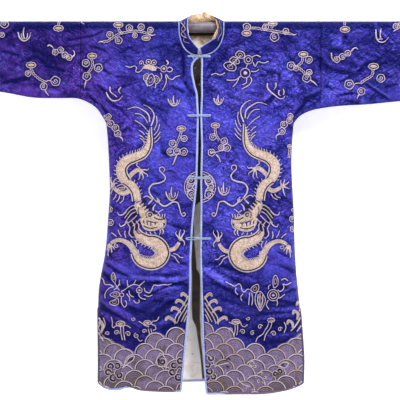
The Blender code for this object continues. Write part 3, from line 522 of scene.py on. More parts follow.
def hand_creases(x, z, rows):
    """The placed creases: a trough or ridge with a gentler lip beside it, fading out at both ends."""
    total = np.zeros(x.shape)
    for row in rows:
        line = bowed(row)
        width, height = row[5], row[6]
        reach = 4 * width
        near = (x > line[:, 0].min() - reach) & (x < line[:, 0].max() + reach)
        near &= (z > line[:, 1].min() - reach) & (z < line[:, 1].max() + reach)
        if not near.any():
            continue
        away, hand, along = distance_to_line(x[near], z[near], line)
        fade = np.sqrt(np.clip(4 * along * (1 - along), 0, 1)) * 0.92 + 0.08
        across = away * hand
        lip = LIP_HEIGHT * np.exp(-(((across - 2.0 * width) / (1.2 * width)) ** 2))
        total[near] += height * (np.exp(-((across / width) ** 2)) - lip) * fade
    return total


def large_folds(x, z, rows):
    """The folds that the solids have, as soft straight ridges and troughs."""
    total = np.zeros(x.shape)
    for x0, z0, x1, z1, half_width, height in rows:
        away, _, _ = distance_to_line(x, z, ((x0, z0), (x1, z1)))
        total += np.where(away < 3 * half_width, height * np.exp(-((away / half_width) ** 2)), 0)
    return total


# %% The whole surface
SEAM_DIP = 0.35
SEAM_WIDTH = 2.6
LEAST_DEPTH = 3.0
SLOPE_STEP = 1.5
STEEPEST = 1.5


def steepness(rise, step):
    """The cloth's slope over a short step, kept from running away at the rims."""
    return np.clip(rise / step, -STEEPEST, STEEPEST)


def depth_at(x, z, face):
    """How far the cloth stands from the middle plane, at points below the rod."""
    base = SHOULDER_RADIUS + (HEM_DEPTH - SHOULDER_RADIUS) * ease(-z / BODY_LENGTH)
    folds = large_folds(x, z, FRONT_FOLDS if face < 0 else BACK_FOLDS) * ease((-z - 30) / 60)
    small = crumple(x, z, face) + hand_creases(x, z, FRONT_CREASES if face < 0 else BACK_CREASES)
    small *= ease((-z - 2) / 30)
    for sign, seam in SLEEVE_SEAMS.items():
        small -= SEAM_DIP * np.exp(-(((x - seam) / SEAM_WIDTH) ** 2)) * (x * sign > 0)
    return np.maximum((base + folds + small), LEAST_DEPTH) * edge_turn(x, z)


def cloth_points(x, drop, face, lift=0.0):
    """Points in metres on the robe's outer face, lifted off it by some millimetres."""
    x, drop = np.asarray(x, float).ravel(), np.asarray(drop, float).ravel()
    lift = np.broadcast_to(np.asarray(lift, float), x.shape) if np.ndim(lift) else np.full(x.shape, lift)
    z = np.minimum(drop, 0.0)
    y = depth_at(x, z, face)
    slope_x = slope_z = 0 * x
    if lift.any():
        slope_x = steepness(depth_at(x + SLOPE_STEP, z, face) - y, SLOPE_STEP)
        slope_z = steepness(depth_at(x, z - SLOPE_STEP, face) - y, -SLOPE_STEP)
    size = np.sqrt(1 + slope_x**2 + slope_z**2)
    below = np.stack([x - lift * slope_x / size, face * (y + lift / size), z - lift * slope_z / size], 1)
    angle = np.clip(QUARTER_TURN - drop, 0, None) / SHOULDER_RADIUS
    radius = SHOULDER_RADIUS + lift
    above = np.stack([x, face * radius * np.sin(angle), radius * np.cos(angle)], 1)
    return np.where((drop > 0)[:, None], above, below) * MM


chest = depth_at(np.array([60.0]), np.array([-400.0]), -1)
print("cloth depth at the chest:", chest.round(1).tolist(), "mm")

# %% [markdown]
# Satin looks deep because its long silk floats mirror the lamps in one direction, while the grooves between
# them stay dark. A plain shader can show that with a fairly low roughness, part metallic, over a saturated
# violet. Old dye has also shifted: one sleeve has turned purple. Over that the colour has painted shade in the
# hollows and along fine crease lines, and painted highlights on the creases' lips. The cloth's own UV map is
# its flat cut in metres, so the weave and the patches of colour follow the cloth.

# %% Shader helpers


def add_node(tree, kind, values=(), **settings):
    """A node with its settings, and the values of its sockets by name or number."""
    node = tree.nodes.new(kind)
    for name, value in settings.items():
        setattr(node, name, value)
    for socket, value in dict(values).items():
        node.inputs[socket].default_value = value
    return node


def start_material(name, roughness, metallic=0.0, sheen=0.0, specular=0.5):
    """A new material with its node tree and its shader."""
    made = bpy.data.materials.new(name)
    made.use_nodes = True
    shader = made.node_tree.nodes["Principled BSDF"]
    shader.inputs["Roughness"].default_value = roughness
    shader.inputs["Metallic"].default_value = metallic
    shader.inputs["Sheen Weight"].default_value = sheen
    shader.inputs["Specular IOR Level"].default_value = specular
    return made, made.node_tree, shader


def mixed(tree, factor, first, second):
    """Mixes two colours. Each of the three may be a socket or a fixed value."""
    node = add_node(tree, "ShaderNodeMix", data_type="RGBA", blend_type="MIX")
    for socket, value in (("Factor", factor), ("A", first), ("B", second)):
        target = next(s for s in node.inputs if s.name == socket and s.enabled and s.type != "VECTOR")
        if isinstance(value, bpy.types.NodeSocket):
            tree.links.new(value, target)
        else:
            target.default_value = (*value, 1) if isinstance(value, tuple) else value
    return next(s for s in node.outputs if s.enabled)


def reached(tree, value, low, high):
    """0 below low and 1 above high, straight between."""
    node = add_node(tree, "ShaderNodeMapRange", {"From Min": low, "From Max": high})
    tree.links.new(value, node.inputs["Value"])
    return node.outputs["Result"]


def placed_noise(tree, vector, scale, detail, roughness=0.5, distortion=0.0):
    """Cloudy noise over a vector."""
    noise = add_node(tree, "ShaderNodeTexNoise", {"Scale": scale, "Detail": detail, "Roughness": roughness})
    noise.inputs["Distortion"].default_value = distortion
    tree.links.new(vector, noise.inputs["Vector"])
    return noise.outputs["Fac"]


def separated(tree, vector):
    """The sockets X, Y and Z of a vector."""
    parts = add_node(tree, "ShaderNodeSeparateXYZ")
    tree.links.new(vector, parts.inputs[0])
    return parts.outputs


# %% A group for woven cloth: thread colour breaks and a fine bump


def build_woven_group():
    """Weave, slubs and faint soil on the cloth's own UV map. Puts out a shade, a height and a patch mask."""
    group = bpy.data.node_groups.new("woven_cloth", "ShaderNodeTree")
    for name, kind, value in (("Threads", "NodeSocketFloat", 900.0), ("Patch Size", "NodeSocketFloat", 9.0)):
        socket = group.interface.new_socket(name, in_out="INPUT", socket_type=kind)
        socket.default_value = value
    for name in ("Shade", "Height", "Patches"):
        group.interface.new_socket(name, in_out="OUTPUT", socket_type="NodeSocketFloat")
    given = group.nodes.new("NodeGroupInput")
    place = add_node(group, "ShaderNodeTexCoord")
    warp = add_node(group, "ShaderNodeTexWave", {"Distortion": 1.5, "Detail": 1.0}, bands_direction="X")
    stretch = add_node(group, "ShaderNodeMapping", {"Scale": (1.0, 0.16, 1.0)})
    patches = add_node(group, "ShaderNodeTexNoise", {"Detail": 3.0, "Roughness": 0.55})
    group.links.new(place.outputs["UV"], warp.inputs["Vector"])
    group.links.new(given.outputs["Threads"], warp.inputs["Scale"])
    group.links.new(place.outputs["UV"], stretch.inputs["Vector"])
    slubs = placed_noise(group, stretch.outputs[0], 160.0, 3.0, 0.6)
    group.links.new(place.outputs["UV"], patches.inputs["Vector"])
    group.links.new(given.outputs["Patch Size"], patches.inputs["Scale"])
    height = add_node(group, "ShaderNodeMath", {1: 0.35}, operation="MULTIPLY_ADD")
    group.links.new(warp.outputs["Fac"], height.inputs[0])
    group.links.new(slubs, height.inputs[2])
    out = group.nodes.new("NodeGroupOutput")
    group.links.new(reached(group, slubs, 0.3, 0.7), out.inputs["Shade"])
    group.links.new(height.outputs[0], out.inputs["Height"])
    group.links.new(reached(group, patches.outputs["Fac"], 0.36, 0.64), out.inputs["Patches"])
    return group


WOVEN = build_woven_group()


def add_woven(tree, threads, patch_size):
    """The woven cloth's group, with so many threads and patches to the metre."""
    node = add_node(tree, "ShaderNodeGroup")
    node.node_tree = WOVEN
    node.inputs["Threads"].default_value = threads
    node.inputs["Patch Size"].default_value = patch_size
    return node


def bumped(tree, height, distance, strength, shader, under=None):
    """Gives a shader a bump, on top of another one if asked."""
    node = add_node(tree, "ShaderNodeBump", {"Distance": distance, "Strength": strength})
    tree.links.new(height, node.inputs["Height"])
    if under is not None:
        tree.links.new(under, node.inputs["Normal"])
    tree.links.new(node.outputs[0], shader.inputs["Normal"])
    return node.outputs[0]


print("group:", WOVEN.name, [item.name for item in WOVEN.interface.items_tree])

# %% Satin and the cloth's inside
# the first colour is painted shade and the third a painted highlight, both mixed into the satin's colour below
SATIN_PAINTED_SHADE = (0.003, 0.004, 0.085)
SATIN_BLUE = (0.064, 0.063, 0.56)
SATIN_PAINTED_HIGHLIGHT = (0.150, 0.135, 0.80)
SATIN_PURPLE = (0.120, 0.042, 0.44)


def crease_noise(tree, vector, scale, stretch, turn, distortion):
    """Noise drawn out along one direction, as the fine creases of washed satin are."""
    laid = add_node(tree, "ShaderNodeMapping", {"Scale": (stretch, 1, 1)}, vector_type="TEXTURE")
    laid.inputs["Rotation"].default_value = (0, 0, math.radians(turn))
    tree.links.new(vector, laid.inputs["Vector"])
    return placed_noise(tree, laid.outputs[0], scale, 2.0, 0.55, distortion)


def sharp_lines(tree, noise, width):
    """1 along thin lines where the noise is even, 0 elsewhere."""
    return reached(tree, combined(tree, "PINGPONG", noise, 0.5), 0.5 - width, 0.5)


def combined(tree, operation, first, second):
    """A sum or product of two values. Each may be a socket or a fixed value."""
    node = add_node(tree, "ShaderNodeMath", operation=operation)
    for socket, value in zip(node.inputs, (first, second)):
        if isinstance(value, bpy.types.NodeSocket):
            tree.links.new(value, socket)
        else:
            socket.default_value = value
    return node.outputs[0]


def build_satin():
    """Violet satin: a purple sleeve, a fine weave, and painted light and shade on folds at three sizes and in
    hollows.
    """
    made, tree, shader = start_material("violet_satin", 0.38, metallic=0.5, specular=0.12)
    woven = add_woven(tree, 900.0, 11.0)
    place = add_node(tree, "ShaderNodeTexCoord")
    cut = place.outputs["UV"]
    # the sleeve of the wearer's right has faded to purple, in patches
    cloudy = placed_noise(tree, cut, 5.0, 4.0, 0.6)
    shifted = add_node(tree, "ShaderNodeMath", {1: -0.42}, operation="MULTIPLY_ADD")
    tree.links.new(cloudy, shifted.inputs[0])
    tree.links.new(separated(tree, cut)["X"], shifted.inputs[2])
    faded = reached(tree, shifted.outputs[0], -0.36, -0.58)
    # painted light and shade: broad creases get painted highlights and painted shade in the body colour, and
    # fine sharp ones draw lines of painted shade over it
    body = mixed(tree, faded, SATIN_BLUE, SATIN_PURPLE)
    body = mixed(tree, reached(tree, woven.outputs["Patches"], 0.2, 3.0), body, SATIN_PURPLE)
    broad = crease_noise(tree, cut, 17.0, 1.5, -28.0, 0.8)
    middle = crease_noise(tree, cut, 38.0, 1.9, 32.0, 1.2)
    narrow = crease_noise(tree, cut, 74.0, 1.6, -34.0, 1.4)
    body = mixed(tree, combined(tree, "MULTIPLY", reached(tree, broad, 0.50, 0.66), 0.38), body, SATIN_PAINTED_HIGHLIGHT)
    body = mixed(tree, combined(tree, "MULTIPLY", reached(tree, broad, 0.48, 0.35), 0.66), body, SATIN_PAINTED_SHADE)
    lines = combined(tree, "MAXIMUM", sharp_lines(tree, middle, 0.055), sharp_lines(tree, narrow, 0.075))
    spread = reached(tree, cloudy, 0.34, 0.54)
    where = combined(tree, "MAXIMUM", spread, 0.40)
    body = mixed(tree, combined(tree, "MULTIPLY", lines, where), body, SATIN_PAINTED_SHADE)
    # painted highlights where the shade attribute is below 0, painted shade where it is above 0
    shade = add_node(tree, "ShaderNodeAttribute", attribute_name="painted_shade").outputs["Fac"]
    body = mixed(tree, reached(tree, shade, 0.0, -1.0), body, SATIN_PAINTED_HIGHLIGHT)
    body = mixed(tree, reached(tree, shade, 0.0, 1.0), body, SATIN_PAINTED_SHADE)
    tree.links.new(body, shader.inputs["Base Color"])
    relief = combined(tree, "ADD", middle, combined(tree, "MULTIPLY", narrow, 0.5))
    under = bumped(tree, relief, 0.011, 0.9, shader)
    bumped(tree, woven.outputs["Height"], 0.0003, 0.25, shader, under)
    return made


def build_lining():
    """The cloth's inside: pale cotton with a few tan stains."""
    made, tree, shader = start_material("cotton_lining", 0.85, sheen=0.1, specular=0.2)
    woven = add_woven(tree, 700.0, 7.0)
    cut = add_node(tree, "ShaderNodeTexCoord").outputs["UV"]
    stains = placed_noise(tree, cut, 9.0, 5.0, 0.65)
    cotton = mixed(tree, woven.outputs["Shade"], (0.66, 0.60, 0.58), (0.82, 0.78, 0.77))
    cotton = mixed(tree, reached(tree, stains, 0.50, 0.68), cotton, (0.52, 0.36, 0.16))
    tree.links.new(cotton, shader.inputs["Base Color"])
    under = bumped(tree, placed_noise(tree, cut, 34.0, 4.0, distortion=1.5), 0.004, 0.5, shader)
    bumped(tree, woven.outputs["Height"], 0.0006, 0.4, shader, under)
    return made


SATIN = build_satin()
LINING = build_lining()
print("materials:", SATIN.name, LINING.name)

# %% [markdown]
# Each panel is one sheet. It starts as a grid over the cut, in x and drop, which is moved onto the surface
# and then given its thickness by a Solidify modifier, with the lining's material on the inside. A grid keeps
# the cloth's own UV map exact. Front and back panels meet at the shoulder fold and down the sides, as the
# solids do.

# %% Grids over the cut
ARC_ROWS = 9
NECK_COLUMNS = 16
BODY_COLUMNS = 54
UPPER_ROWS = 66
SHOULDER_COLUMNS = 18
LOWER_ROWS = 184
SLEEVE_COLUMNS = 74
SEAM_GAP = 0.3


def upper_levels():
    """Shares of the way from the fold to the underarm, closer together towards the underarm."""
    return 1 - (1 - np.arange(1, UPPER_ROWS + 1) / UPPER_ROWS) ** 1.25


def ring_rows(sign, x):
    """How the cloth's length from the top of the fold to the sleeve's underside is divided."""
    bottom = QUARTER_TURN - underside_z(sign, x)
    arc = KNEE * np.arange(ARC_ROWS + 1) / ARC_ROWS
    return np.concatenate([arc, KNEE + (bottom - KNEE) * upper_levels()])


def body_grid(sign, neck_drop, start_share, hem, inner_edge):
    """x, drop and whether each point is cloth, for half of the body out to the sleeve seam."""
    body = 1 - (1 - np.arange(1, BODY_COLUMNS + 1) / BODY_COLUMNS) ** 1.3
    end_share = start_share[-1]
    shares = np.concatenate([start_share, end_share + (1 - end_share) * body])
    tops = np.concatenate([neck_drop, np.zeros(BODY_COLUMNS)])
    rows = ARC_ROWS + UPPER_ROWS + LOWER_ROWS
    columns = len(shares) + SHOULDER_COLUMNS
    x = np.zeros((columns, rows + 1))
    run = np.zeros((columns, rows + 1))
    real = np.zeros((columns, rows + 1), bool)
    underarm_run = QUARTER_TURN - UNDERARM_Z
    hem_z = smooth_read(hem, shares)
    level = upper_levels()
    step = np.arange(1, LOWER_ROWS + 1) / LOWER_ROWS
    for i, share in enumerate(shares):
        knee = max(tops[i], KNEE)
        run[i, :ARC_ROWS] = knee
        if tops[i] < KNEE:
            run[i, :ARC_ROWS] = tops[i] + (KNEE - tops[i]) * np.arange(ARC_ROWS) / ARC_ROWS
        run[i, ARC_ROWS] = knee
        run[i, ARC_ROWS + 1 : ARC_ROWS + UPPER_ROWS + 1] = knee + (underarm_run - knee) * level
        run[i, ARC_ROWS + UPPER_ROWS + 1 :] = QUARTER_TURN - (UNDERARM_Z + (hem_z[i] - UNDERARM_Z) * step)
        start = inner_edge(QUARTER_TURN - run[i])
        start[:ARC_ROWS] = inner_edge(np.array([QUARTER_TURN - knee]))[0]
        side = np.full(rows + 1, float(sign * UNDERARM_X))
        below = slice(ARC_ROWS + UPPER_ROWS + 1, None)
        side[below] = side_x(sign, QUARTER_TURN - run[i, below])
        x[i] = start + (side - start) * share
        real[i] = True
        real[i, :ARC_ROWS] = tops[i] < KNEE
    for k in range(1, SHOULDER_COLUMNS + 1):
        i = len(shares) - 1 + k
        across = sign * UNDERARM_X + (SLEEVE_SEAMS[sign] - sign * UNDERARM_X) * k / SHOULDER_COLUMNS
        x[i] = across
        run[i, : ARC_ROWS + UPPER_ROWS + 1] = ring_rows(sign, np.array([across]))
        real[i, : ARC_ROWS + UPPER_ROWS + 1] = True
    return x, QUARTER_TURN - run, real


def neck_shape(count):
    """A quarter of the neckline: shares of its half width and of its drop."""
    angle = np.linspace(0, math.pi / 2, count)
    return np.sin(angle) ** (2 / NECK_ROUNDNESS), np.clip(np.cos(angle), 0, 1) ** (2 / NECK_ROUNDNESS)


def front_grid(sign):
    """One front, from its edge at the opening to the sleeve seam."""
    start = float(front_edge_x(sign, QUARTER_TURN - FRONT_NECK_DROP))
    across, down = neck_shape(NECK_COLUMNS)
    neck_x = start + (NECK_CENTRE_X + sign * NECK_HALF_WIDTH - start) * across
    neck_drop = KNEE + (FRONT_NECK_DROP - KNEE) * down
    neck_drop[-1] = 0.0
    shares = (neck_x - start) / (sign * UNDERARM_X - start)
    hem = RIGHT_HEM if sign < 0 else LEFT_HEM
    return body_grid(sign, neck_drop, shares, hem, lambda z: front_edge_x(sign, z))


def back_grid(sign):
    """Half of the back, from the middle to the sleeve seam."""
    across, down = neck_shape(NECK_COLUMNS)
    neck_x = NECK_CENTRE_X + sign * NECK_HALF_WIDTH * across
    shares = (neck_x - NECK_CENTRE_X) / (sign * UNDERARM_X - NECK_CENTRE_X)
    middle = lambda z: np.full(np.shape(z), float(NECK_CENTRE_X))
    return body_grid(sign, BACK_NECK_DROP * down, shares, BACK_HEM, middle)


def sleeve_grid(sign):
    """One face of a sleeve, from its seam to the cuff."""
    start = SLEEVE_SEAMS[sign] + sign * SEAM_GAP
    reach = np.linspace(start, sign * CUFF_X, SLEEVE_COLUMNS + 1)
    run = np.stack([ring_rows(sign, np.array([x])) for x in reach])
    x = np.repeat(reach[:, None], run.shape[1], 1)
    return x, QUARTER_TURN - run, np.ones(run.shape, bool)


# %% From grids to sheets
WALL = 1.3
JOIN_REACH = 0.00002  # metres between two points that count as one


def mesh_object(name, points, faces, uvs, material, values=None):
    """A mesh from arrays. faces are quads, uvs has a row for each face corner, values hold its painted light
    and shade.
    """
    mesh = bpy.data.meshes.new(name)
    mesh.vertices.add(len(points))
    mesh.vertices.foreach_set("co", np.asarray(points, np.float32).ravel())
    mesh.loops.add(faces.size)
    mesh.loops.foreach_set("vertex_index", faces.ravel().astype(np.int32))
    mesh.polygons.add(len(faces))
    mesh.polygons.foreach_set("loop_start", np.arange(0, faces.size, 4, dtype=np.int32))
    mesh.polygons.foreach_set("loop_total", np.full(len(faces), 4, np.int32))
    layer = mesh.uv_layers.new(name="cut")
    layer.data.foreach_set("uv", np.asarray(uvs, np.float32).ravel())
    if values is not None:
        mesh.attributes.new("painted_shade", "FLOAT", "POINT").data.foreach_set("value", values.astype(np.float32))
    mesh.update(calc_edges=True)
    mesh.validate()
    mesh.shade_smooth()
    mesh.materials.append(material)
    made = bpy.data.objects.new(name, mesh)
    bpy.context.scene.collection.objects.link(made)
    return made


def hollow_shade(x, z, face):
    """Painted light and shade: below 0 for painted highlights beside creases, nearly 1 for painted shade in
    hollows, on rims, on the shoulders and low on the skirt.
    """
    z = np.minimum(z, 0)
    placed = hand_creases(x, z, FRONT_CREASES if face < 0 else BACK_CREASES)
    large = large_folds(x, z, FRONT_FOLDS if face < 0 else BACK_FOLDS)
    # painted shade in the placed creases' troughs and painted highlights on their ridges and lips, then
    # painted shade in the crumple's and the large folds' hollows
    shade = ease((-placed - 0.15) / 1.5) - 0.55 * ease((placed - 0.25) / 1.6)
    shade += ease((-crumple(x, z, face) - 0.6) / 2.6) * 0.55 + ease(-large / 5) * 0.30
    # painted shade low on the skirt and on the shoulders, with uneven edges
    patchy = soft_noise(x, z, 120, 91) - 0.5
    shade += 0.60 * ease((-z - 800 + 90 * patchy) / 110) + 0.46 * ease((240 + z + 120 * patchy) / 160)
    # painted shade on the rims where the cloth turns away, above the slits, and on the fold over the rod
    rims = 1 - ease(edge_turn(x, z) / 0.42)
    shade += 0.75 * rims * ease((z + 1010) / 60) + 0.6 * ease((z + 14) / 14)
    for sign, seam in SLEEVE_SEAMS.items():
        shade += 0.10 * np.exp(-(((x - seam) / SEAM_WIDTH) ** 2)) * (x * sign > 0)
    return np.clip(shade, -0.7, 0.97)


def quad_corners(values):
    """The four values round each square of a grid, one row each."""
    return np.stack([values[:-1, :-1], values[1:, :-1], values[1:, 1:], values[:-1, 1:]], 2)


def join_edges(piece):
    """Joins points that lie in one place, where two grids meet."""
    build = bmesh.new()
    build.from_mesh(piece.data)
    bmesh.ops.remove_doubles(build, verts=build.verts, dist=JOIN_REACH)
    build.to_mesh(piece.data)
    build.free()


def grid_sheet(name, grids, material):
    """One sheet from grids of (x, drop, real, face). Grids that share an edge are joined there."""
    points, faces, uvs, shades, first = [], [], [], [], 0
    for x, drop, real, face in grids:
        index = np.full(x.shape, -1)
        index[real] = first + np.arange(real.sum())
        first += real.sum()
        points.append(cloth_points(x[real], drop[real], face))
        shades.append(hollow_shade(x[real], drop[real], face))
        corners = quad_corners(index).reshape(-1, 4)
        cut = quad_corners(np.stack([x, drop * -face], -1) * MM).reshape(-1, 4, 2)
        keep = (corners >= 0).all(1)
        corners, cut = corners[keep], cut[keep]
        everything = np.concatenate(points)
        a, b, c = (everything[corners[:, k]] for k in (0, 1, 2))
        facing = np.cross(b - a, c - b)[:, 1].sum() * face
        if facing < 0:
            corners, cut = corners[:, ::-1], cut[:, ::-1]
        faces.append(corners)
        uvs.append(cut)
    points, faces, uvs, shades = (np.concatenate(parts) for parts in (points, faces, uvs, shades))
    made = mesh_object(name, points, faces, uvs, material, shades)
    join_edges(made)
    return made


def apply_modifiers(piece):
    """Makes a piece's modifiers part of its mesh."""
    bpy.ops.object.select_all(action="DESELECT")
    bpy.context.view_layer.objects.active = piece
    piece.select_set(True)
    for modifier in list(piece.modifiers):
        bpy.ops.object.modifier_apply(modifier=modifier.name)
    piece.select_set(False)


def coordinates(piece):
    """A piece's points as an array of x, y and z."""
    place = np.zeros(len(piece.data.vertices) * 3, np.float32)
    piece.data.vertices.foreach_get("co", place)
    return place.reshape(-1, 3)


def thicken(piece, thickness, inside, face=0):
    """Gives a sheet its thickness, with another material inside. face keeps it on its half of the robe."""
    piece.data.materials.append(inside)
    wall = piece.modifiers.new("wall", "SOLIDIFY")
    wall.thickness = thickness * MM
    wall.offset = -1
    wall.material_offset = 1
    wall.material_offset_rim = 0
    apply_modifiers(piece)
    if face:
        place = coordinates(piece)
        place[:, 1] = np.where(place[:, 1] * face < HALF_GAP * MM, face * HALF_GAP * MM, place[:, 1])
        piece.data.vertices.foreach_set("co", place.ravel())
        piece.data.update()


def finish_piece(piece, slot, *nodes):
    """Every piece rides on the one body, and the solids it stands for are hidden. slot is not used."""
    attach(piece, "root")
    if nodes:
        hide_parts(*nodes)
    return piece


SHEETS = {
    # name: the solid it stands for, its grids, and the half of the robe it stays on, if only one
    "right_front_cloth": ("right_front", [(*front_grid(-1), -1)], -1),
    "left_front_cloth": ("left_front", [(*front_grid(1), -1)], -1),
    "back_cloth": ("back", [(*back_grid(-1), 1), (*back_grid(1), 1)], 1),
    "right_sleeve_cloth": ("right_sleeve", [(*sleeve_grid(-1), -1), (*sleeve_grid(-1), 1)], 0),
    "left_sleeve_cloth": ("left_sleeve", [(*sleeve_grid(1), -1), (*sleeve_grid(1), 1)], 0),
}
PANELS = {}
for name, (node, grids, side) in SHEETS.items():
    piece = grid_sheet(name, grids, SATIN)
    thicken(piece, WALL, LINING, side)
    finish_piece(piece, "satin", node)
    drops = [drop[real] for _, drop, real, _ in grids]
    if side:
        drops = [np.concatenate(drops)]
    PANELS[name] = piece

# %% [markdown]
# The pictures on the robe are couched: a thick cord is laid along each line and caught down with fine
# stitches. So each line is a low rounded cord that follows the cloth over every crease. A drawing is a short
# list of strokes, each with a few points that a smooth curve runs through. Filled shapes, such as the
# dragons' bodies, are rows of cord side by side, made here as one low dome. All are laid on the surface by
# the same two functions.

# %% Drawing smooth lines
RING_POINTS = 14


def summed(lengths):
    """How far along a line each point is, from the lengths between its points."""
    return np.concatenate([[0], np.cumsum(lengths)])


def smooth_line(points, step=2.6, closed=False):
    """Evenly spaced points on a curve through a few given ones. A third value, a width, is carried along."""
    points = np.array(points, float)
    if closed:
        points = np.concatenate([points[-2:], points, points[:3]])
    gaps = np.maximum(np.hypot(*np.diff(points[:, :2], axis=0).T), 1e-3) ** 0.5
    at = summed(gaps)
    if len(points) > 2:
        slopes = np.gradient(points, at, axis=0)
    else:
        slopes = np.repeat((points[1:] - points[:1]) / at[-1], 2, 0)
    fine = []
    for k in range(len(points) - 1):
        if closed and not 2 <= k < len(points) - 3:
            continue
        span = at[k + 1] - at[k]
        t = np.linspace(0, 1, 13)[:-1, None]
        near = (2 * t**3 - 3 * t**2 + 1) * points[k] + (t**3 - 2 * t**2 + t) * span * slopes[k]
        fine.append(near + (3 * t**2 - 2 * t**3) * points[k + 1] + (t**3 - t**2) * span * slopes[k + 1])
    fine = np.concatenate(fine + [points[None, 2] if closed else points[None, -1]])
    length = summed(np.hypot(*np.diff(fine[:, :2], axis=0).T))
    count = max(int(round(length[-1] / step)), 3)
    even = np.linspace(0, length[-1], count + 1)
    return np.stack([np.interp(even, length, fine[:, k]) for k in range(fine.shape[1])], 1)


def ahead_of(line, closed=False):
    """The unit direction along a line, at each point."""
    flat = line[:, :2]
    along = np.roll(flat, -1, 0) - np.roll(flat, 1, 0) if closed else np.gradient(flat, axis=0)
    return along / np.maximum(np.hypot(along[:, 0], along[:, 1]), 1e-9)[:, None]


def sideways(line, closed=False):
    """The unit direction to the left of a line, at each point."""
    along = ahead_of(line, closed)
    return np.stack([-along[:, 1], along[:, 0]], 1)


def beside_line(line, distance):
    """A line to the left of another one, or to the right of it at a distance below 0."""
    return line[:, :2] + sideways(line) * np.asarray(distance).reshape(-1, 1)


def spiral(x, z, radius, start=0.0, turns=1.25, hand=1):
    """Points from the outside of a curl to its middle. start is its outer end's direction, in degrees."""
    t = np.linspace(0, 1, max(int(9 * turns), 7))
    angle = math.radians(start) + hand * t * turns * 2 * math.pi
    reach = radius * (1 - 0.80 * t)
    return np.stack([x + reach * np.cos(angle), z + reach * np.sin(angle)], 1)


def ring(x, z, radius):
    """Points round a circle."""
    angle = np.arange(RING_POINTS) * 2 * math.pi / RING_POINTS
    return np.stack([x + radius * np.cos(angle), z + radius * np.sin(angle)], 1)


# %% Faces round a cord


def wrapped_faces(index, length, around, around_next, closed):
    """Quads round a cord from its rings of points, with how far along and how far round each corner is."""
    if closed:
        index = np.concatenate([index, index[:1]])
    beside = np.roll(index, -1, 1)
    quads = np.stack([index[:-1], beside[:-1], beside[1:], index[1:]], -1).reshape(-1, 4)
    u = np.stack([length[:-1], length[:-1], length[1:], length[1:]], -1)[:, None].repeat(index.shape[1], 1)
    v = np.stack([around, around_next, around_next, around], -1)[None].repeat(len(length) - 1, 0)
    return quads, np.stack([u, v], -1).reshape(-1, 4, 2)


def end_cap(row):
    """Quads across a cord's last ring of points."""
    half = range(len(row) // 2 - 1)
    return np.array([[row[k], row[k + 1], row[-2 - k], row[-1 - k]] for k in half] or [row[:4]])


def give_materials(piece, materials, kinds):
    """Gives each face its own one of the materials. The piece has the first one already."""
    for material in materials[1:]:
        piece.data.materials.append(material)
    piece.data.polygons.foreach_set("material_index", kinds.astype(np.int32))
    piece.data.update()


# %% Laying cord on the cloth
# the colours of CORDS, which is made further down
CREAM, BEIGE, GREY, DARK, TAN, LILAC = range(6)
CORD_PROFILE = ((-0.5, -0.25), (-0.29, 0.92), (0.29, 0.92), (0.5, -0.25))
PROFILE_ACROSS, PROFILE_UP = np.array(CORD_PROFILE).T
FULL_TURN = 0.0026  # metres from a closed cord's last point to its first, for its UV map
HEM_X = 334.0  # how far the side slits are from the middle
HEM_START_Z = -1160.0
GAP_TOP = -60  # the opening between the fronts begins below this


def hem_height(x, face):
    """The robe's lower edge below each x."""
    if face > 0:
        return smooth_read(BACK_HEM, np.abs(x) / HEM_X)
    left_start, right_start = (float(front_edge_x(sign, HEM_START_Z)) for sign in (1, -1))
    left = smooth_read(LEFT_HEM, (x - left_start) / (HEM_X - left_start))
    right = smooth_read(RIGHT_HEM, (right_start - x) / (HEM_X + right_start))
    return np.where(x > (left_start + right_start) / 2, left, right)


def on_cloth(x, drop, face, margin=3.0):
    """Where a point lies on the robe: inside its side line, its front edges and its hem."""
    z = np.minimum(drop, 0)
    fine = drop > hem_height(x, face) + margin
    for sign in (-1, 1):
        part = x * sign > SIDE_START
        if part.any():
            away, hand, _ = distance_to_line(x[part], z[part], OUTLINES[sign])
            fine[part] &= (away * hand * sign > margin) & (np.abs(x[part]) < CUFF_X - 2)
    if face < 0:
        in_gap = (x > front_edge_x(-1, z) - margin) & (x < front_edge_x(1, z) + margin)
        fine &= ~(in_gap & (drop < GAP_TOP))
    return fine


OTHER_WAY = [0, 3, 2, 1]  # a quad's corners in the other direction


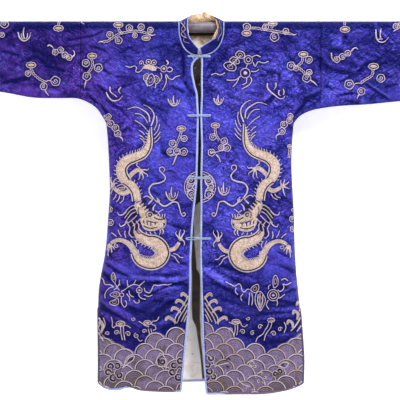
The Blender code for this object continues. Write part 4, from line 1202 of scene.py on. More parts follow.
class Needlework:
    """Collects cords and filled shapes, then makes them one piece that lies on the cloth."""

    def __init__(self, face):
        self.face = face
        self.level = 0.0  # how much higher cords lie, where there is something under them
        self.rings = []  # (points x profile x 2, heights, material, closed)

    def cord(self, points, width=2.6, height=1.25, material=CREAM, closed=False, taper=None, step=2.6):
        """A cord along a smooth line. taper gives its widths at both ends as shares."""
        line = smooth_line(points, step, closed)[:, :2]
        if closed:
            line = line[:-1]
        widths = np.full(len(line), float(width))
        if taper:
            widths *= np.interp(np.linspace(0, 1, len(line)), (0, 0.35, 1), (taper[0], 1.0, taper[1]))
        for piece, wide in self.inside(line, widths):
            whole = closed and len(piece) == len(line)
            left = sideways(piece, whole)
            grid = piece[:, None] + left[:, None] * (PROFILE_ACROSS[None, :, None] * wide[:, None, None])
            lifts = PROFILE_UP[None] * height * (wide / width)[:, None] ** 0.5
            lifts = np.where(lifts > 0, lifts + self.level, lifts)
            self.rings.append((grid, lifts, material, whole))

    def inside(self, line, widths):
        """The stretches of a line that are on the cloth."""
        fine = on_cloth(line[:, 0], line[:, 1], self.face)
        if fine.all():
            return [(line, widths)]
        runs, start = [], None
        for k, good in enumerate(list(fine) + [False]):
            if good and start is None:
                start = k
            if not good and start is not None:
                if k - start >= 3:
                    runs.append((line[start:k], widths[start:k]))
                start = None
        return runs

    def fill(self, rows, material=BEIGE, height=1.8, across=8):
        """A low dome along a line of (x, drop, half width)."""
        line = smooth_line(rows, 3.0)
        left = sideways(line)
        shares = np.linspace(-1, 1, across)
        grid = line[:, None, :2] + left[:, None] * (shares[None, :, None] * line[:, 2][:, None, None])
        dome = np.sqrt(np.clip(1 - shares**2, 0, 1))
        ends = np.clip(np.minimum(np.arange(len(line)), np.arange(len(line))[::-1]) / 2.0, 0.15, 1)
        lifts = height * dome[None] * ends[:, None] - 0.2
        keep = on_cloth(line[:, 0], line[:, 1], self.face, 1.0)
        if keep.sum() >= 3:
            self.rings.append((grid[keep], lifts[keep], material, False))

    def patch(self, grid, lifts, material):
        """A ready-made sheet of points and their heights."""
        self.rings.append((grid, lifts, material, False))

    def sew(self, name, materials):
        """Lays everything on the cloth and makes one piece of it."""
        flat = np.concatenate([grid.reshape(-1, 2) for grid, _, _, _ in self.rings])
        lift = np.concatenate([np.asarray(lifts, float).ravel() for _, lifts, _, _ in self.rings])
        points = cloth_points(flat[:, 0], flat[:, 1], self.face, lift)
        faces, uvs, kinds, first = [], [], [], 0
        for grid, _, material, whole in self.rings:
            n, m = grid.shape[:2]
            index = first + np.arange(n * m).reshape(n, m)
            first += n * m
            length = summed(np.hypot(*np.diff(grid.mean(1), axis=0).T)) * MM
            if whole:
                length = np.append(length, length[-1] + FULL_TURN)
            around = np.linspace(0, 1, m)
            quads, cut = wrapped_faces(index, length, around, np.append(around[1:], 1.0), whole)
            added = [(quads[:, OTHER_WAY], cut[:, OTHER_WAY])]
            if not whole:
                caps = (end_cap(index[0]), end_cap(index[-1])[:, ::-1])
                added += [(cap, np.full((len(cap), 4, 2), 0.5)) for cap in caps]
            for quads, cut in added:
                faces.append(quads)
                uvs.append(cut)
                kinds.append(np.full(len(quads), material))
        faces, uvs, kinds = np.concatenate(faces), np.concatenate(uvs), np.concatenate(kinds)
        if self.face < 0:  # the front is seen from the other side
            faces, uvs = faces[:, ::-1], uvs[:, ::-1]
        piece = mesh_object(name, points, faces, uvs, materials[0])
        give_materials(piece, materials, kinds)
        finish_piece(piece, "satin")
        print(name, len(faces) * 2, "triangles")
        return piece


# %% [markdown]
# The cord is cream silk over a core, twisted, with a little gilt left in places. The fill of the dragons is
# the same cord laid in rows and has a mottled beige look. Grey-mauve cord fills the waves. A dark brown one
# marks eyes and buds. One node group gives the twist, so each cord differs only in its colours.

# %% Cord materials


def build_twist_group():
    """The twist of a cord along its own UV map, which holds metres along it and a share around it."""
    group = bpy.data.node_groups.new("cord_twist", "ShaderNodeTree")
    for name, value in (("Turns", 420.0), ("Slant", 0.0045)):
        socket = group.interface.new_socket(name, in_out="INPUT", socket_type="NodeSocketFloat")
        socket.default_value = value
    for name in ("Groove", "Wear"):
        group.interface.new_socket(name, in_out="OUTPUT", socket_type="NodeSocketFloat")
    given = group.nodes.new("NodeGroupInput")
    place = add_node(group, "ShaderNodeTexCoord")
    parts = separated(group, place.outputs["UV"])
    slanted = add_node(group, "ShaderNodeMath", operation="MULTIPLY_ADD")
    group.links.new(parts["Y"], slanted.inputs[0])
    group.links.new(given.outputs["Slant"], slanted.inputs[1])
    group.links.new(parts["X"], slanted.inputs[2])
    turned = combined(group, "MULTIPLY", slanted.outputs[0], given.outputs["Turns"])
    wave = combined(group, "PINGPONG", turned, 0.5)
    worn = placed_noise(group, place.outputs["Object"], 45.0, 3.0, 0.6)
    out = group.nodes.new("NodeGroupOutput")
    group.links.new(reached(group, wave, 0.0, 0.42), out.inputs["Groove"])
    group.links.new(reached(group, worn, 0.38, 0.66), out.inputs["Wear"])
    return group


TWIST = build_twist_group()


def build_cord(name, fresh, worn, groove_shade, roughness=0.5, metallic=0.0, turns=420.0, sheen=0.2, specular=0.5):
    """A twisted cord: its colour where fresh and where worn, with a darker colour in the twist's grooves as
    painted shade.
    """
    made, tree, shader = start_material(name, roughness, metallic, sheen, specular)
    twist = add_node(tree, "ShaderNodeGroup")
    twist.node_tree = TWIST
    twist.inputs["Turns"].default_value = turns
    colour = mixed(tree, twist.outputs["Wear"], fresh, worn)
    # painted shade in the twist's grooves
    colour = mixed(tree, twist.outputs["Groove"], groove_shade, colour)
    tree.links.new(colour, shader.inputs["Base Color"])
    bumped(tree, twist.outputs["Groove"], 0.0004, 0.6, shader)
    return made


def build_fill(name, pale, tan, groove_shade, mottle=110.0, stain=None):
    """Rows of cord side by side: a net of fine lines of painted shade across the shape, mottled, with broad
    stains where asked.
    """
    made, tree, shader = start_material(name, 0.55, sheen=0.2)
    place = add_node(tree, "ShaderNodeTexCoord").outputs["Object"]
    mottled = placed_noise(tree, place, mottle, 2.0, 0.7)
    colour = mixed(tree, reached(tree, mottled, 0.42, 0.66), pale, tan)
    scales = add_node(tree, "ShaderNodeTexVoronoi", {"Scale": 190.0}, feature="DISTANCE_TO_EDGE")
    tree.links.new(place, scales.inputs["Vector"])
    net = reached(tree, scales.outputs["Distance"], 0.02, 0.16)
    # painted shade in the net's grooves
    colour = mixed(tree, net, groove_shade, colour)
    if stain:
        old = placed_noise(tree, place, 11.0, 3.0, 0.6)
        low = combined(tree, "MULTIPLY", reached(tree, separated(tree, place)["Z"], -1.06, -1.16), 0.16)
        worn = reached(tree, combined(tree, "ADD", old, low), 0.53, 0.63)
        colour = mixed(tree, combined(tree, "MULTIPLY", worn, 0.85), colour, stain)
    tree.links.new(colour, shader.inputs["Base Color"])
    bumped(tree, net, 0.0006, 0.5, shader)
    return made


CORDS = [
    build_cord("cream_cord", (0.80, 0.70, 0.72), (0.62, 0.49, 0.46), (0.32, 0.22, 0.34)),
    build_fill("beige_couching", (0.74, 0.60, 0.54), (0.42, 0.29, 0.16), (0.40, 0.27, 0.22)),
    build_fill(
        "grey_couching", (0.27, 0.19, 0.38), (0.16, 0.11, 0.17), (0.07, 0.045, 0.12),
        mottle=60.0, stain=(0.075, 0.045, 0.042),
    ),
    build_cord(
        "dark_cord", (0.010, 0.006, 0.030), (0.02, 0.012, 0.03), (0.004, 0.003, 0.012),
        roughness=0.6, sheen=0.0, specular=0.2,
    ),
    build_cord("tan_cord", (0.66, 0.50, 0.36), (0.54, 0.40, 0.27), (0.28, 0.19, 0.14)),
    build_cord("lilac_cord", (0.34, 0.27, 0.46), (0.26, 0.19, 0.32), (0.12, 0.08, 0.20)),
]
print("cords:", [cord.name for cord in CORDS])

# %% [markdown]
# Every picture below is a list of strokes on the squared paper. A stroke is its kind and then its points:
# pairs of column and row, or triples that end in a half width in millimetres for a filled strip. Round parts
# have one column and row, then a size in squares, a direction in degrees and a number of turns where they
# need them. A cloud is a beaded stem with a filled cap and tight swirls. A flame is a base with a tall thorn
# and two short ones. The treasures are a gourd with petals, a coin with leaves and knotted ribbons. An
# embroiderer pricks such a drawing through paper and chalks it on the cloth. Left and right are as they are
# seen from the front.

# %% Clouds and flames
CLOUDS_LEFT = (
    ("cap", 118, 24.4, 4.8), ("stem", 118, 27, 119, 30, 122.6, 33.4),
    ("stem", 103, 41.6, 108, 40.4, 113, 37, 119, 33.6, 126, 31.8, 134, 30.6, 141, 31.4, 147, 33),
    ("cap", 146, 37.4, 4.4), ("swirl", 109.6, 34.4, 3.4, 40), ("swirl", 118.4, 40, 3.6, 100),
    ("swirl", 129, 27.6, 3.4, 200), ("swirl", 141, 26.6, 3.4, 160), ("swirl", 134.6, 35, 2.6, 60),
    ("swirl", 150.4, 29.6, 3, 220), ("wide", 147, 33, 151.6, 35, 155.6, 34),
    ("wide", 103, 41.6, 100, 41.4, 97.6, 42.6), ("cap", 92, 55.8, 4.8),
    ("stem", 91.4, 58.6, 92.4, 63.6, 90.6, 69, 87.6, 73), ("swirl", 85.6, 62.8, 3.8, 340),
    ("swirl", 98, 67.6, 4.2, 190), ("swirl", 86.6, 76, 4.2, 20), ("wide", 86, 80, 84.8, 84, 84.2, 88),
    ("cap", 30.6, 64.6, 5), ("stem", 30.2, 67.6, 33.2, 73.4, 38.6, 78.4, 44.6, 81.6),
    ("swirl", 27.6, 73.2, 2.9, 20), ("swirl", 55, 80.6, 4.8, 180), ("swirl", 43, 86, 3.6, 60),
    ("cord", 44.6, 81.6, 48, 80, 51, 81), ("wide", 44, 89, 46, 92.6, 48.2, 95),
    ("wide", 47.2, 46, 48.8, 44.6, 51, 45.8, 53.6, 48.6), ("swirl", 55, 52, 3, 70),
    ("swirl", 60.2, 49.8, 3.1, 250), ("swirl", 64.6, 54.6, 3.1, 200), ("swirl", 69, 57.2, 3, 100),
    ("wide", 71, 57.4, 74, 54.4, 73.8, 51, 72.6, 49.8), ("stem", 58.6, 13.6, 59, 18, 58.2, 24.6),
    ("cap", 58.2, 28, 5), ("cord", 82.6, 19.6, 81.4, 22, 83.6, 23.6), ("swirl", 4, 23.6, 4.2, 20),
    ("swirl", 1.6, 34.4, 2.6, 20), ("cap", 181.4, 128.6, 4.6),
    ("stem", 181.4, 131.4, 179.6, 136.6, 177.4, 142, 175, 147.6), ("swirl", 184, 138.4, 3.2, 170),
    ("swirl", 172.6, 143.6, 3.6, 20), ("swirl", 183.6, 151.6, 3.8, 200), ("swirl", 170.4, 151.6, 3.6, 60),
    ("swirl", 176.6, 151, 3.2, 330), ("cord", 170, 156, 175, 154.6, 180, 154),
    ("wide", 176.6, 155, 174.6, 160, 172.6, 165), ("wide", 103.6, 114.6, 103.6, 118, 107.4, 120.4),
    ("swirl", 108.2, 116.4, 2.9, 200), ("swirl", 110.4, 123.4, 3.6, 70), ("swirl", 115.4, 127.8, 3.6, 40),
    ("swirl", 117.4, 133.6, 3.4, 200), ("wide", 119, 136.4, 121.8, 138.6, 122.8, 141.6),
    ("cap", 106.4, 200, 3.2), ("stem", 106, 202.6, 106.6, 209, 105.4, 217, 107, 226),
    ("swirl", 109.4, 209.4, 2.9, 180), ("swirl", 104.4, 216, 2.6, 0), ("swirl", 110.4, 222.4, 3.2, 170),
    ("swirl", 104.6, 231, 2.8, 20),
)
CLOUDS_RIGHT = (
    ("cap", 246.6, 33, 4.8), ("swirl", 246.8, 26.4, 3.8, 200),
    ("stem", 249.6, 27.6, 257, 27.8, 264, 29, 270.6, 30, 280, 31.6, 291, 33.4), ("cap", 272.8, 23, 4.6),
    ("stem", 272.8, 25.6, 271.4, 28), ("swirl", 265.6, 26.6, 3.2, 40), ("swirl", 274.6, 36.6, 4.6, 90),
    ("swirl", 286, 31, 3.2, 160), ("wide", 291, 33.4, 294, 34.4, 297, 33.4), ("cap", 303.4, 54, 4.8),
    ("stem", 303, 56.6, 302, 62, 297.6, 66), ("swirl", 309.2, 59.4, 3.6, 190),
    ("swirl", 291.4, 65.6, 4.2, 340), ("swirl", 296.4, 68, 2.8, 20),
    ("stem", 299, 67.4, 303.4, 71.4, 306.4, 74.6), ("swirl", 309.4, 71.8, 3, 190),
    ("swirl", 306.8, 78, 4.2, 20), ("wide", 310.4, 79.6, 313.6, 82, 317.4, 85.4), ("cap", 374, 66, 5.2),
    ("stem", 373.8, 69, 372.4, 75, 366.4, 79, 361, 82.8), ("swirl", 381.2, 77.8, 4.2, 190),
    ("swirl", 349.6, 84, 4.8, 340), ("swirl", 362, 91, 3.8, 60), ("cord", 361, 82.8, 357, 83, 354, 84.4),
    ("wide", 360, 93.4, 358.4, 96, 357.4, 98.6), ("wide", 331.6, 52.6, 332.4, 58.4, 335.4, 61.6),
    ("swirl", 337.2, 59, 3.1, 70), ("swirl", 342.6, 56.4, 3.1, 250), ("swirl", 348.2, 53, 3, 200),
    ("wide", 351.2, 51.4, 354.4, 48, 357, 47.4, 358.4, 49), ("stem", 345.2, 19, 345, 25),
    ("cap", 345.2, 29.2, 5), ("cap", 215.2, 125.4, 4.4), ("stem", 215, 128.4, 216, 134.6, 219.6, 140.6),
    ("swirl", 212.8, 137, 3.4, 20), ("swirl", 224.4, 141, 3.4, 190), ("swirl", 227, 147.4, 3.8, 200),
    ("swirl", 221.4, 148, 3.2, 60), ("swirl", 211.6, 152.4, 3.6, 340),
    ("cord", 211, 153, 218, 151.6, 224, 149), ("wide", 216, 154.4, 219.4, 158.4, 220.2, 162.4),
    ("swirl", 290.6, 115.8, 2.7, 200), ("swirl", 289.8, 120.4, 3, 20), ("swirl", 284, 124.4, 3.6, 70),
    ("swirl", 282, 131, 3.6, 200), ("wide", 280, 133.6, 276.4, 136, 276.6, 139.4),
    ("cap", 290.6, 146.4, 3.2), ("stem", 290, 149, 289, 158), ("cap", 294.6, 210, 3),
    ("stem", 295, 212.6, 296, 222, 294.4, 232), ("swirl", 292.6, 219, 3, 20), ("swirl", 293, 229, 3, 340),
)
LOOSE_FLAMES_LEFT = (
    ("wide", 109.8, 86.6, 110.4, 91.6, 114.4, 94.6), ("wide", 120.6, 87, 118.4, 90.4, 120.4, 93.6),
    ("wide", 106, 92, 108.6, 97.6, 113, 100.6, 118.4, 99.6, 122.6, 95.6), ("cord", 114.4, 94.6, 117, 97),
    ("dark", 112, 97, 115.6, 98.4),
)
LOOSE_FLAMES_RIGHT = (
    ("wide", 267.6, 83, 267.4, 87.4, 270.4, 91.2, 275, 95, 280, 98.4, 283.6, 98, 284.6, 96),
    ("wide", 276, 82.6, 275.8, 86.6, 273.6, 89.8), ("wide", 279.2, 90.2, 278.6, 94, 281.2, 95.6),
    ("thorn", 283, 88.6, 284.2, 92, 283.4, 94.6), ("dark", 271.4, 89, 275, 92.6),
    ("wide", 376.4, 29, 377, 38, 380.4, 41.6, 385, 41.4, 389, 36.6),
    ("thorn", 381.6, 28, 380.6, 33, 381, 37.6), ("cord", 377.6, 39, 383, 38.6), ("swirl", 397, 26, 3.4, 20),
    ("cord", 400, 22, 397, 29, 393.6, 31),
)
# a flame's strokes, as shares of its half width and its height from its foot
FLAME = (
    ("wide", -0.98, -0.62, -0.72, -0.2, -0.1, 0.06, 0.62, -0.12, 1.0, -0.64),
    ("thorn", -0.04, -1.0, -0.16, -0.55, 0.02, -0.1),
    ("cord", -0.48, -0.52, -0.42, -0.24, -0.16, -0.08), ("cord", 0.5, -0.54, 0.44, -0.26, 0.2, -0.1),
)
# column, row, half width, height
FLAME_PLACES_LEFT = ((24, 40, 6.6, 13), (174, 105, 6.2, 10), (172, 199.6, 6.4, 13))
FLAME_PLACES_RIGHT = ((218.6, 103.8, 5, 9.6), (224, 194.4, 6, 12.6))


def flames(places):
    """The strokes of one flame after another."""
    strokes = []
    for column_at, row_at, across, up in places:
        for kind, *shares in FLAME:
            points = np.array(shares).reshape(-1, 2) * (across, up) + (column_at, row_at)
            strokes.append((kind, *points.ravel()))
    return strokes


FLAMES_LEFT = (*flames(FLAME_PLACES_LEFT), *LOOSE_FLAMES_LEFT)
FLAMES_RIGHT = (*flames(FLAME_PLACES_RIGHT), *LOOSE_FLAMES_RIGHT)
print("flames:", len(FLAME_PLACES_LEFT) + len(FLAME_PLACES_RIGHT))

# %% Treasures, sprigs and the round badge
GOURD = (
    ("cord", 125, 65.8, 130, 66.9, 134.7, 65.8, 136.5, 68, 135.3, 71, 138.2, 72, 141, 70.4, 142.2, 68.6),
    ("pod", 142.2, 68, 0.8, 145.4, 66.8, 4.6, 149.4, 67, 6.4, 153, 68.2, 7, 156.4, 69.2, 2.6),
    ("ring", 148.5, 61.5, 2.6), ("ring", 153.8, 62.3, 2.4), ("dot", 148.5, 61.5, 1.1),
    ("dot", 153.8, 62.3, 1), ("loop", 147.4, 73.2, 143.9, 75.5, 143.5, 79, 145.8, 80.4, 148, 77),
    ("loop", 151.4, 73.6, 147, 79, 147.4, 84.6, 151, 85, 153.7, 81.4, 153.6, 76),
    ("loop", 154.6, 75.4, 158.2, 76.6, 159, 81.4, 155.8, 83.6, 154, 79.6), ("cord", 145, 80.8, 147.6, 86.4),
    ("cord", 156, 83.4, 155, 88), ("cord", 156, 66.4, 158, 67.6, 160, 68), ("ring", 163.7, 68.6, 3.1),
    ("dot", 163.7, 68.6, 1.4), ("thorn", 166.3, 65, 168, 62.6, 166.3, 59.6),
    ("cord", 167, 68.2, 170, 67, 172.6, 69.2, 170, 71.6, 167, 70.6),
    ("cord", 166.4, 74, 169.2, 78.2, 172.6, 79, 175.4, 76.7, 180, 75),
    ("cord", 165.4, 74.6, 166.4, 79.6, 165.4, 84, 162.3, 90), ("cord", 160.6, 72.6, 161.6, 76.6, 160, 81),
    ("curl", 141, 62.6, 2.6, 330, 1.2), ("cord", 143.4, 64, 146.4, 65),
)
COIN = (
    ("ring", 248.3, 59.4, 4.2), ("ring", 248.3, 59.4, 2), ("ring", 245.3, 73, 4.8), ("dot", 245.3, 73, 2),
    ("cord", 247.6, 64, 246, 68), ("loop", 244, 52.6, 238.6, 50.8, 235.6, 54.6, 240, 57.8, 244.4, 57),
    ("loop", 238.6, 59.6, 233, 56.6, 229.6, 60.4, 234, 63.6, 239, 62.8),
    ("loop", 236, 66.4, 228.6, 61.6, 223.6, 64.4, 228, 69.6, 235, 70),
    ("cord", 241, 55, 235, 61, 229, 66.4),
    ("cord", 253, 62, 255.4, 66.4, 258.2, 61.6, 263.8, 62.8, 268.3, 61.4),
    ("cord", 251.6, 57, 256.6, 55, 261, 56.6),
    ("cord", 250, 76.6, 252, 79.4, 249.7, 84, 246, 86.6, 242, 88.8),
    ("cord", 247, 78, 246.4, 82.4, 242.4, 84.4), ("cord", 211, 74.6, 215.6, 73.2, 220, 74.8, 225, 72.4),
    ("cord", 240.6, 76, 236, 79.4, 231, 80, 226.6, 79.6), ("cord", 238.6, 78.4, 236, 83.6, 232.9, 86.6),
    ("cord", 251, 71, 255.6, 71.4, 259, 69),
)
TREASURE_ONE = (
    ("loop", 114.7, 282.7, 111.6, 279, 111.6, 275, 113, 272.6, 115.4, 276, 115.6, 281),
    ("cord", 99.8, 277, 103, 280, 104.8, 284.3, 110.3, 284.8, 114, 287),
    ("cord", 114.7, 283, 117, 286.6, 119.6, 290.4), ("cord", 119.4, 283.6, 117.4, 287, 114.2, 290.2),
    ("cord", 121, 291.4, 124, 290, 128.4, 287, 133.8, 284.3, 139.3, 286, 139, 288),
    ("cord", 128.4, 287, 127.6, 283.6, 127.3, 280), ("cord", 133.8, 284, 135, 281.6, 136.4, 279.4),
    ("cord", 139.3, 286, 142, 283.4, 144.8, 281), ("cord", 120, 285.4, 119.4, 282.6, 119.6, 279.6),
    ("ring", 139.3, 290.2, 2.8), ("dot", 139.3, 290.2, 1.2),
    ("cord", 144.3, 288, 145.2, 291, 149.8, 292.5, 152, 289, 154, 285.2, 158, 285.4, 163, 284.3, 168, 284.8,
     171.7, 283.5), ("ring", 121.8, 294.7, 2),
    ("cord", 121.6, 297, 121.6, 302.4, 124.6, 306.8, 127, 303.8, 125.4, 300),
    ("cord", 113, 286.6, 108.6, 288.6, 105.8, 292, 104.6, 295.4, 105.3, 298.4),
    ("loop", 118, 298.6, 113.4, 300, 109.4, 302.6, 113.6, 305, 118, 304),
    ("loop", 119, 292.6, 114, 292, 110, 294.6, 114.4, 297, 119, 296),
    ("cord", 129, 290.6, 130, 294.6, 133.6, 297),
    ("cord", 138.8, 293.6, 139.6, 296.6, 142.6, 298.6, 146, 299),
    ("cord", 133.8, 300, 136.4, 303, 139.4, 301.8, 138.6, 299.4),
    ("cord", 126.6, 293.6, 129.8, 297.6, 129.6, 301), ("cord", 144, 294.6, 148.6, 296.4, 152.6, 294.6),
)
TREASURE_TWO = (
    ("cord", 225.2, 281.6, 231, 284.3, 234.8, 286, 239, 283.9, 240.8, 286, 242, 290, 244, 292, 247.4, 289,
     249.6, 289.8),
    ("loop", 250.7, 289.4, 253.6, 285.8, 257.8, 284.3, 258.6, 288.6, 255.7, 292.5, 251.8, 291.4),
    ("cord", 249.6, 292.6, 249, 298.6, 248.5, 304.6), ("cord", 251.6, 293, 252.4, 299, 251.6, 305),
    ("loop", 256.6, 293, 255, 301.3, 257.8, 308, 260, 310.6, 262.6, 307.3, 265.4, 299.7, 262.8, 294.2, 260,
     291.4), ("cord", 260, 292.4, 259.6, 301, 260, 309.6), ("cord", 258, 294, 257.4, 301, 259.4, 308),
    ("cord", 262.4, 294.6, 262.4, 301.6, 260.6, 308), ("ring", 273, 295, 5.6), ("ring", 273, 295, 3.4),
    ("dot", 273, 295, 1.4), ("cord", 268.3, 289, 268.4, 286.4, 270.4, 284.6),
    ("loop", 274, 288, 272.8, 283, 273.4, 277.6, 275.4, 275, 277.8, 279, 277.4, 285),
    ("cord", 277.4, 289.8, 280, 291.4, 283, 289, 283.6, 286, 282.5, 283.7, 285.8, 284.8, 291.3, 282.7),
    ("cord", 277.4, 298, 280, 297.4, 284.7, 294), ("cord", 276.4, 299.5, 277.6, 302.4, 276.6, 306),
    ("cord", 268, 300, 266.4, 304.6, 268.6, 309), ("cord", 243, 293.4, 240.6, 297, 242, 301),
    ("cord", 236, 287.6, 235.4, 291.6, 237.8, 294.4), ("cord", 281, 280, 284.6, 278.6, 287.8, 280.6),
)
SPRIGS_LEFT = (
    ("cord", 111.4, 316.7, 112.5, 322, 112.5, 327, 114.7, 328), ("cap", 120.6, 323.4, 4.6),
    ("cord", 113, 327.6, 116.6, 325.6, 121.8, 325.6, 127, 325.4, 131, 327.8),
    ("cord", 120.6, 326, 121, 333, 122.6, 340), ("cord", 123.4, 326, 123.8, 333, 125, 340),
    ("curl", 116.6, 332.6, 2.8, 340, 1.3), ("curl", 128, 333.8, 2.8, 180, -1.3),
    ("cord", 159, 316.7, 157, 320.5, 152.5, 321.4, 152, 324, 155, 325.4, 155.8, 328.7, 153, 330),
    ("cord", 138.8, 321, 141.5, 322.4, 145.4, 325.4, 149, 326.6), ("cap", 147.6, 322.6, 3.8),
    ("cord", 148.4, 328.4, 149.4, 333, 150.6, 337), ("cord", 151, 328.4, 152, 332.6, 152.6, 336),
    ("curl", 144.4, 331, 2.4, 340, 1.2), ("curl", 136.6, 335.4, 2.8, 100, 1.3),
    ("cord", 137.6, 338, 140, 341, 142.4, 340), ("cord", 103, 318, 105, 324, 103.4, 329),
    ("curl", 107.6, 333.6, 2.4, 200, -1.2), ("curl", 133.6, 318.4, 2.2, 160, 1.1),
)
SPRIGS_RIGHT = (
    ("cap", 236, 321.6, 4.2),
    ("cord", 228.6, 322, 232.6, 323.4, 236, 324, 240.4, 322, 241.4, 324.8, 244, 326.6, 247.4, 324.3),
    ("cord", 235, 324.6, 235, 330, 233.8, 335.6), ("cord", 237.6, 324.6, 237.4, 330, 236.6, 335),
    ("curl", 242.6, 331.6, 2.8, 180, -1.3), ("curl", 230, 329.6, 2.4, 350, 1.2),
    ("cord", 268.8, 321.7, 267.4, 326, 265, 330, 262.6, 334, 257.4, 337.6, 255.7, 342),
    ("cord", 272, 322.6, 270.6, 327, 267.4, 331.6, 265.4, 335.4, 264, 340.4),
    ("curl", 260, 326.6, 2.6, 20, 1.2), ("curl", 273.4, 333.4, 2.8, 180, -1.3),
    ("curl", 252.4, 333, 2.4, 60, 1.2), ("cap", 271, 319.6, 3.6), ("cord", 284, 322, 286, 327, 284, 333),
    ("curl", 280, 329, 2.4, 20, 1.2), ("curl", 248, 318, 2.2, 180, 1.1),
)
ROUNDEL = (
    ("ring", 200, 187, 15.6), ("ring", 200, 187, 13.2), ("swirl", 191.4, 179.6, 4.2, 60),
    ("swirl", 208.6, 179.6, 4.2, 120), ("swirl", 191.4, 194.4, 4.2, 300), ("swirl", 208.6, 194.4, 4.2, 240),
    ("swirl", 189.4, 187, 3, 0), ("swirl", 211, 187, 3, 180),
    ("wide", 196, 176, 195, 183, 192.6, 187, 195, 191, 196, 198),
    ("wide", 204.6, 176, 205.6, 183, 208, 187, 205.6, 191, 204.6, 198), ("cord", 186.4, 182, 189.6, 183.6),
    ("cord", 186.4, 192, 189.6, 190.4), ("cord", 214, 182, 211, 183.6), ("cord", 214, 192, 211, 190.4),
)

# %% The dragon: body strips, the fill of its head, then its lines, legs, claws and hair
DRAGON_BODY = (
    ("upper", 150.6, 127, 0.4, 149.6, 134, 4.4, 149.3, 141, 7, 147.6, 148.4, 9.6, 142.4, 154.2, 12.4, 134.4,
     157.6, 14, 126.4, 161, 15.4, 121.6, 167, 16, 121.8, 174.4, 15.6, 126, 181.6, 14.4),
    ("middle", 124.4, 181.6, 9, 130.4, 184.6, 12.6, 134.6, 190.4, 13, 136.4, 196, 12.6, 136.8, 201, 12.4),
    ("lower", 136, 230.4, 9, 139.6, 236, 13.4, 147.4, 240.4, 16, 155, 242, 18.4, 161, 246.6, 19, 163, 253.4,
     19, 159.8, 260, 18.6, 153.4, 263.4, 17.6, 146, 263.2, 16, 139.4, 260.4, 13.4, 135.6, 256.4, 10.4,
     133.6, 253, 7),
)
HEAD_FILL = (
    ("face", 137.2, 203, 11, 141, 209.4, 15, 146, 214.6, 16.5, 152, 217.6, 14, 158, 219.6, 11.5, 162, 220.8,
     9.5, 165.4, 222, 5),
    ("mouth", 140.6, 218, 7, 146, 224, 11, 152, 226, 11, 158, 225.4, 8, 163, 224.2, 4),
    ("jaw", 141.4, 222.6, 3, 145.4, 227.4, 4.4, 152, 229, 4.4, 158, 227.8, 3.6, 163.4, 225.6, 2),
)
DRAGON_HAIR = (
    ("white", 127.4, 223.4, 130, 228, 129, 233.4, 132.6, 238),
    ("black", 129.6, 222.4, 132.4, 227, 131.6, 232.4, 135, 236.6),
    ("white", 132, 221.4, 134.6, 226, 134, 231, 137.6, 235),
    ("black", 134.2, 221, 136.8, 225.4, 136.4, 230, 140, 234),
    ("white", 136.4, 221, 138.8, 225, 138.8, 229.4, 142.6, 233),
    ("cord", 131, 239.6, 133, 244, 131.4, 248.6, 134.4, 252.4),
    ("cord", 134.6, 240, 136.6, 243.6, 135.8, 247),
    ("wide", 150.8, 126, 153.4, 119, 153.7, 114, 150.8, 109, 145.6, 105.5, 143, 104.6),
    ("wide", 149.6, 122, 148, 114.5, 142, 109.4, 135.3, 107, 127.3, 109.2),
    ("cord", 147.4, 123, 144.5, 117.5, 139.9, 114, 134.7, 113.5),
    ("cord", 146.2, 129, 141.6, 124.4, 134.7, 120), ("cord", 144.5, 134.7, 141.5, 131.5, 138.6, 130),
    ("cord", 144.5, 139.3, 142, 136.6, 138.8, 135.2), ("cord", 144.8, 143.6, 142.8, 140.4, 140, 138.2),
    ("cord", 153.7, 130, 156.2, 125, 157, 121, 156.3, 116),
    ("cord", 153.9, 135.3, 157.6, 130.6, 159.6, 123.8), ("cord", 154, 139, 157.6, 135.6, 160.4, 131.6),
    ("cord", 154, 143, 157.2, 140.4, 160.2, 136.6),
    ("whisker", 153, 198.6, 149.6, 193.5, 149, 188.9, 152.5, 184.3, 159.4, 183, 164, 180.8, 165.2, 177.4,
     162.6, 173.4, 159.6, 170.6, 160, 167.6, 163, 167.2, 164.8, 170, 163, 172),
    ("whisker", 157, 199.8, 160.6, 204.4, 164.6, 206.4, 168.6, 204.4, 173.2, 202, 177.4, 203, 179.5, 207.8,
     180.8, 213.6, 183, 216.2, 185.2, 214.6, 184.3, 212.6, 182.4, 213.6),
)
RUFF_TUFTS = (
    ("wide", 126.4, 211.6, 122.6, 214.6, 118.8, 214.6, 117.6, 211.8),
    ("wide", 127.4, 221.4, 124.2, 225.2, 120.6, 226.4, 119, 223.6),
)
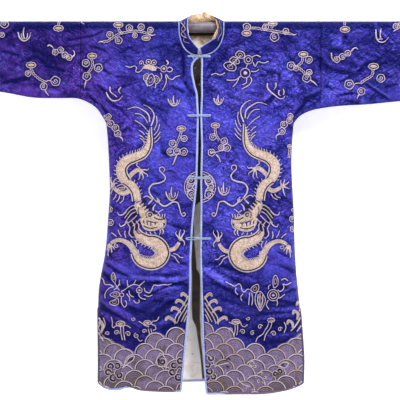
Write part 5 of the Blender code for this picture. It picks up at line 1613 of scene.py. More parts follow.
DRAGON_FACE_AND_LEGS = (
    ("cord", 136.4, 209.6, 134.6, 206, 136.2, 201.6, 140, 200.4),
    ("cord", 138, 214, 136.6, 209.4, 137.8, 205.6), ("dark", 139.2, 215.4, 138, 211, 138.6, 207),
    ("white", 138.6, 203.6, 141.6, 201), ("black", 139.7, 204.8, 142.7, 202.2),
    ("white", 140.8, 206.1, 143.8, 203.5), ("black", 141.9, 207.4, 144.9, 204.8),
    ("white", 143.1, 208.7, 146.1, 206.1), ("black", 144.3, 210, 147.3, 207.4),
    ("white", 145.5, 211.4, 148.5, 208.8), ("wide", 148, 204, 151, 201.4, 154, 198),
    ("whisker", 152.8, 210.6, 153.6, 206.6, 156, 204),
    ("cord", 143.4, 197.6, 146.6, 196, 149.6, 197.6, 152, 199.4),
    ("cord", 154, 199.4, 157.6, 202.6, 159.4, 200.6, 156.6, 198), ("black_curl", 150, 214.7, 1.6, 200, 0.9),
    ("dark", 146.8, 218, 145.8, 213.8, 148.2, 211.4, 152.4, 211.4, 154.2, 214.4),
    ("cord", 155.4, 210.6, 158.4, 212.2, 161.4, 210.4, 163.2, 209.8), ("cord", 157.6, 214.8, 158.6, 212.6),
    ("white", 160, 217.4, 159.4, 213.8), ("white", 162, 217.8, 162.4, 214),
    ("white", 164.4, 217.6, 165, 213.8), ("cord", 155.4, 217.4, 157, 214.4),
    ("black", 153.6, 217, 157.4, 219.2, 162, 219.2, 165, 218.4), ("black", 143.4, 220.4, 144.2, 223.6),
    ("white", 145, 220.4, 145.4, 224.2), ("black", 147, 221.2, 147.4, 224.8),
    ("white", 149, 222, 148.8, 225.4), ("black", 151, 222.6, 150.6, 225.8),
    ("white", 153, 222.6, 152.8, 226), ("black", 155.4, 222.4, 155.2, 225.2),
    ("white", 158, 222, 158.4, 225.4), ("white", 162.6, 220.6, 162, 224.6),
    ("cord", 165.2, 218.6, 166, 222, 164.6, 226.4, 161.4, 229.4),
    ("black", 143.6, 225.6, 148, 228, 153, 228.2, 157.6, 226.8),
    ("cord", 141.4, 223.6, 144.6, 228.8, 150.6, 230.6, 157, 229.8, 162.4, 227),
    ("cord", 146, 231.6, 146.8, 234), ("cord", 150, 232, 151.2, 234.6), ("cord", 154, 231.6, 156.4, 234.4),
    ("wide", 160, 229, 160.4, 232.4, 159.2, 235), ("wide", 162, 228.6, 163.4, 231.8, 162, 234.4),
    ("arm", 129.4, 176.6, 5.2, 133, 172.8, 5.8, 136.6, 170.4, 5.6, 139.4, 169.6, 4.6),
    ("palm", 141, 171, 2.4), ("wide", 141, 171, 144.6, 169.6, 147.4, 170, 148.6, 167.8),
    ("wide", 141, 171, 144.6, 173.2, 147.4, 175.2, 147.2, 177),
    ("wide", 141, 171, 142.4, 175, 143, 178.6, 141.6, 180.2),
    ("wide", 141, 171, 139.6, 175, 139.4, 178.2, 137.8, 179.6),
    ("cord", 141, 171, 139, 167.6, 136.4, 165.2, 137.6, 163),
    ("arm", 169.4, 250, 5.4, 173.4, 249.2, 5.4, 176.6, 246.4, 4.8, 179.2, 242.4, 4),
    ("palm", 180.4, 239, 2.2), ("wide", 180.4, 239, 177.6, 236.4, 175.6, 233.4, 176.6, 231.2),
    ("wide", 180.4, 239, 179.4, 235, 179.6, 231.6, 181, 229.8),
    ("wide", 180.4, 239, 182.4, 235.4, 184.4, 232, 183.8, 229.8),
    ("wide", 180.4, 239, 183, 240.6, 184.6, 243.4, 183.8, 246),
    ("cord", 170.6, 254.6, 174.6, 257, 177, 260.4, 179.4, 263.2),
    ("cord", 173.4, 253.4, 177.4, 254.8, 180, 257.2, 183, 257.4),
    ("arm", 137.4, 256, 8, 133.6, 250.4, 9, 129.6, 244.8, 7.6, 125, 241.6, 6, 119.4, 240, 5, 114, 241.2,
     4.2, 110.8, 243.6, 3.4), ("swirl", 132.6, 250.4, 2.2, 100),
    ("cord", 128.4, 246, 131.6, 247, 134.4, 245.4), ("cord", 135, 254.4, 138.4, 252.6, 138, 249.4),
    ("curl", 116.6, 245.6, 2.6, 100, 1.2), ("palm", 109.4, 245.6, 2.4),
    ("wide", 109.4, 245.6, 107.6, 248.4, 106.8, 251.4),
    ("wide", 109.4, 245.6, 108.8, 249.6, 107.8, 253.6, 108.2, 256.4),
    ("wide", 109.4, 245.6, 111.4, 248.8, 111.8, 252.4), ("wide", 109.4, 245.6, 112.8, 247, 114.6, 249.6),
    ("cord", 121.5, 236.5, 119.4, 233.6, 118, 229.6), ("cord", 116.6, 237, 114.4, 234.8, 111.6, 233),
    ("cord", 126, 238, 124.8, 234.2, 125.4, 230.6),
)
OUTER_LEG = (
    ("arm", 129.6, 190.4, 6.4, 125, 193.2, 6.4, 120.4, 192.8, 5.4, 116.6, 190.4, 4.6, 114, 187.6, 3.8),
    ("palm", 112.6, 185.4, 2.4), ("wide", 112.6, 185.4, 110.8, 182, 110.6, 178.6, 111.8, 176.6),
    ("wide", 112.6, 185.4, 113.6, 181.4, 115.2, 179, 116.4, 180.6),
    ("wide", 112.6, 185.4, 115.4, 183.2, 117.6, 183.4), ("wide", 112.6, 185.4, 110.6, 188.2, 109.8, 191.4),
    ("cord", 113, 187, 112, 191, 110.6, 193.8), ("cord", 116.4, 194, 115.4, 197, 113, 199.4),
    ("cord", 119.6, 195.4, 118.8, 199, 116.4, 202), ("cord", 123.8, 196, 123, 200, 119.8, 203.6),
    ("loop", 118, 188.6, 121.6, 187.2, 125, 187.6, 123.4, 189.6, 119.6, 190),
    ("cord", 116.8, 186.4, 120.4, 184.8, 124.6, 185.2),
)
SHORT_LEG = (
    ("arm", 268, 188.6, 5.4, 272.4, 190.6, 5.8, 277, 189.8, 5.2, 280.4, 187.6, 4.2),
    ("palm", 282.6, 186.4, 2.3), ("wide", 282.6, 186.4, 280.6, 182.6, 281.4, 179.6),
    ("wide", 282.6, 186.4, 284, 181.8, 284.8, 178.8), ("wide", 282.6, 186.4, 286.8, 183.8, 289, 181.6),
    ("wide", 282.6, 186.4, 286.6, 187.4, 289.4, 188.8), ("wide", 282.8, 188, 283.6, 192.6, 285.2, 196),
    ("cord", 271, 193.6, 273.4, 197.4, 277.6, 199.6), ("cord", 274.6, 193.6, 277, 196.6, 280.6, 198),
)
EYES = ((144.6, 200.7, 2.1), (149.6, 206.5, 2.1), (150, 214.5, 0.9))
# the ruff behind the head: the points of its first strand, and how much further on those of each next one are
UPPER_STRAND = (134.8, 205.2, 130.6, 206.6, 127, 210, 124.2, 214)
UPPER_SHIFT = (0.2, 1.572, 0.2, 1.888, 0.2, 2.1, 0.2, 2.1)
UPPER_STRANDS = 6
LOWER_STRAND = (137, 215.4, 132.6, 219.6, 127.6, 223.6)
LOWER_SHIFT = (1.4, 2, 1.6, 1.8, 2.2, 1.6)
LOWER_STRANDS = 3


def strands(first, shift, count):
    """Strokes side by side, light and dark in turn, with points to a tenth of a square."""
    return [
        (("cord", "dark")[number % 2], *(round(at + number * by, 1) for at, by in zip(first, shift)))
        for number in range(count)
    ]


DRAGON_LINES = (
    *DRAGON_HAIR, *strands(UPPER_STRAND, UPPER_SHIFT, UPPER_STRANDS), *RUFF_TUFTS,
    *strands(LOWER_STRAND, LOWER_SHIFT, LOWER_STRANDS), *DRAGON_FACE_AND_LEGS,
)
print("dragon:", len(DRAGON_BODY), "body strips,", len(DRAGON_LINES), "strokes on top")

# %% Drawing a list of strokes
STROKES = {
    # kind: width, height, material, shares of the width at both ends
    "cord": (2.9, 1.2, CREAM, None),
    "wide": (4.8, 1.5, CREAM, (0.9, 0.35)),
    "whisker": (5.0, 1.5, CREAM, (1.0, 0.5)),
    "thorn": (4.6, 1.4, CREAM, (0.3, 1.0)),
    "white": (3.8, 1.7, CREAM, (0.8, 0.8)),
    "dark": (3.4, 1.1, DARK, None),
    "black": (4.4, 1.8, DARK, (1.0, 0.8)),
    "loop": (2.6, 1.2, CREAM, None),
}
ROUND_COUNT = 20
ROUND = np.arange(ROUND_COUNT) * 2 * math.pi / ROUND_COUNT
MIRROR = 6.4  # x of a mirrored point is this less x: the middle of the two fronts, doubled
TAIL_TOP = -322
MOVED_LEFT, LEFT_PER_DROP = 23, 0.027
MOVED_UP, UP_PER_DROP = 12, 0.043


def as_drawn(points):
    """The first dragon and all the smaller pictures stay where they are drawn."""
    return points


def turned_over(points):
    """The second dragon: the first one mirrored. Its tail sits higher and its coil lower."""
    points = np.array(points, float)
    below = points[:, 1] - TAIL_TOP
    points[:, 0] = MIRROR - points[:, 0] - MOVED_LEFT - LEFT_PER_DROP * below
    points[:, 1] += MOVED_UP + UP_PER_DROP * below
    return points


def draw(work, strokes, place=as_drawn):
    """Lays one drawing on a face of the robe."""
    hand = 1 if place is as_drawn else -1
    for kind, *numbers in strokes:
        if kind in STROKES:
            width, height, material, taper = STROKES[kind]
            points = place(from_squares(numbers))
            work.cord(points, width, height, material, taper=taper, closed=kind == "loop")
            if kind == "loop":
                inner = points.mean(0) + (points - points.mean(0)) * 0.45
                work.cord(inner, 2.0, 1.0, TAN, closed=True)
        elif kind == "stem":
            line = smooth_line(place(from_squares(numbers)))
            for side in (-1, 1):
                bead = side * (2.7 + 0.9 * np.sin(np.arange(len(line)) * 1.8))
                work.cord(beside_line(line, bead), 2.3, 1.2)
        elif kind in ("arm", "pod", "hook"):
            body_strip(work, place(from_squares(numbers, 3)), 0, 0, TAN if kind == "hook" else BEIGE)
        else:
            x, drop = place(from_squares(numbers[:2]))[0]
            draw_round(work, kind, x, drop, size_from_squares(numbers[2]), *numbers[3:], hand=hand)


def draw_round(work, kind, x, drop, size, start=0, turns=1.1, hand=1):
    """Curls, rings, caps and dots about one point."""
    start = start if hand > 0 else 180 - start
    if kind == "curl":
        work.cord(spiral(x, drop, size, start, abs(turns), hand * np.sign(turns)), 2.6, 1.4)
    elif kind == "black_curl":
        angle = math.radians(start) + hand * np.linspace(0, turns * 2 * math.pi, 8)
        way = np.stack([np.cos(angle), np.sin(angle)], 1)
        for reach, width, material in ((size, 4.6, DARK), (size + 3.6, 2.4, CREAM), (size * 0.4, 2.6, CREAM)):
            work.cord([x, drop] + way * reach, width, 1.9, material)
    elif kind == "swirl":
        reach = size * (0.95 + 0.05 * np.cos(5 * ROUND + start))
        lobes = np.stack([x + reach * np.cos(ROUND), drop + reach * np.sin(ROUND)], 1)
        work.cord(lobes, 2.6, 1.3, closed=True)
        work.cord(spiral(x, drop, size * 0.58, start, 1.3, hand), 2.4, 1.3)
    elif kind == "ring":
        work.cord(ring(x, drop, size), 2.4, 1.3, closed=True)
    elif kind == "cap":
        shares = ((-0.75, 0.05), (-0.4, 0.24), (0.0, 0.34), (0.4, 0.24), (0.75, 0.05))
        work.fill([(x + size * a, drop, size * b) for a, b in shares], TAN, 1.2)
        reach = size * (0.96 + 0.05 * np.cos(8 * ROUND))
        rim_drop = drop + 0.6 * reach * np.sin(ROUND)
        work.cord(np.stack([x + reach * np.cos(ROUND), rim_drop], 1), 2.8, 1.6, closed=True)
    else:
        fill_dot(work, x, drop, size, 0.5, BEIGE, 1.7)


def fill_dot(work, x, drop, radius, narrow, material, height):
    """A filled dot, whose ends are narrow times as wide as its middle."""
    rows = [(x - radius, drop, radius * narrow), (x, drop, radius), (x + radius, drop, radius * narrow)]
    work.fill(rows, material, height)


def body_strip(work, rows, belly, spikes, material=BEIGE):
    """A filled strip with its outlines. belly and spikes say on which side they are: 1 is left."""
    line = smooth_line(rows, 3.0)
    work.fill(rows, material, 2.0, across=10)
    half = line[:, 2]
    for side in (-1, 1):
        if side == belly:
            work.cord(beside_line(line, side * (half + 1.8)), 4.4, 1.9, step=3.0)
            work.cord(beside_line(line, side * np.maximum(half - 2.4, 0.3)), 4.2, 2.3, DARK, step=3.0)
        else:
            work.cord(beside_line(line, side * half), 2.4, 1.7, step=3.0)
    if spikes:
        away = sideways(line) * spikes
        along = ahead_of(line)
        for k in range(5, len(line) - 4, 3):
            root = line[k, :2] + away[k] * (half[k] + 1.6)
            tip = root + away[k] * 7.5 - along[k] * 4.5
            work.cord([root, (root + tip) / 2 + along[k] * 0.8, tip], 3.0, 1.2, taper=(1.0, 0.35))


BODY_SIDES = {"upper": (1, -1), "middle": (-1, 1), "lower": (1, -1)}  # the belly's side and the spikes' side
ON_BODY = 1.3  # how much higher the lines lie on the dragon's body


def draw_dragon(work, place):
    """Body strips from the far one to the near one, then everything that lies on top."""
    hand = 1 if place is as_drawn else -1
    for name, *numbers in DRAGON_BODY:
        belly, spikes = BODY_SIDES[name]
        body_strip(work, place(from_squares(numbers, 3)), belly * hand, spikes * hand)
    for name, *numbers in HEAD_FILL:
        work.fill(place(from_squares(numbers, 3)), BEIGE, 1.8)
    work.level = ON_BODY
    draw(work, DRAGON_LINES, place)
    draw(work, OUTER_LEG if hand > 0 else SHORT_LEG)
    work.level = 0.0
    for column_at, row_at, squares in EYES:
        x, drop = place(from_squares((column_at, row_at)))[0]
        fill_dot(work, x, drop, size_from_squares(squares), 0.6, DARK, 2.6)


# %% Laying the dragons and the smaller pictures
SMALL_PICTURES = (
    CLOUDS_LEFT, CLOUDS_RIGHT, FLAMES_LEFT, FLAMES_RIGHT, GOURD, COIN, TREASURE_ONE, TREASURE_TWO,
    SPRIGS_LEFT, SPRIGS_RIGHT, ROUNDEL,
)
embroidered = []
for face, name in ((-1, "front"), (1, "back")):
    dragons, small = Needlework(face), Needlework(face)
    for place in (as_drawn, turned_over):
        draw_dragon(dragons, place)
    for strokes in SMALL_PICTURES:
        draw(small, strokes)
    embroidered += [dragons.sew(f"{name}_dragons", CORDS), small.sew(f"{name}_pictures", CORDS)]

# %% [markdown]
# Couching pulls the satin in along each cord, and shade falls in the dip. A thin margin of painted shade shows
# it, and makes the pale drawing stand out. Each point of the panels looks up its distance to the nearest cord.

# %% Painted shade beside the cords
MARGIN_WIDTH = 4.4
MARGIN_SHADE = 0.74


def shade_beside(pieces):
    """Paints shade on the panels near the cords of these pieces."""
    laid = np.concatenate([coordinates(piece)[::3] for piece in pieces])
    tree = KDTree(len(laid))
    for number, point in enumerate(laid):
        tree.insert(point, number)
    tree.balance()
    for panel in PANELS.values():
        away = np.array([tree.find(point)[2] for point in coordinates(panel)]) / MM
        shade = np.zeros(len(away), np.float32)
        values = panel.data.attributes["painted_shade"].data
        values.foreach_get("value", shade)
        margin = MARGIN_SHADE * np.exp(-((away / MARGIN_WIDTH) ** 2))
        values.foreach_set("value", np.clip(shade + margin, -1, 0.97).astype(np.float32))


shade_beside(embroidered)
print("dark margins beside", [piece.name for piece in embroidered])

# %% [markdown]
# The foot of the robe is a sea: overlapping scale-shaped waves of grey-mauve couching, each outlined in
# cream or tan, with a dark cord just inside the outline as a painted shadow and finer arcs inside. Its rows
# climb towards the front opening, where spray curls up, and its upper line is the scalloped rim of the topmost
# scales. The ground is one low relief that follows the cloth. A point belongs to the lowest scale that covers
# it, as with roof tiles laid upside down.

# %% Waves and spray
WAVE_RADIUS = 33
WAVE_ROW = 25.5
WAVE_SHIFT = 11  # how far the first column of scales is from the middle
WAVE_TOP_Z = -975
WAVE_TILT = 0.26  # how much lower a scale is for each millimetre away from the middle
WAVE_EDGE = 4.5
SEA_OUTLINE = (0.96, 3.8, 2.4)
TAN_ABOVE = 0.62  # scales whose irregular number is above this have a tan outline
# share of the scale's radius, width, height, material of the arcs inside it
SEA_INNER = (
    # the dark arc just inside the outline is a painted shadow
    (0.86, 3.0, 1.5, DARK), (0.76, 1.7, 1.9, LILAC), (0.58, 1.6, 1.6, LILAC), (0.40, 1.6, 1.4, LILAC),
)
SEA_TOP = {
    # the line under which the scales' crowns stay, as x and height, for each front
    -1: (
        (-330, -970), (-310, -997), (-291, -1030), (-257, -1009), (-220, -1014), (-183, -1013), (-156, -994),
        (-116, -971), (-78, -954), (-48, -942), (-30, -942),
    ),
    1: (
        (0, -940), (42, -946), (83, -968), (118, -995), (144, -1020), (186, -1018), (218, -1023),
        (250, -1023), (278, -997), (314, -965), (335, -950),
    ),
}
SEA_LOWEST_RIM = -1060.0
OVER_SEA = 2.4  # how much higher the spray lies
SPRAY_MIRROR = 392.8  # a mirrored column is this less the column
SPRAY_FAN = (
    ("white", 188.4, 296, 184.3, 303.4, 179.5, 311, 175.4, 318, 174.6, 324),
    ("white", 188.2, 302.7, 183.5, 310.7, 179.5, 317, 177, 323.6),
    ("white", 188, 308.4, 184.3, 315, 181, 321.6), ("white", 187.6, 314, 185.4, 318.4, 184, 322),
    ("dark", 188.4, 299.6, 184, 307, 179.8, 314, 176, 321), ("dark", 188.2, 305.6, 184, 313, 180, 320),
    ("dark", 188, 311.4, 185, 317, 182.6, 321.8),
    ("hook", 188, 299, 1.6, 186, 295.6, 2.8, 182.6, 293.6, 3.4, 181, 296.4, 1.6),
    ("hook", 185, 306, 1.6, 181.6, 301.6, 3, 177.4, 300.4, 3.6, 175.6, 303.6, 1.6),
    ("hook", 181, 313, 1.6, 177.6, 309, 3, 173, 307.8, 3.6, 171.4, 311, 1.6),
    ("hook", 176, 323, 1.6, 172.4, 319, 3, 167.6, 317.2, 3.6, 165.6, 320.4, 1.6),
)
SIDE_SPRAY_LEFT = (
    ("wide", 97.4, 316, 100.4, 322, 99, 328, 101.6, 334), ("dark", 98.6, 326, 101, 332, 101.4, 338),
    ("white", 97.6, 330, 100.6, 336, 103.6, 341),
    ("hook", 101, 333, 1.4, 103, 327, 2.6, 100.6, 322, 2.6, 99, 325, 1.4),
)
SIDE_SPRAY_RIGHT = (
    ("hook", 299.6, 312, 1.4, 301, 306, 2.8, 298, 302.6, 3.2, 296.4, 305.6, 1.4),
    ("hook", 297, 320, 1.4, 297.4, 313.6, 2.8, 293.6, 311, 3.2, 292.4, 314.4, 1.4),
    ("hook", 292.4, 328, 1.4, 292, 322.4, 2.8, 288, 320.6, 3.2, 286.8, 324, 1.4),
    ("white", 303, 308, 300.6, 317, 296, 325, 290.6, 331), ("dark", 303.6, 312, 301, 320, 297, 327.4),
    ("white", 304, 317, 301.4, 325, 297, 332),
)
WAVE_LEFT = (
    ("black_curl", 180, 360.6, 2.4, 60, 0.72), ("black_curl", 174.2, 365, 2.4, 60, 0.72),
    ("black_curl", 172.4, 372, 2.7, 60, 0.72), ("black_curl", 178.4, 376.8, 3, 80, 0.72),
    ("black_curl", 179.6, 368.4, 2.2, 300, 0.6), ("black_curl", 111, 366, 2.5, -40, 0.72),
    ("black_curl", 117.6, 365.4, 2.5, -140, 0.72), ("black_curl", 108.6, 372, 2.6, 20, 0.72),
    ("black_curl", 113.4, 377.4, 3, 60, 0.72), ("black_curl", 119.6, 374.6, 2.4, 170, 0.72),
    ("dot", 114.4, 371, 1.5), ("white", 157.6, 357, 156.8, 362.6, 158.6, 366, 164, 366.4, 170, 368),
    ("black", 158.6, 358.6, 159.4, 364.4), ("black_curl", 162.4, 361.6, 2.2, 200, 0.8),
    ("white", 157.6, 357, 161, 353, 165, 357.6, 167, 362, 164, 366.4),
    ("white", 122.6, 368, 126.6, 361, 130, 357, 134.4, 355.6, 133, 359.6, 128.6, 363, 122.6, 368),
    ("black", 128, 360.6, 130.6, 358.4), ("black", 131, 360, 133, 357.6),
)
WAVE_RIGHT = (
    ("black_curl", 211, 357.6, 2.4, 140, 0.72), ("black_curl", 207.4, 364, 2.5, 140, 0.72),
    ("black_curl", 209.4, 371, 2.7, 140, 0.72), ("black_curl", 206.4, 377, 3, 100, 0.72),
    ("black_curl", 213.4, 376.4, 2.2, 220, 0.6), ("white", 214, 366.6, 221, 364, 228, 362.6),
    ("white", 237, 378, 243, 384, 250, 386), ("black", 226, 360, 228, 357.6, 230.4, 359.6),
    ("black", 226.6, 365.6, 229, 367), ("curl", 260.4, 373, 2.1, -60, 0.8),
    ("curl", 264.8, 376.6, 2.1, -140, 0.8), ("curl", 256.4, 376.6, 2.1, 20, 0.8),
    ("curl", 258.6, 381.4, 2.1, 80, 0.8), ("curl", 263.6, 381.2, 2, 150, 0.8), ("dot", 260.6, 377.4, 1.4),
    ("curl", 252, 361.6, 1.9, -60, 0.8), ("curl", 249.8, 366, 1.8, 20, 0.8),
    ("curl", 255, 365.6, 1.9, -150, 0.8), ("black_curl", 275.4, 373.6, 2, 20, 0.7),
    ("black_curl", 279.8, 371, 2.1, -60, 0.7), ("curl", 247, 388, 1.9, 30, 0.8),
    ("curl", 252.4, 389.6, 1.8, -60, 0.8), ("white", 278, 366, 283, 362, 288, 363, 285, 367.4, 278, 366),
    ("black", 281, 365, 284, 364), ("ring", 252, 363.6, 2.4), ("dot", 252, 363.6, 1.5),
)


def mirrored(strokes):
    """The spray on the other side of the opening. Hooks have a half width after each column and row."""
    turned = []
    for kind, *numbers in strokes:
        values = 3 if kind == "hook" else 2
        numbers[::values] = [SPRAY_MIRROR - column_at for column_at in numbers[::values]]
        turned.append((kind, *numbers))
    return turned


SPRAY_LEFT = (*SPRAY_FAN, *SIDE_SPRAY_LEFT)
SPRAY_RIGHT = (*mirrored(SPRAY_FAN), *SIDE_SPRAY_RIGHT)


def scale_middle(row, x):
    """The middle of the scale of a row that is nearest to x."""
    shift = (row % 2) * WAVE_RADIUS + np.where(x < 0, -WAVE_SHIFT, WAVE_SHIFT)
    middle_x = np.round((x - shift) / (2 * WAVE_RADIUS)) * 2 * WAVE_RADIUS + shift
    return middle_x, WAVE_TOP_Z - row * WAVE_ROW - WAVE_TILT * np.abs(middle_x)


def wave_centre(x, z):
    """The middle of the scale that shows at each point, and the distance to it."""
    low = np.ceil((WAVE_TOP_Z - WAVE_TILT * np.abs(x) - z) / WAVE_ROW)
    covered = np.zeros(x.shape, bool)
    best = [np.zeros(x.shape)] * 3
    for row in (low + 2, low + 1, low, low - 1, low - 2):
        middle_x, middle_z = scale_middle(row, x)
        away = np.hypot(x - middle_x, z - middle_z)
        best = [np.where(covered, old, new) for old, new in zip(best, (middle_x, middle_z, away))]
        covered |= away <= WAVE_RADIUS
    return best


def sea_scales(sign):
    """The scales of one front whose crown is under the sea's upper line."""
    rows = np.array(SEA_TOP[sign], float)
    for row in range(-4, 10):
        for k in range(0, 7):
            middle_x, middle_z = scale_middle(row, sign * (WAVE_SHIFT + WAVE_RADIUS * (2.0 * k + row % 2)))
            line = np.interp(middle_x, rows[:, 0], rows[:, 1])
            if middle_z + WAVE_RADIUS < line + 9:
                yield float(middle_x), float(middle_z)


def sea_rim(scales, x):
    """The upper rim of a set of scales at each x."""
    rim = np.full(x.shape, SEA_LOWEST_RIM)
    for middle_x, middle_z in scales:
        across = np.abs(x - middle_x)
        crown = middle_z + np.sqrt(np.maximum(WAVE_RADIUS**2 - across**2, 0))
        rim = np.where(across < WAVE_RADIUS, np.maximum(rim, crown), rim)
    return rim


def showing(line, middle_x, middle_z, sign, face):
    """The stretches of an arc that no lower scale covers and that are on this side of the robe."""
    owner = wave_centre(line[:, 0], line[:, 1])
    fine = (np.abs(owner[0] - middle_x) < 1) & (np.abs(owner[1] - middle_z) < 1)
    fine &= line[:, 0] * sign > (-45 if face < 0 else 0)
    runs = np.flatnonzero(np.diff(np.concatenate([[0], fine.astype(int), [0]])))
    return [line[a:b] for a, b in zip(runs[::2], runs[1::2]) if b - a > 3]


SEA_COLUMNS = 110
SEA_ROWS = 60


def sea_ground(sea, sign, face, scales):
    """The relief under the arcs, as a closed sheet that lies on the cloth."""
    across = np.linspace(0, 1, SEA_COLUMNS)
    start = float(front_edge_x(sign, SEA_LOWEST_RIM)) + sign * WAVE_EDGE if face < 0 else NECK_CENTRE_X
    middle_line = start + (sign * HEM_X - start) * across
    foot, rim = hem_height(middle_line, face) + 2.5, sea_rim(scales, middle_line) - 0.5
    z = rim[:, None] + (foot - rim)[:, None] * np.linspace(0, 1, SEA_ROWS)[None]
    near = front_edge_x(sign, z) + sign * WAVE_EDGE if face < 0 else np.full(z.shape, start)
    far = side_x(sign, z) - sign * 3
    x = near + (far - near) * across[:, None]
    _, middle_z, away = wave_centre(x, z)
    relief = 0.35 + 1.0 * np.clip(away / WAVE_RADIUS, 0, 1) ** 2 * ease((z - middle_z) / WAVE_RADIUS + 0.5)
    columns, rows = (np.minimum(np.arange(n), np.arange(n)[::-1]) for n in (SEA_COLUMNS, SEA_ROWS))
    border = np.minimum(columns[:, None], rows[None]) / 2
    relief = np.where(border < 1, -0.1 + (relief + 0.1) * border, relief)
    grid = np.stack([x, z], -1)
    both = np.concatenate([grid, grid[:, ::-1]], 1)
    if sign > 0:
        both, relief = both[::-1], relief[::-1]
    sea.patch(both, np.concatenate([relief, np.full(relief.shape, -0.45)], 1), GREY)


def sew_sea(face):
    """The ground, the scales' arcs and the spray of one face, as one piece."""
    sea = Needlework(face)
    for sign in (-1, 1):
        scales = list(sea_scales(sign))
        sea_ground(sea, sign, face, scales)
        for middle_x, middle_z in scales:
            outline_cord = TAN if lattice(middle_x, middle_z, 5) > TAN_ABOVE else CREAM
            for share, width, height, material in ((*SEA_OUTLINE, outline_cord), *SEA_INNER):
                angle = np.linspace(-0.25, math.pi + 0.25, int(48 * share) + 8)
                reach = WAVE_RADIUS * share
                arc = np.stack([middle_x + reach * np.cos(angle), middle_z + reach * np.sin(angle)], 1)
                for part in showing(arc, middle_x, middle_z, sign, face):
                    sea.cord(part, width, height, material, step=3.2 if share > 0.9 else 4.4)
    sea.level = OVER_SEA
    for strokes in (SPRAY_LEFT, SPRAY_RIGHT, WAVE_LEFT, WAVE_RIGHT):
        draw(sea, strokes)
    return sea.sew("front_sea" if face < 0 else "back_sea", CORDS)


for face in (-1, 1):
    sew_sea(face)

# %% [markdown]
# Every raw edge is bound with a narrow strip of pale blue satin, cut on the slant and rolled over it. It is
# made as a slightly flat tube along the edge, puckered a little where the stitches pull. The cords of the
# fastenings and the pipings of the collar are round ones of the same kind.

# %% Tubes along an edge
TUBE_SIDES = 10


def along_path(path, closed=False):
    """Unit directions along a path."""
    if closed:
        steps = np.roll(path, -1, 0) - np.roll(path, 1, 0)
    else:
        steps = np.gradient(path, axis=0)
    return steps / np.maximum(np.linalg.norm(steps, axis=1), 1e-9)[:, None]


def path_lengths(path):
    """How far along a path in space each of its points is."""
    return summed(np.linalg.norm(np.diff(path, axis=0), axis=1))


def read_columns(at, places, values):
    """Straight lines through rows of values, each column read at the same places."""
    return np.stack([np.interp(at, places, values[:, k]) for k in range(values.shape[1])], 1)


def softened(path, closed=False):
    """A path whose points have moved towards the middle of their neighbours, twice."""
    for _ in range(2):
        if closed:
            path = (np.roll(path, 1, 0) + 2 * path + np.roll(path, -1, 0)) / 4
        else:
            path[1:-1] = (path[:-2] + 2 * path[1:-1] + path[2:]) / 4
    return path


def even_path(path, step, closed=False):
    """Evenly spaced points on a path of points in space, rounded through them."""
    path = np.asarray(path, float)
    if closed:
        path = np.concatenate([path, path[:1]])
    length = path_lengths(path)
    count = max(int(length[-1] / step), 4)
    even = read_columns(np.linspace(0, length[-1], count + 1), length, path)
    return softened(even[:-1] if closed else even, closed)


def tube(name, paths, out, wide, deep, materials, slot, nodes=(), pucker=0.0, kinds=None):
    """Tubes along paths, each (points, closed), in metres. out is the way each profile's depth points."""
    points, faces, uvs, kind_list, first = [], [], [], [], 0
    for number, (path, closed) in enumerate(paths):
        ahead = along_path(path, closed)
        up = np.broadcast_to(np.asarray(out, float), path.shape) if np.ndim(out) == 1 else out
        across = np.cross(ahead, up)
        across /= np.maximum(np.linalg.norm(across, axis=1), 1e-9)[:, None]
        up = np.cross(across, ahead)
        angle = np.arange(TUBE_SIDES) * 2 * math.pi / TUBE_SIDES
        n = len(path)
        size = 1 + pucker * np.sin(np.arange(n) * 1.9 + 2.0 * np.sin(np.arange(n) * 0.37))
        sideways_part = across[:, None] * (np.cos(angle) * wide)[None, :, None]
        upward_part = up[:, None] * (np.sin(angle) * deep)[None, :, None]
        rings = path[:, None] + (sideways_part + upward_part) * size[:, None, None]
        if not closed:  # the ends round off
            ends = np.minimum(np.arange(n), np.arange(n)[::-1])
            shrink = np.interp(ends, (0, 1), (0.45, 1.0))[:, None, None]
            rings = path[:, None] + (rings - path[:, None]) * shrink
        index = first + np.arange(n * TUBE_SIDES).reshape(n, TUBE_SIDES)
        first += n * TUBE_SIDES
        points.append(rings.reshape(-1, 3))
        length = path_lengths(path)
        if closed:
            length = np.append(length, length[-1] + np.linalg.norm(path[0] - path[-1]))
        around = np.arange(TUBE_SIDES) / TUBE_SIDES
        added = [wrapped_faces(index, length, around, around + 1 / TUBE_SIDES, closed)]
        if not closed:
            caps = (end_cap(index[0])[:, ::-1], end_cap(index[-1]))
            added += [(cap, np.full((len(cap), 4, 2), 0.5)) for cap in caps]
        for quads, cut in added:
            faces.append(quads)
            uvs.append(cut)
            kind_list.append(np.full(len(quads), kinds[number] if kinds else 0))
    made = mesh_object(name, np.concatenate(points), np.concatenate(faces), np.concatenate(uvs), materials[0])
    give_materials(made, materials, np.concatenate(kind_list))
    build = bmesh.new()
    build.from_mesh(made.data)
    bmesh.ops.recalc_face_normals(build, faces=build.faces)
    build.to_mesh(made.data)
    build.free()
    finish_piece(made, slot, *nodes)
    return made


# %% Bindings of the edges
BINDING = build_cord(
    "slanted_binding", (0.52, 0.58, 0.88), (0.36, 0.42, 0.76), (0.20, 0.25, 0.60),
    roughness=0.45, metallic=0.1, turns=210.0,
)
BINDING_HALF = 3.4
BINDING_DEEP = 1.75
BINDING_STEP = 3.2
BINDING_PUCKER = 0.06
BINDING_OUT = 0.2  # how far its middle is outside the cloth's edge
FORWARD = (0, -1, 0.02)
SOILED = (0.13, 0.10, 0.14)
CLEAN_X, CLEAN_HALF = -0.269, 0.036  # metres: where the hem's binding is still clean


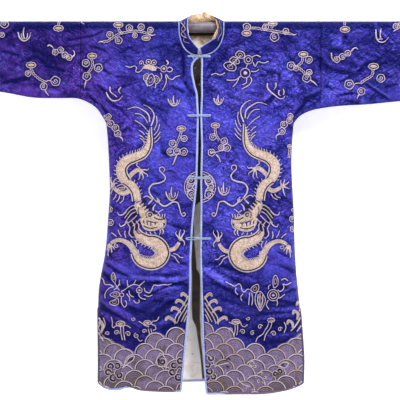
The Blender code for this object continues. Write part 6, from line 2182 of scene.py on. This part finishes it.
def soil_hem(material):
    """The binding of the hem and the side slits is worn and dirty, but for one clean stretch."""
    tree = material.node_tree
    shader = tree.nodes["Principled BSDF"]
    clean = shader.inputs["Base Color"].links[0].from_socket
    parts = separated(tree, add_node(tree, "ShaderNodeTexCoord").outputs["Object"])
    far = reached(tree, combined(tree, "ABSOLUTE", parts["X"], 0.0), 0.075, 0.085)
    stretch = combined(tree, "COMPARE", parts["X"], CLEAN_X)
    stretch.node.inputs[2].default_value = CLEAN_HALF
    elsewhere = combined(tree, "MULTIPLY", far, combined(tree, "SUBTRACT", 1.0, stretch))
    soiled = combined(tree, "MULTIPLY", elsewhere, reached(tree, parts["Z"], -0.8, -0.9))
    tree.links.new(mixed(tree, soiled, clean, SOILED), shader.inputs["Base Color"])


soil_hem(BINDING)
LAST = NECK_COLUMNS - 1 + BODY_COLUMNS  # the column of a panel's side


def edge_points(keys, face):
    """The middle of a binding, a little out of the edge, from (x, drop, inward x, inward drop)."""
    keys = np.array(keys, float)
    inward = keys[:, 2:] / np.linalg.norm(keys[:, 2:], axis=1)[:, None]
    middle = cloth_points(keys[:, 0], keys[:, 1], face, -WALL / 2)
    inner = cloth_points(keys[:, 0] + 5 * inward[:, 0], keys[:, 1] + 5 * inward[:, 1], face, -WALL / 2)
    out = (middle - inner) / np.linalg.norm(middle - inner, axis=1)[:, None]
    return middle + out * BINDING_OUT * MM


def corner(x, drop, first, second):
    """Keys round a corner of the cut, from one edge's inward direction to the next one's."""
    ways = [np.array(first) * (1 - share) + np.array(second) * share for share in (0.0, 0.35, 0.65, 1.0)]
    return [(x, drop, *way) for way in ways]


def slit_rows(drops):
    """The rows of a panel's side where it is slit."""
    return [j for j in range(len(drops)) if drops[j] < VENT_TOP - 0.2 * VENT_EASE]


def half_edge(grid, sign, face, with_front):
    """Down the front edge if asked, along the hem outwards and up the side slit."""
    x, drop, _, _ = grid
    hem = x.shape[1] - 1
    keys = []
    if with_front:
        keys += [(x[0, j], drop[0, j], sign, 0) for j in range(ARC_ROWS, hem, 2)]
        keys += corner(x[0, hem], drop[0, hem], (sign, 0), (0, 1))
    keys += [(x[i, hem], drop[i, hem], 0, 1) for i in range(1, LAST)]
    keys += corner(x[LAST, hem], drop[LAST, hem], (0, 1), (-sign, 0))
    keys += [(x[LAST, j], drop[LAST, j], -sign, 0) for j in slit_rows(drop[LAST])[-2::-2]]
    return edge_points(keys, face)


def add_binding(name, node, path, out=FORWARD, closed=False):
    """A binding along a path. out is the way its thin side faces."""
    wide, deep = BINDING_HALF * MM, BINDING_DEEP * MM
    tube(name, [(path, closed)], out, wide, deep, [BINDING], "binding", (node,), pucker=BINDING_PUCKER)


SIDES = ((-1, "right"), (1, "left"))
CUFF_OUT = 0.9
CUFF_INSIDE = 0.4
front_grids = {-1: SHEETS["right_front_cloth"][1][0], 1: SHEETS["left_front_cloth"][1][0]}
back_grids = {-1: SHEETS["back_cloth"][1][0], 1: SHEETS["back_cloth"][1][1]}
for sign, side in SIDES:
    path = even_path(half_edge(front_grids[sign], sign, -1, True), BINDING_STEP * MM)
    add_binding(f"{side}_front_edge", f"binding_{side}_front", path)
right_half, left_half = (half_edge(back_grids[sign], sign, 1, False) for sign, _ in SIDES)
back_path = np.concatenate([right_half[::-1], left_half])
add_binding("back_edge", "binding_back", even_path(back_path, BINDING_STEP * MM))
for sign, side in SIDES:
    rows = QUARTER_TURN - ring_rows(sign, np.array([sign * CUFF_X]))
    reach = np.full(len(rows), float(sign * CUFF_X))
    front_half, back_half = (cloth_points(reach, rows, face, -CUFF_INSIDE) for face in (-1, 1))
    ring_points = np.concatenate([front_half, back_half[-2:0:-1]])
    cuff = even_path(ring_points + np.array([sign * CUFF_OUT * MM, 0, 0]), BINDING_STEP * MM, True)
    away = cuff - cuff.mean(0)
    away[:, 0] = 0
    away /= np.linalg.norm(away, axis=1)[:, None]
    add_binding(f"{side}_cuff_edge", f"binding_{side}_cuff", cuff, away, True)

# %% [markdown]
# The collar is a band that stands up from the neck seam and leans inwards. It is dark satin outside, with a
# short scroll of couching, and crumpled tan silk inside, which bags away from the band behind the neck. The
# seam and the rim each have a thin piping. The rim's line is given all the way round, because the band has
# sunk unevenly.

# %% The neck seam and the collar
PIPING = build_cord(
    "neck_piping_cord", (0.44, 0.50, 0.90), (0.28, 0.34, 0.74), (0.16, 0.20, 0.55),
    roughness=0.4, metallic=0.1, turns=260.0,
)
COLLAR_RIM = (
    (0.0, -7, -44, -74, 0), (0.06, -16, -44, -63, 0), (0.11, -27, -42, -49, 0), (0.17, -36, -40, -36, 0),
    (0.25, -41, -38, -12, 0), (0.27, -41, -35, -2, 0), (0.29, -41, -30, 7, 0), (0.31, -41, -22, 18, 0),
    (0.33, -40, -12, 27, 1), (0.37, -33, 0, 38, 3), (0.41, -22, 6, 43, 4), (0.49, 2, 10, 46, 6),
    (0.57, 24, 7, 45, 7), (0.61, 38, 1, 39, 7), (0.64, 46, -8, 34, 6), (0.655, 52, -18, 28, 5),
    (0.675, 57, -27, 23, 5), (0.695, 60, -35, 14, 4), (0.71, 62, -41, 5, 4), (0.73, 63, -45, -6, 4),
    (0.815, 53, -48, -36, 3), (0.87, 37, -45, -48, 1), (0.93, 20, -42, -58, 0), (1.0, 2, -42, -71, 0),
)
COLLAR_ROWS = 9
COLLAR_COLUMNS = 161
COLLAR_HEIGHT = 40
COLLAR_CLOTH = 1.5
COLLAR_SHADE = 0.66
COLLAR_INWARD = 0.9  # how far inside the neck seam the band starts
COLLAR_LIFT = 0.3
COLLAR_BULGE = 3


def neck_seam():
    """Points on the cloth round the neck, from the right front to the left, and their outward ways."""
    places = [(front_grids[-1], i, ARC_ROWS, -1) for i in range(NECK_COLUMNS - 1)]
    places += [(front_grids[-1], NECK_COLUMNS - 1, j, -1) for j in range(ARC_ROWS, 0, -1)]
    places += [(back_grids[-1], i, 0, 1) for i in range(NECK_COLUMNS - 1, 0, -1)]
    places += [(back_grids[1], i, 0, 1) for i in range(NECK_COLUMNS)]
    places += [(front_grids[1], NECK_COLUMNS - 1, j, -1) for j in range(1, ARC_ROWS + 1)]
    places += [(front_grids[1], i, ARC_ROWS, -1) for i in range(NECK_COLUMNS - 2, -1, -1)]
    at = np.array([(grid[0][i, j], grid[1][i, j]) for grid, i, j, _ in places])
    faces = np.array([face for *_, face in places])
    outer, inner = np.zeros((len(at), 3)), np.zeros((len(at), 3))
    for face in (-1, 1):
        here = faces == face
        outer[here] = cloth_points(at[here, 0], at[here, 1], face)
        inner[here] = cloth_points(at[here, 0], at[here, 1], face, -2.0)
    out = (outer - inner) / np.linalg.norm(outer - inner, axis=1)[:, None]
    return outer, out


seam, seam_out = neck_seam()
seam_length = path_lengths(seam)
share = seam_length / seam_length[-1]
even = np.linspace(0, 1, COLLAR_COLUMNS)
seam, seam_out = softened(read_columns(even, share, seam)), read_columns(even, share, seam_out)
seam_out /= np.linalg.norm(seam_out, axis=1)[:, None]
away = np.cross(along_path(seam), seam_out)
away *= np.sign((away * (seam - seam.mean(0))).sum(1))[:, None]
rim = np.stack([smooth_read(column(COLLAR_RIM, k), even) for k in (1, 2, 3)], 1) * MM
bag = smooth_read(column(COLLAR_RIM, 4), even) * MM
level = np.linspace(0, 1, COLLAR_ROWS)


def crumpled(size, amount, seed, along=1.0):
    """Soft noise over the band, in metres."""
    u, v = np.meshgrid(even * seam_length[-1] / MM * along, level * COLLAR_HEIGHT, indexing="ij")
    return soft_noise(u.ravel(), v.ravel(), size, seed).reshape(u.shape) * amount * MM


def band(depth, reach=1.0):
    """The collar's surface, depth metres inside its outer face."""
    start = seam - away * COLLAR_INWARD * MM + seam_out * COLLAR_LIFT * MM
    t = (level[None] * np.reshape(reach, (-1, 1)))[..., None]
    bulge = 4 * t * (1 - t) * COLLAR_BULGE * MM
    surface = start[:, None] * (1 - t) + rim[:, None] * t + seam_out[:, None] * bulge
    normal = np.cross(np.gradient(surface, axis=1), np.gradient(surface, axis=0))
    normal /= np.maximum(np.linalg.norm(normal, axis=2), 1e-9)[..., None]
    middle = surface.mean((0, 1))
    if (normal * (surface - middle)).sum() < 0:
        normal = -normal
    return surface - normal * depth[..., None], normal


def band_sheet(name, surface, normal, along, material, inside, thickness, slot, node):
    """One sheet of the collar. along says how far round the neck its columns are, as shares."""
    n, m = surface.shape[:2]
    quads = quad_corners(np.arange(n * m).reshape(n, m)).reshape(-1, 4)
    cut = np.stack(np.meshgrid(along * seam_length[-1], level * COLLAR_HEIGHT * MM, indexing="ij"), -1)
    uvs = quad_corners(cut).reshape(-1, 4, 2)
    flat = surface.reshape(-1, 3)
    a, b, c = flat[quads[:, 0]], flat[quads[:, 1]], flat[quads[:, 2]]
    if (np.cross(b - a, c - b) * normal[:-1, :-1].reshape(-1, 3)).sum() < 0:
        quads, uvs = quads[:, ::-1], uvs[:, ::-1]
    made = mesh_object(name, flat, quads, uvs, material, np.full(len(flat), COLLAR_SHADE))
    thicken(made, thickness, inside)
    finish_piece(made, slot, node)
    return made


outer_face, outer_normal = band(crumpled(9, 0.5, 41))
band_sheet("collar_band", outer_face, outer_normal, even, SATIN, LINING, COLLAR_CLOTH, "satin", "collar")
SILK = build_fill("crumpled_silk", (0.90, 0.68, 0.44), (0.40, 0.22, 0.08), (0.44, 0.26, 0.12), mottle=48.0)
FACING_INSIDE = 0.5
FACING_CLOTH = 0.9
FULL_BAG = 4
arch = np.sin(level * math.pi)[None]
lumps = bag[:, None] * arch**0.7
where_bagged = np.clip(bag[:, None] / (FULL_BAG * MM), 0, 1)
creasing = (crumpled(13, 4.2, 57, 1.3) + crumpled(6, 1.8, 58, 1.0)) * where_bagged * arch**0.5
# how far up the silk reaches along the band: it stands out over the rim behind and at the wearer's left
SILK_REACH = (
    (0.0, 0.97), (0.18, 0.97), (0.24, 1.15), (0.30, 1.05), (0.36, 0.97), (0.41, 1.06), (0.45, 0.90),
    (0.49, 0.88), (0.53, 1.22), (0.57, 1.34), (0.61, 1.24), (0.66, 1.16), (0.70, 1.60), (0.78, 1.75),
    (0.83, 1.45), (0.88, 0.97), (1.0, 0.97),
)
facing_depth = COLLAR_CLOTH * MM + FACING_INSIDE * MM + (lumps + np.abs(creasing))
inner_face, inner_normal = band(facing_depth, smooth_read(SILK_REACH, even))
trim = slice(4, -4)  # the silk stops short of both ends
band_sheet(
    "collar_facing", inner_face[trim], inner_normal[trim], even[trim], SILK, SILK, FACING_CLOTH,
    "collar_lining", "collar_lining",
)


PIPING_STEP = 2.4
PIPING_PUCKER = 0.05


def add_piping(name, node, paths, radius):
    """A round piping along one or more open paths."""
    paths = [(even_path(path, PIPING_STEP * MM), False) for path in paths]
    tube(name, paths, FORWARD, radius * MM, radius * MM, [PIPING], "binding", (node,), pucker=PIPING_PUCKER)


# the right front's corner, folded out
dog_ear = cloth_points([-30, -18, -9, -4], [-89, -107, -103, -99], -1, 2.0)
on_seam = seam + seam_out * 1.5 * MM + away * 1.2 * MM
add_piping("neck_seam_piping", "neck_piping", [on_seam, dog_ear], 1.9)
rising = outer_face[:, -1] - outer_face[:, -2]
rising /= np.linalg.norm(rising, axis=1)[:, None]
# where the silk hangs over the piping, as shares of the way round
SILK_OVER = (0.36, 0.84)
covered = (ease((even - SILK_OVER[0]) / 0.03) * ease((SILK_OVER[1] - even) / 0.03))[:, None]
inward, upward = (0.7 + 0.7 * covered) * MM, (0.9 - 4.0 * covered) * MM
on_rim = outer_face[:, -1] - outer_normal[:, -1] * inward + rising * upward
# down both ends of the band
ends = [outer_face[k] + np.array([side * 2.4 * MM, -0.8 * MM, 0]) for k, side in ((0, 1), (-1, -1))]
rim_path = np.concatenate([ends[0], on_rim[trim], ends[1][::-1]])
add_piping("collar_rim_piping", "collar_piping", [rim_path], 1.5)


FINE_STEP = 1.6


def on_band(shares, heights):
    """Points just off the collar's outer face. Both are shares: along the band, and up it."""
    i, up = (np.asarray(shares) * (COLLAR_COLUMNS - 1)).astype(int), np.asarray(heights) * (COLLAR_ROWS - 1)
    j = up.astype(int)
    part = (up - j)[:, None]
    return outer_face[i, j] * (1 - part) + outer_face[i, j + 1] * part + outer_normal[i, j] * 0.6 * MM


# start and end as shares along the band, where its waves begin, and how high they are as a share of the band
SCROLLS = ((0.11, 0.30, 0.0, 0.20), (0.17, 0.31, 2.6, 0.30), (0.73, 0.84, 1.0, 0.16))
scroll = []
for start, finish, phase, size in SCROLLS:
    along = np.linspace(start, finish, 60)
    wavy = on_band(along, 0.46 + size * np.sin(along * 70 + phase))
    scroll.append((even_path(wavy, FINE_STEP * MM), False))
scroll_cords = [CORDS[LILAC], CORDS[TAN]]
tube("collar_scroll", scroll, FORWARD, 1.2 * MM, 1.0 * MM, scroll_cords, "satin", kinds=[0, 1, 0])
print("collar:", len(seam_length), "seam points read as", len(even), "columns")

# %% [markdown]
# The fastenings are short: a loop of doubled cord on one front, and on the other the same cord with a knot
# that goes through it. Each knot is a small ball of wound cord, here a closed curve that winds round a ring.
# They are placed by looking through the finished pieces from the front.

# %% Fastenings
FROG_CORD = build_cord(
    "fastening_cord", (0.50, 0.62, 0.82), (0.38, 0.52, 0.66), (0.16, 0.22, 0.40),
    roughness=0.42, metallic=0.1, turns=330.0,
)
FROGS = (
    (-95, 0, -39, 33, 0.4), (-285, -2, -39, 34, 0.4), (-485, -2, -40, 33, 1.6), (-679, -4, -45, 34, 2.2),
)
UNDER_FROGS = (
    "right_front_cloth", "left_front_cloth", "right_front_edge", "left_front_edge", "neck_seam_piping",
)
FROG_HALF = 1.6  # from the middle of the doubled cord to the middle of one strand
FROG_LIFT = 1.5
FROG_WIDE, FROG_DEEP = 1.5, 1.4  # the cord's half width and half height
FROG_PUCKER = 0.04
KNOT_LIFT = 4.4
KNOT_CORD = 1.35
BESIDE_KNOT = 4  # how far from the knot's middle the cords begin
KNOT_OUT = (0.1, -1, 0.3)
TAIL_SPREAD = 0.4
depsgraph = bpy.context.evaluated_depsgraph_get()
under = [BVHTree.FromObject(bpy.data.objects[name], depsgraph) for name in UNDER_FROGS]


def foremost(x, z):
    """The front of whatever lies at x and z, in metres."""
    found = []
    for step in (-6, -4, -2, 0, 2, 4, 6):
        for tree in under:
            hit = tree.ray_cast((x + step * MM, -1, z), (0, 1, 0))[0]
            if hit:
                found.append(hit.y)
    return min(found) if found else None


def frog_cord(z, x_from, x_to, spread):
    """A doubled cord on the robe's front: out along its upper strand and back along its lower one."""
    shares = np.linspace(0, 1, 9)
    points = []
    for side, order in ((1, shares), (-1, shares[::-1])):
        for share_at in order:
            height = z + side * (FROG_HALF + spread * math.sin(math.pi * share_at))
            points.append(((x_from + (x_to - x_from) * share_at) * MM, height * MM))
    fronts = [foremost(x, height) for x, height in points]
    nearest = min(y for y in fronts if y is not None)
    fronts = [nearest if y is None else y for y in fronts]
    laid = [(x, y - FROG_LIFT * MM, height) for (x, height), y in zip(points, fronts)]
    return even_path(laid, FINE_STEP * MM, True)


def knot_path(x, y, z):
    """A cord wound round a small ring, the way a knotted button shows its turns."""
    t = np.linspace(0, 2 * math.pi, 90)[:-1]
    reach = 2.35 + 1.15 * np.cos(3 * t)
    ball = np.stack([reach * np.cos(2 * t), -1.5 * np.sin(3 * t), reach * np.sin(2 * t)], 1)
    return np.array([x, y, z]) + ball * MM


for number, (height, knot_x, loop_end, tail_end, spread) in enumerate(FROGS, start=1):
    front = foremost(knot_x * MM, height * MM)
    wound = [(knot_path(knot_x * MM, front - KNOT_LIFT * MM, height * MM), True)]
    radius = KNOT_CORD * MM
    tube(f"knot_{number}", wound, KNOT_OUT, radius, radius, [FROG_CORD], "frog", (f"frog_knot_{number}",))
    halves = (
        ("loop", knot_x - BESIDE_KNOT, loop_end, spread),
        ("tail", knot_x + BESIDE_KNOT, tail_end, TAIL_SPREAD),
    )
    for name, start, end, opened in halves:
        laid = [(frog_cord(height, start, end, opened), True)]
        nodes = (f"frog_{name}_{number}",)
        wide, deep = FROG_WIDE * MM, FROG_DEEP * MM
        tube(f"{name}_cord_{number}", laid, FORWARD, wide, deep, [FROG_CORD], "frog", nodes, FROG_PUCKER)
print("fastenings:", len(FROGS))

# %% [markdown]
# Through the neck and between the fronts the inside of the back shows: a cotton lining, yellowed and
# creased, that hangs just inside the satin. It is a sheet of its own with looser folds. The rod is a plain
# smooth tube.

# %% The back's lining
# height, from which x to which x the lining between the fronts has painted deep shade
GAP_SHADE_BAND = (
    (-1160, 9, 18), (-1060, 0, 8), (-990, -10, 2), (-965, -14, 2), (-940, -25, 0), (-795, -26, -1),
    (-780, -27, -11), (-568, -30, -11), (-545, -60, 50), (-60, -60, 50),
)
LINING_NARROWER = 0.985
LINING_SHORTER = 5
LINING_INSIDE = 0.35
LINING_LOOSE = 0.55  # how deep its own folds are
LINING_CLOTH = 0.25
BAND_BLUR = 0.012  # how softly the band's sides end, in tenths of a metre


def band_sides(x, z):
    """How far a place is to the right of the dark band's left side, and to the left of its right side."""
    left, right = smooth_read(column(GAP_SHADE_BAND, 1), z), smooth_read(column(GAP_SHADE_BAND, 2), z)
    return np.stack([x - left, right - x, np.zeros(x.shape)], 1) / 100


def back_lining_cloth():
    """The lining of the back as one thin sheet with its own loose folds."""
    points, faces, uvs, sides, first = [], [], [], [], 0
    for sign in (-1, 1):
        x, drop, _, _ = back_grids[sign]
        columns = slice(0, LAST + 1)
        rows = slice(ARC_ROWS, x.shape[1], 2)
        x, drop = x[columns, rows].copy(), drop[columns, rows].copy()
        drop[:, -1] += LINING_SHORTER
        x = NECK_CENTRE_X + (x - NECK_CENTRE_X) * LINING_NARROWER
        flat_x, flat_drop = x.ravel(), drop.ravel()
        loose = np.sin(flat_x / 13.0 + flat_drop / 90.0) + soft_noise(flat_x, flat_drop, 34, 77)
        inside = -(WALL + LINING_INSIDE) - LINING_LOOSE * ease(loose * 0.9)
        place = cloth_points(flat_x, flat_drop, 1, inside)
        quads = quad_corners(np.arange(x.size).reshape(x.shape)).reshape(-1, 4)
        cut = quad_corners(np.stack([x, drop], -1) * MM).reshape(-1, 4, 2)
        a, b, c = (place[quads[:, k]] for k in (0, 1, 2))
        if np.cross(b - a, c - b)[:, 1].sum() > 0:  # its shown face looks forward
            quads, cut = quads[:, ::-1], cut[:, ::-1]
        points.append(place)
        faces.append(quads + first)
        uvs.append(cut)
        sides.append(band_sides(flat_x, flat_drop))
        first += x.size
    points, faces, uvs = (np.concatenate(parts) for parts in (points, faces, uvs))
    made = mesh_object("back_lining_cloth", points, faces, uvs, STAINED)
    kept = made.data.attributes.new("band_sides", "FLOAT_VECTOR", "POINT")
    kept.data.foreach_set("vector", np.concatenate(sides).astype(np.float32).ravel())
    join_edges(made)
    back = made.modifiers.new("wall", "SOLIDIFY")
    back.thickness = LINING_CLOTH * MM
    back.offset = -1
    apply_modifiers(made)
    finish_piece(made, "lining", "back_lining")


def build_stained():
    """Old cotton: off-white, stained tan near the neck, with painted shade down the middle, a painted shadow
    line under the rod and faint creases.
    """
    made, tree, shader = start_material("stained_cotton", 0.85)
    place = add_node(tree, "ShaderNodeTexCoord")
    height = separated(tree, place.outputs["Object"])["Z"]
    stain = placed_noise(tree, place.outputs["UV"], 22.0, 3.0, 0.6)
    kept = add_node(tree, "ShaderNodeAttribute", attribute_name="band_sides").outputs["Vector"]
    sides = separated(tree, kept)
    inside = [reached(tree, sides[axis], -BAND_BLUR, BAND_BLUR) for axis in ("X", "Y")]
    dark = combined(tree, "MINIMUM", *inside)
    cotton = mixed(tree, reached(tree, stain, 0.46, 0.66), (0.97, 0.95, 0.96), (0.80, 0.72, 0.66))
    # near-black brown: painted shade on the lining in the gap between the fronts
    gap_shade_colour = mixed(tree, reached(tree, stain, 0.40, 0.62), (0.055, 0.042, 0.036), (0.10, 0.075, 0.05))
    neck = mixed(tree, reached(tree, stain, 0.42, 0.58), (0.95, 0.84, 0.74), (0.42, 0.29, 0.18))
    colour = mixed(tree, dark, cotton, gap_shade_colour)
    colour = mixed(tree, reached(tree, height, -0.088, -0.070), colour, neck)
    # a painted shadow line on the lining just under the rod
    colour = mixed(tree, reached(tree, height, -0.0262, -0.0236), colour, (0.02, 0.015, 0.012))
    tree.links.new(colour, shader.inputs["Base Color"])
    bumped(tree, placed_noise(tree, place.outputs["UV"], 60.0, 2.0), 0.002, 0.5, shader)
    return made


STAINED = build_stained()
back_lining_cloth()

# %% The rod
ROD_LENGTH = 1.6  # metres
ROD_SIDES = 128
ROD_BEVEL = 1.2
SHARP_ANGLE = 40


def build_rod_paint():
    """Smooth dark grey paint, a little cloudy."""
    made, tree, shader = start_material("smooth_tube", 0.35)
    cloudy = placed_noise(tree, add_node(tree, "ShaderNodeTexCoord").outputs["Object"], 30.0, 3.0)
    colour = mixed(tree, reached(tree, cloudy, 0.35, 0.65), (0.07, 0.06, 0.08), (0.20, 0.17, 0.21))
    tree.links.new(colour, shader.inputs["Base Color"])
    return made


bpy.ops.object.select_all(action="DESELECT")
bpy.ops.mesh.primitive_cylinder_add(vertices=ROD_SIDES, radius=ROD_RADIUS * MM, depth=ROD_LENGTH)
rod = bpy.context.object
rod.name = rod.data.name = "hanging_rod"
place = coordinates(rod)
rod.data.vertices.foreach_set("co", np.stack([place[:, 2], place[:, 1], -place[:, 0]], 1).ravel())
rounded = rod.modifiers.new("ends", "BEVEL")
rounded.width = ROD_BEVEL * MM
rounded.segments = 3
apply_modifiers(rod)
rod.data.shade_smooth()
rod.data.set_sharp_from_angle(angle=math.radians(SHARP_ANGLE))
rod.data.materials.clear()
rod.data.materials.append(build_rod_paint())
finish_piece(rod, "rod", "rod")
print("rod:", round(2 * ROD_RADIUS), "mm across,", ROD_LENGTH, "m long")
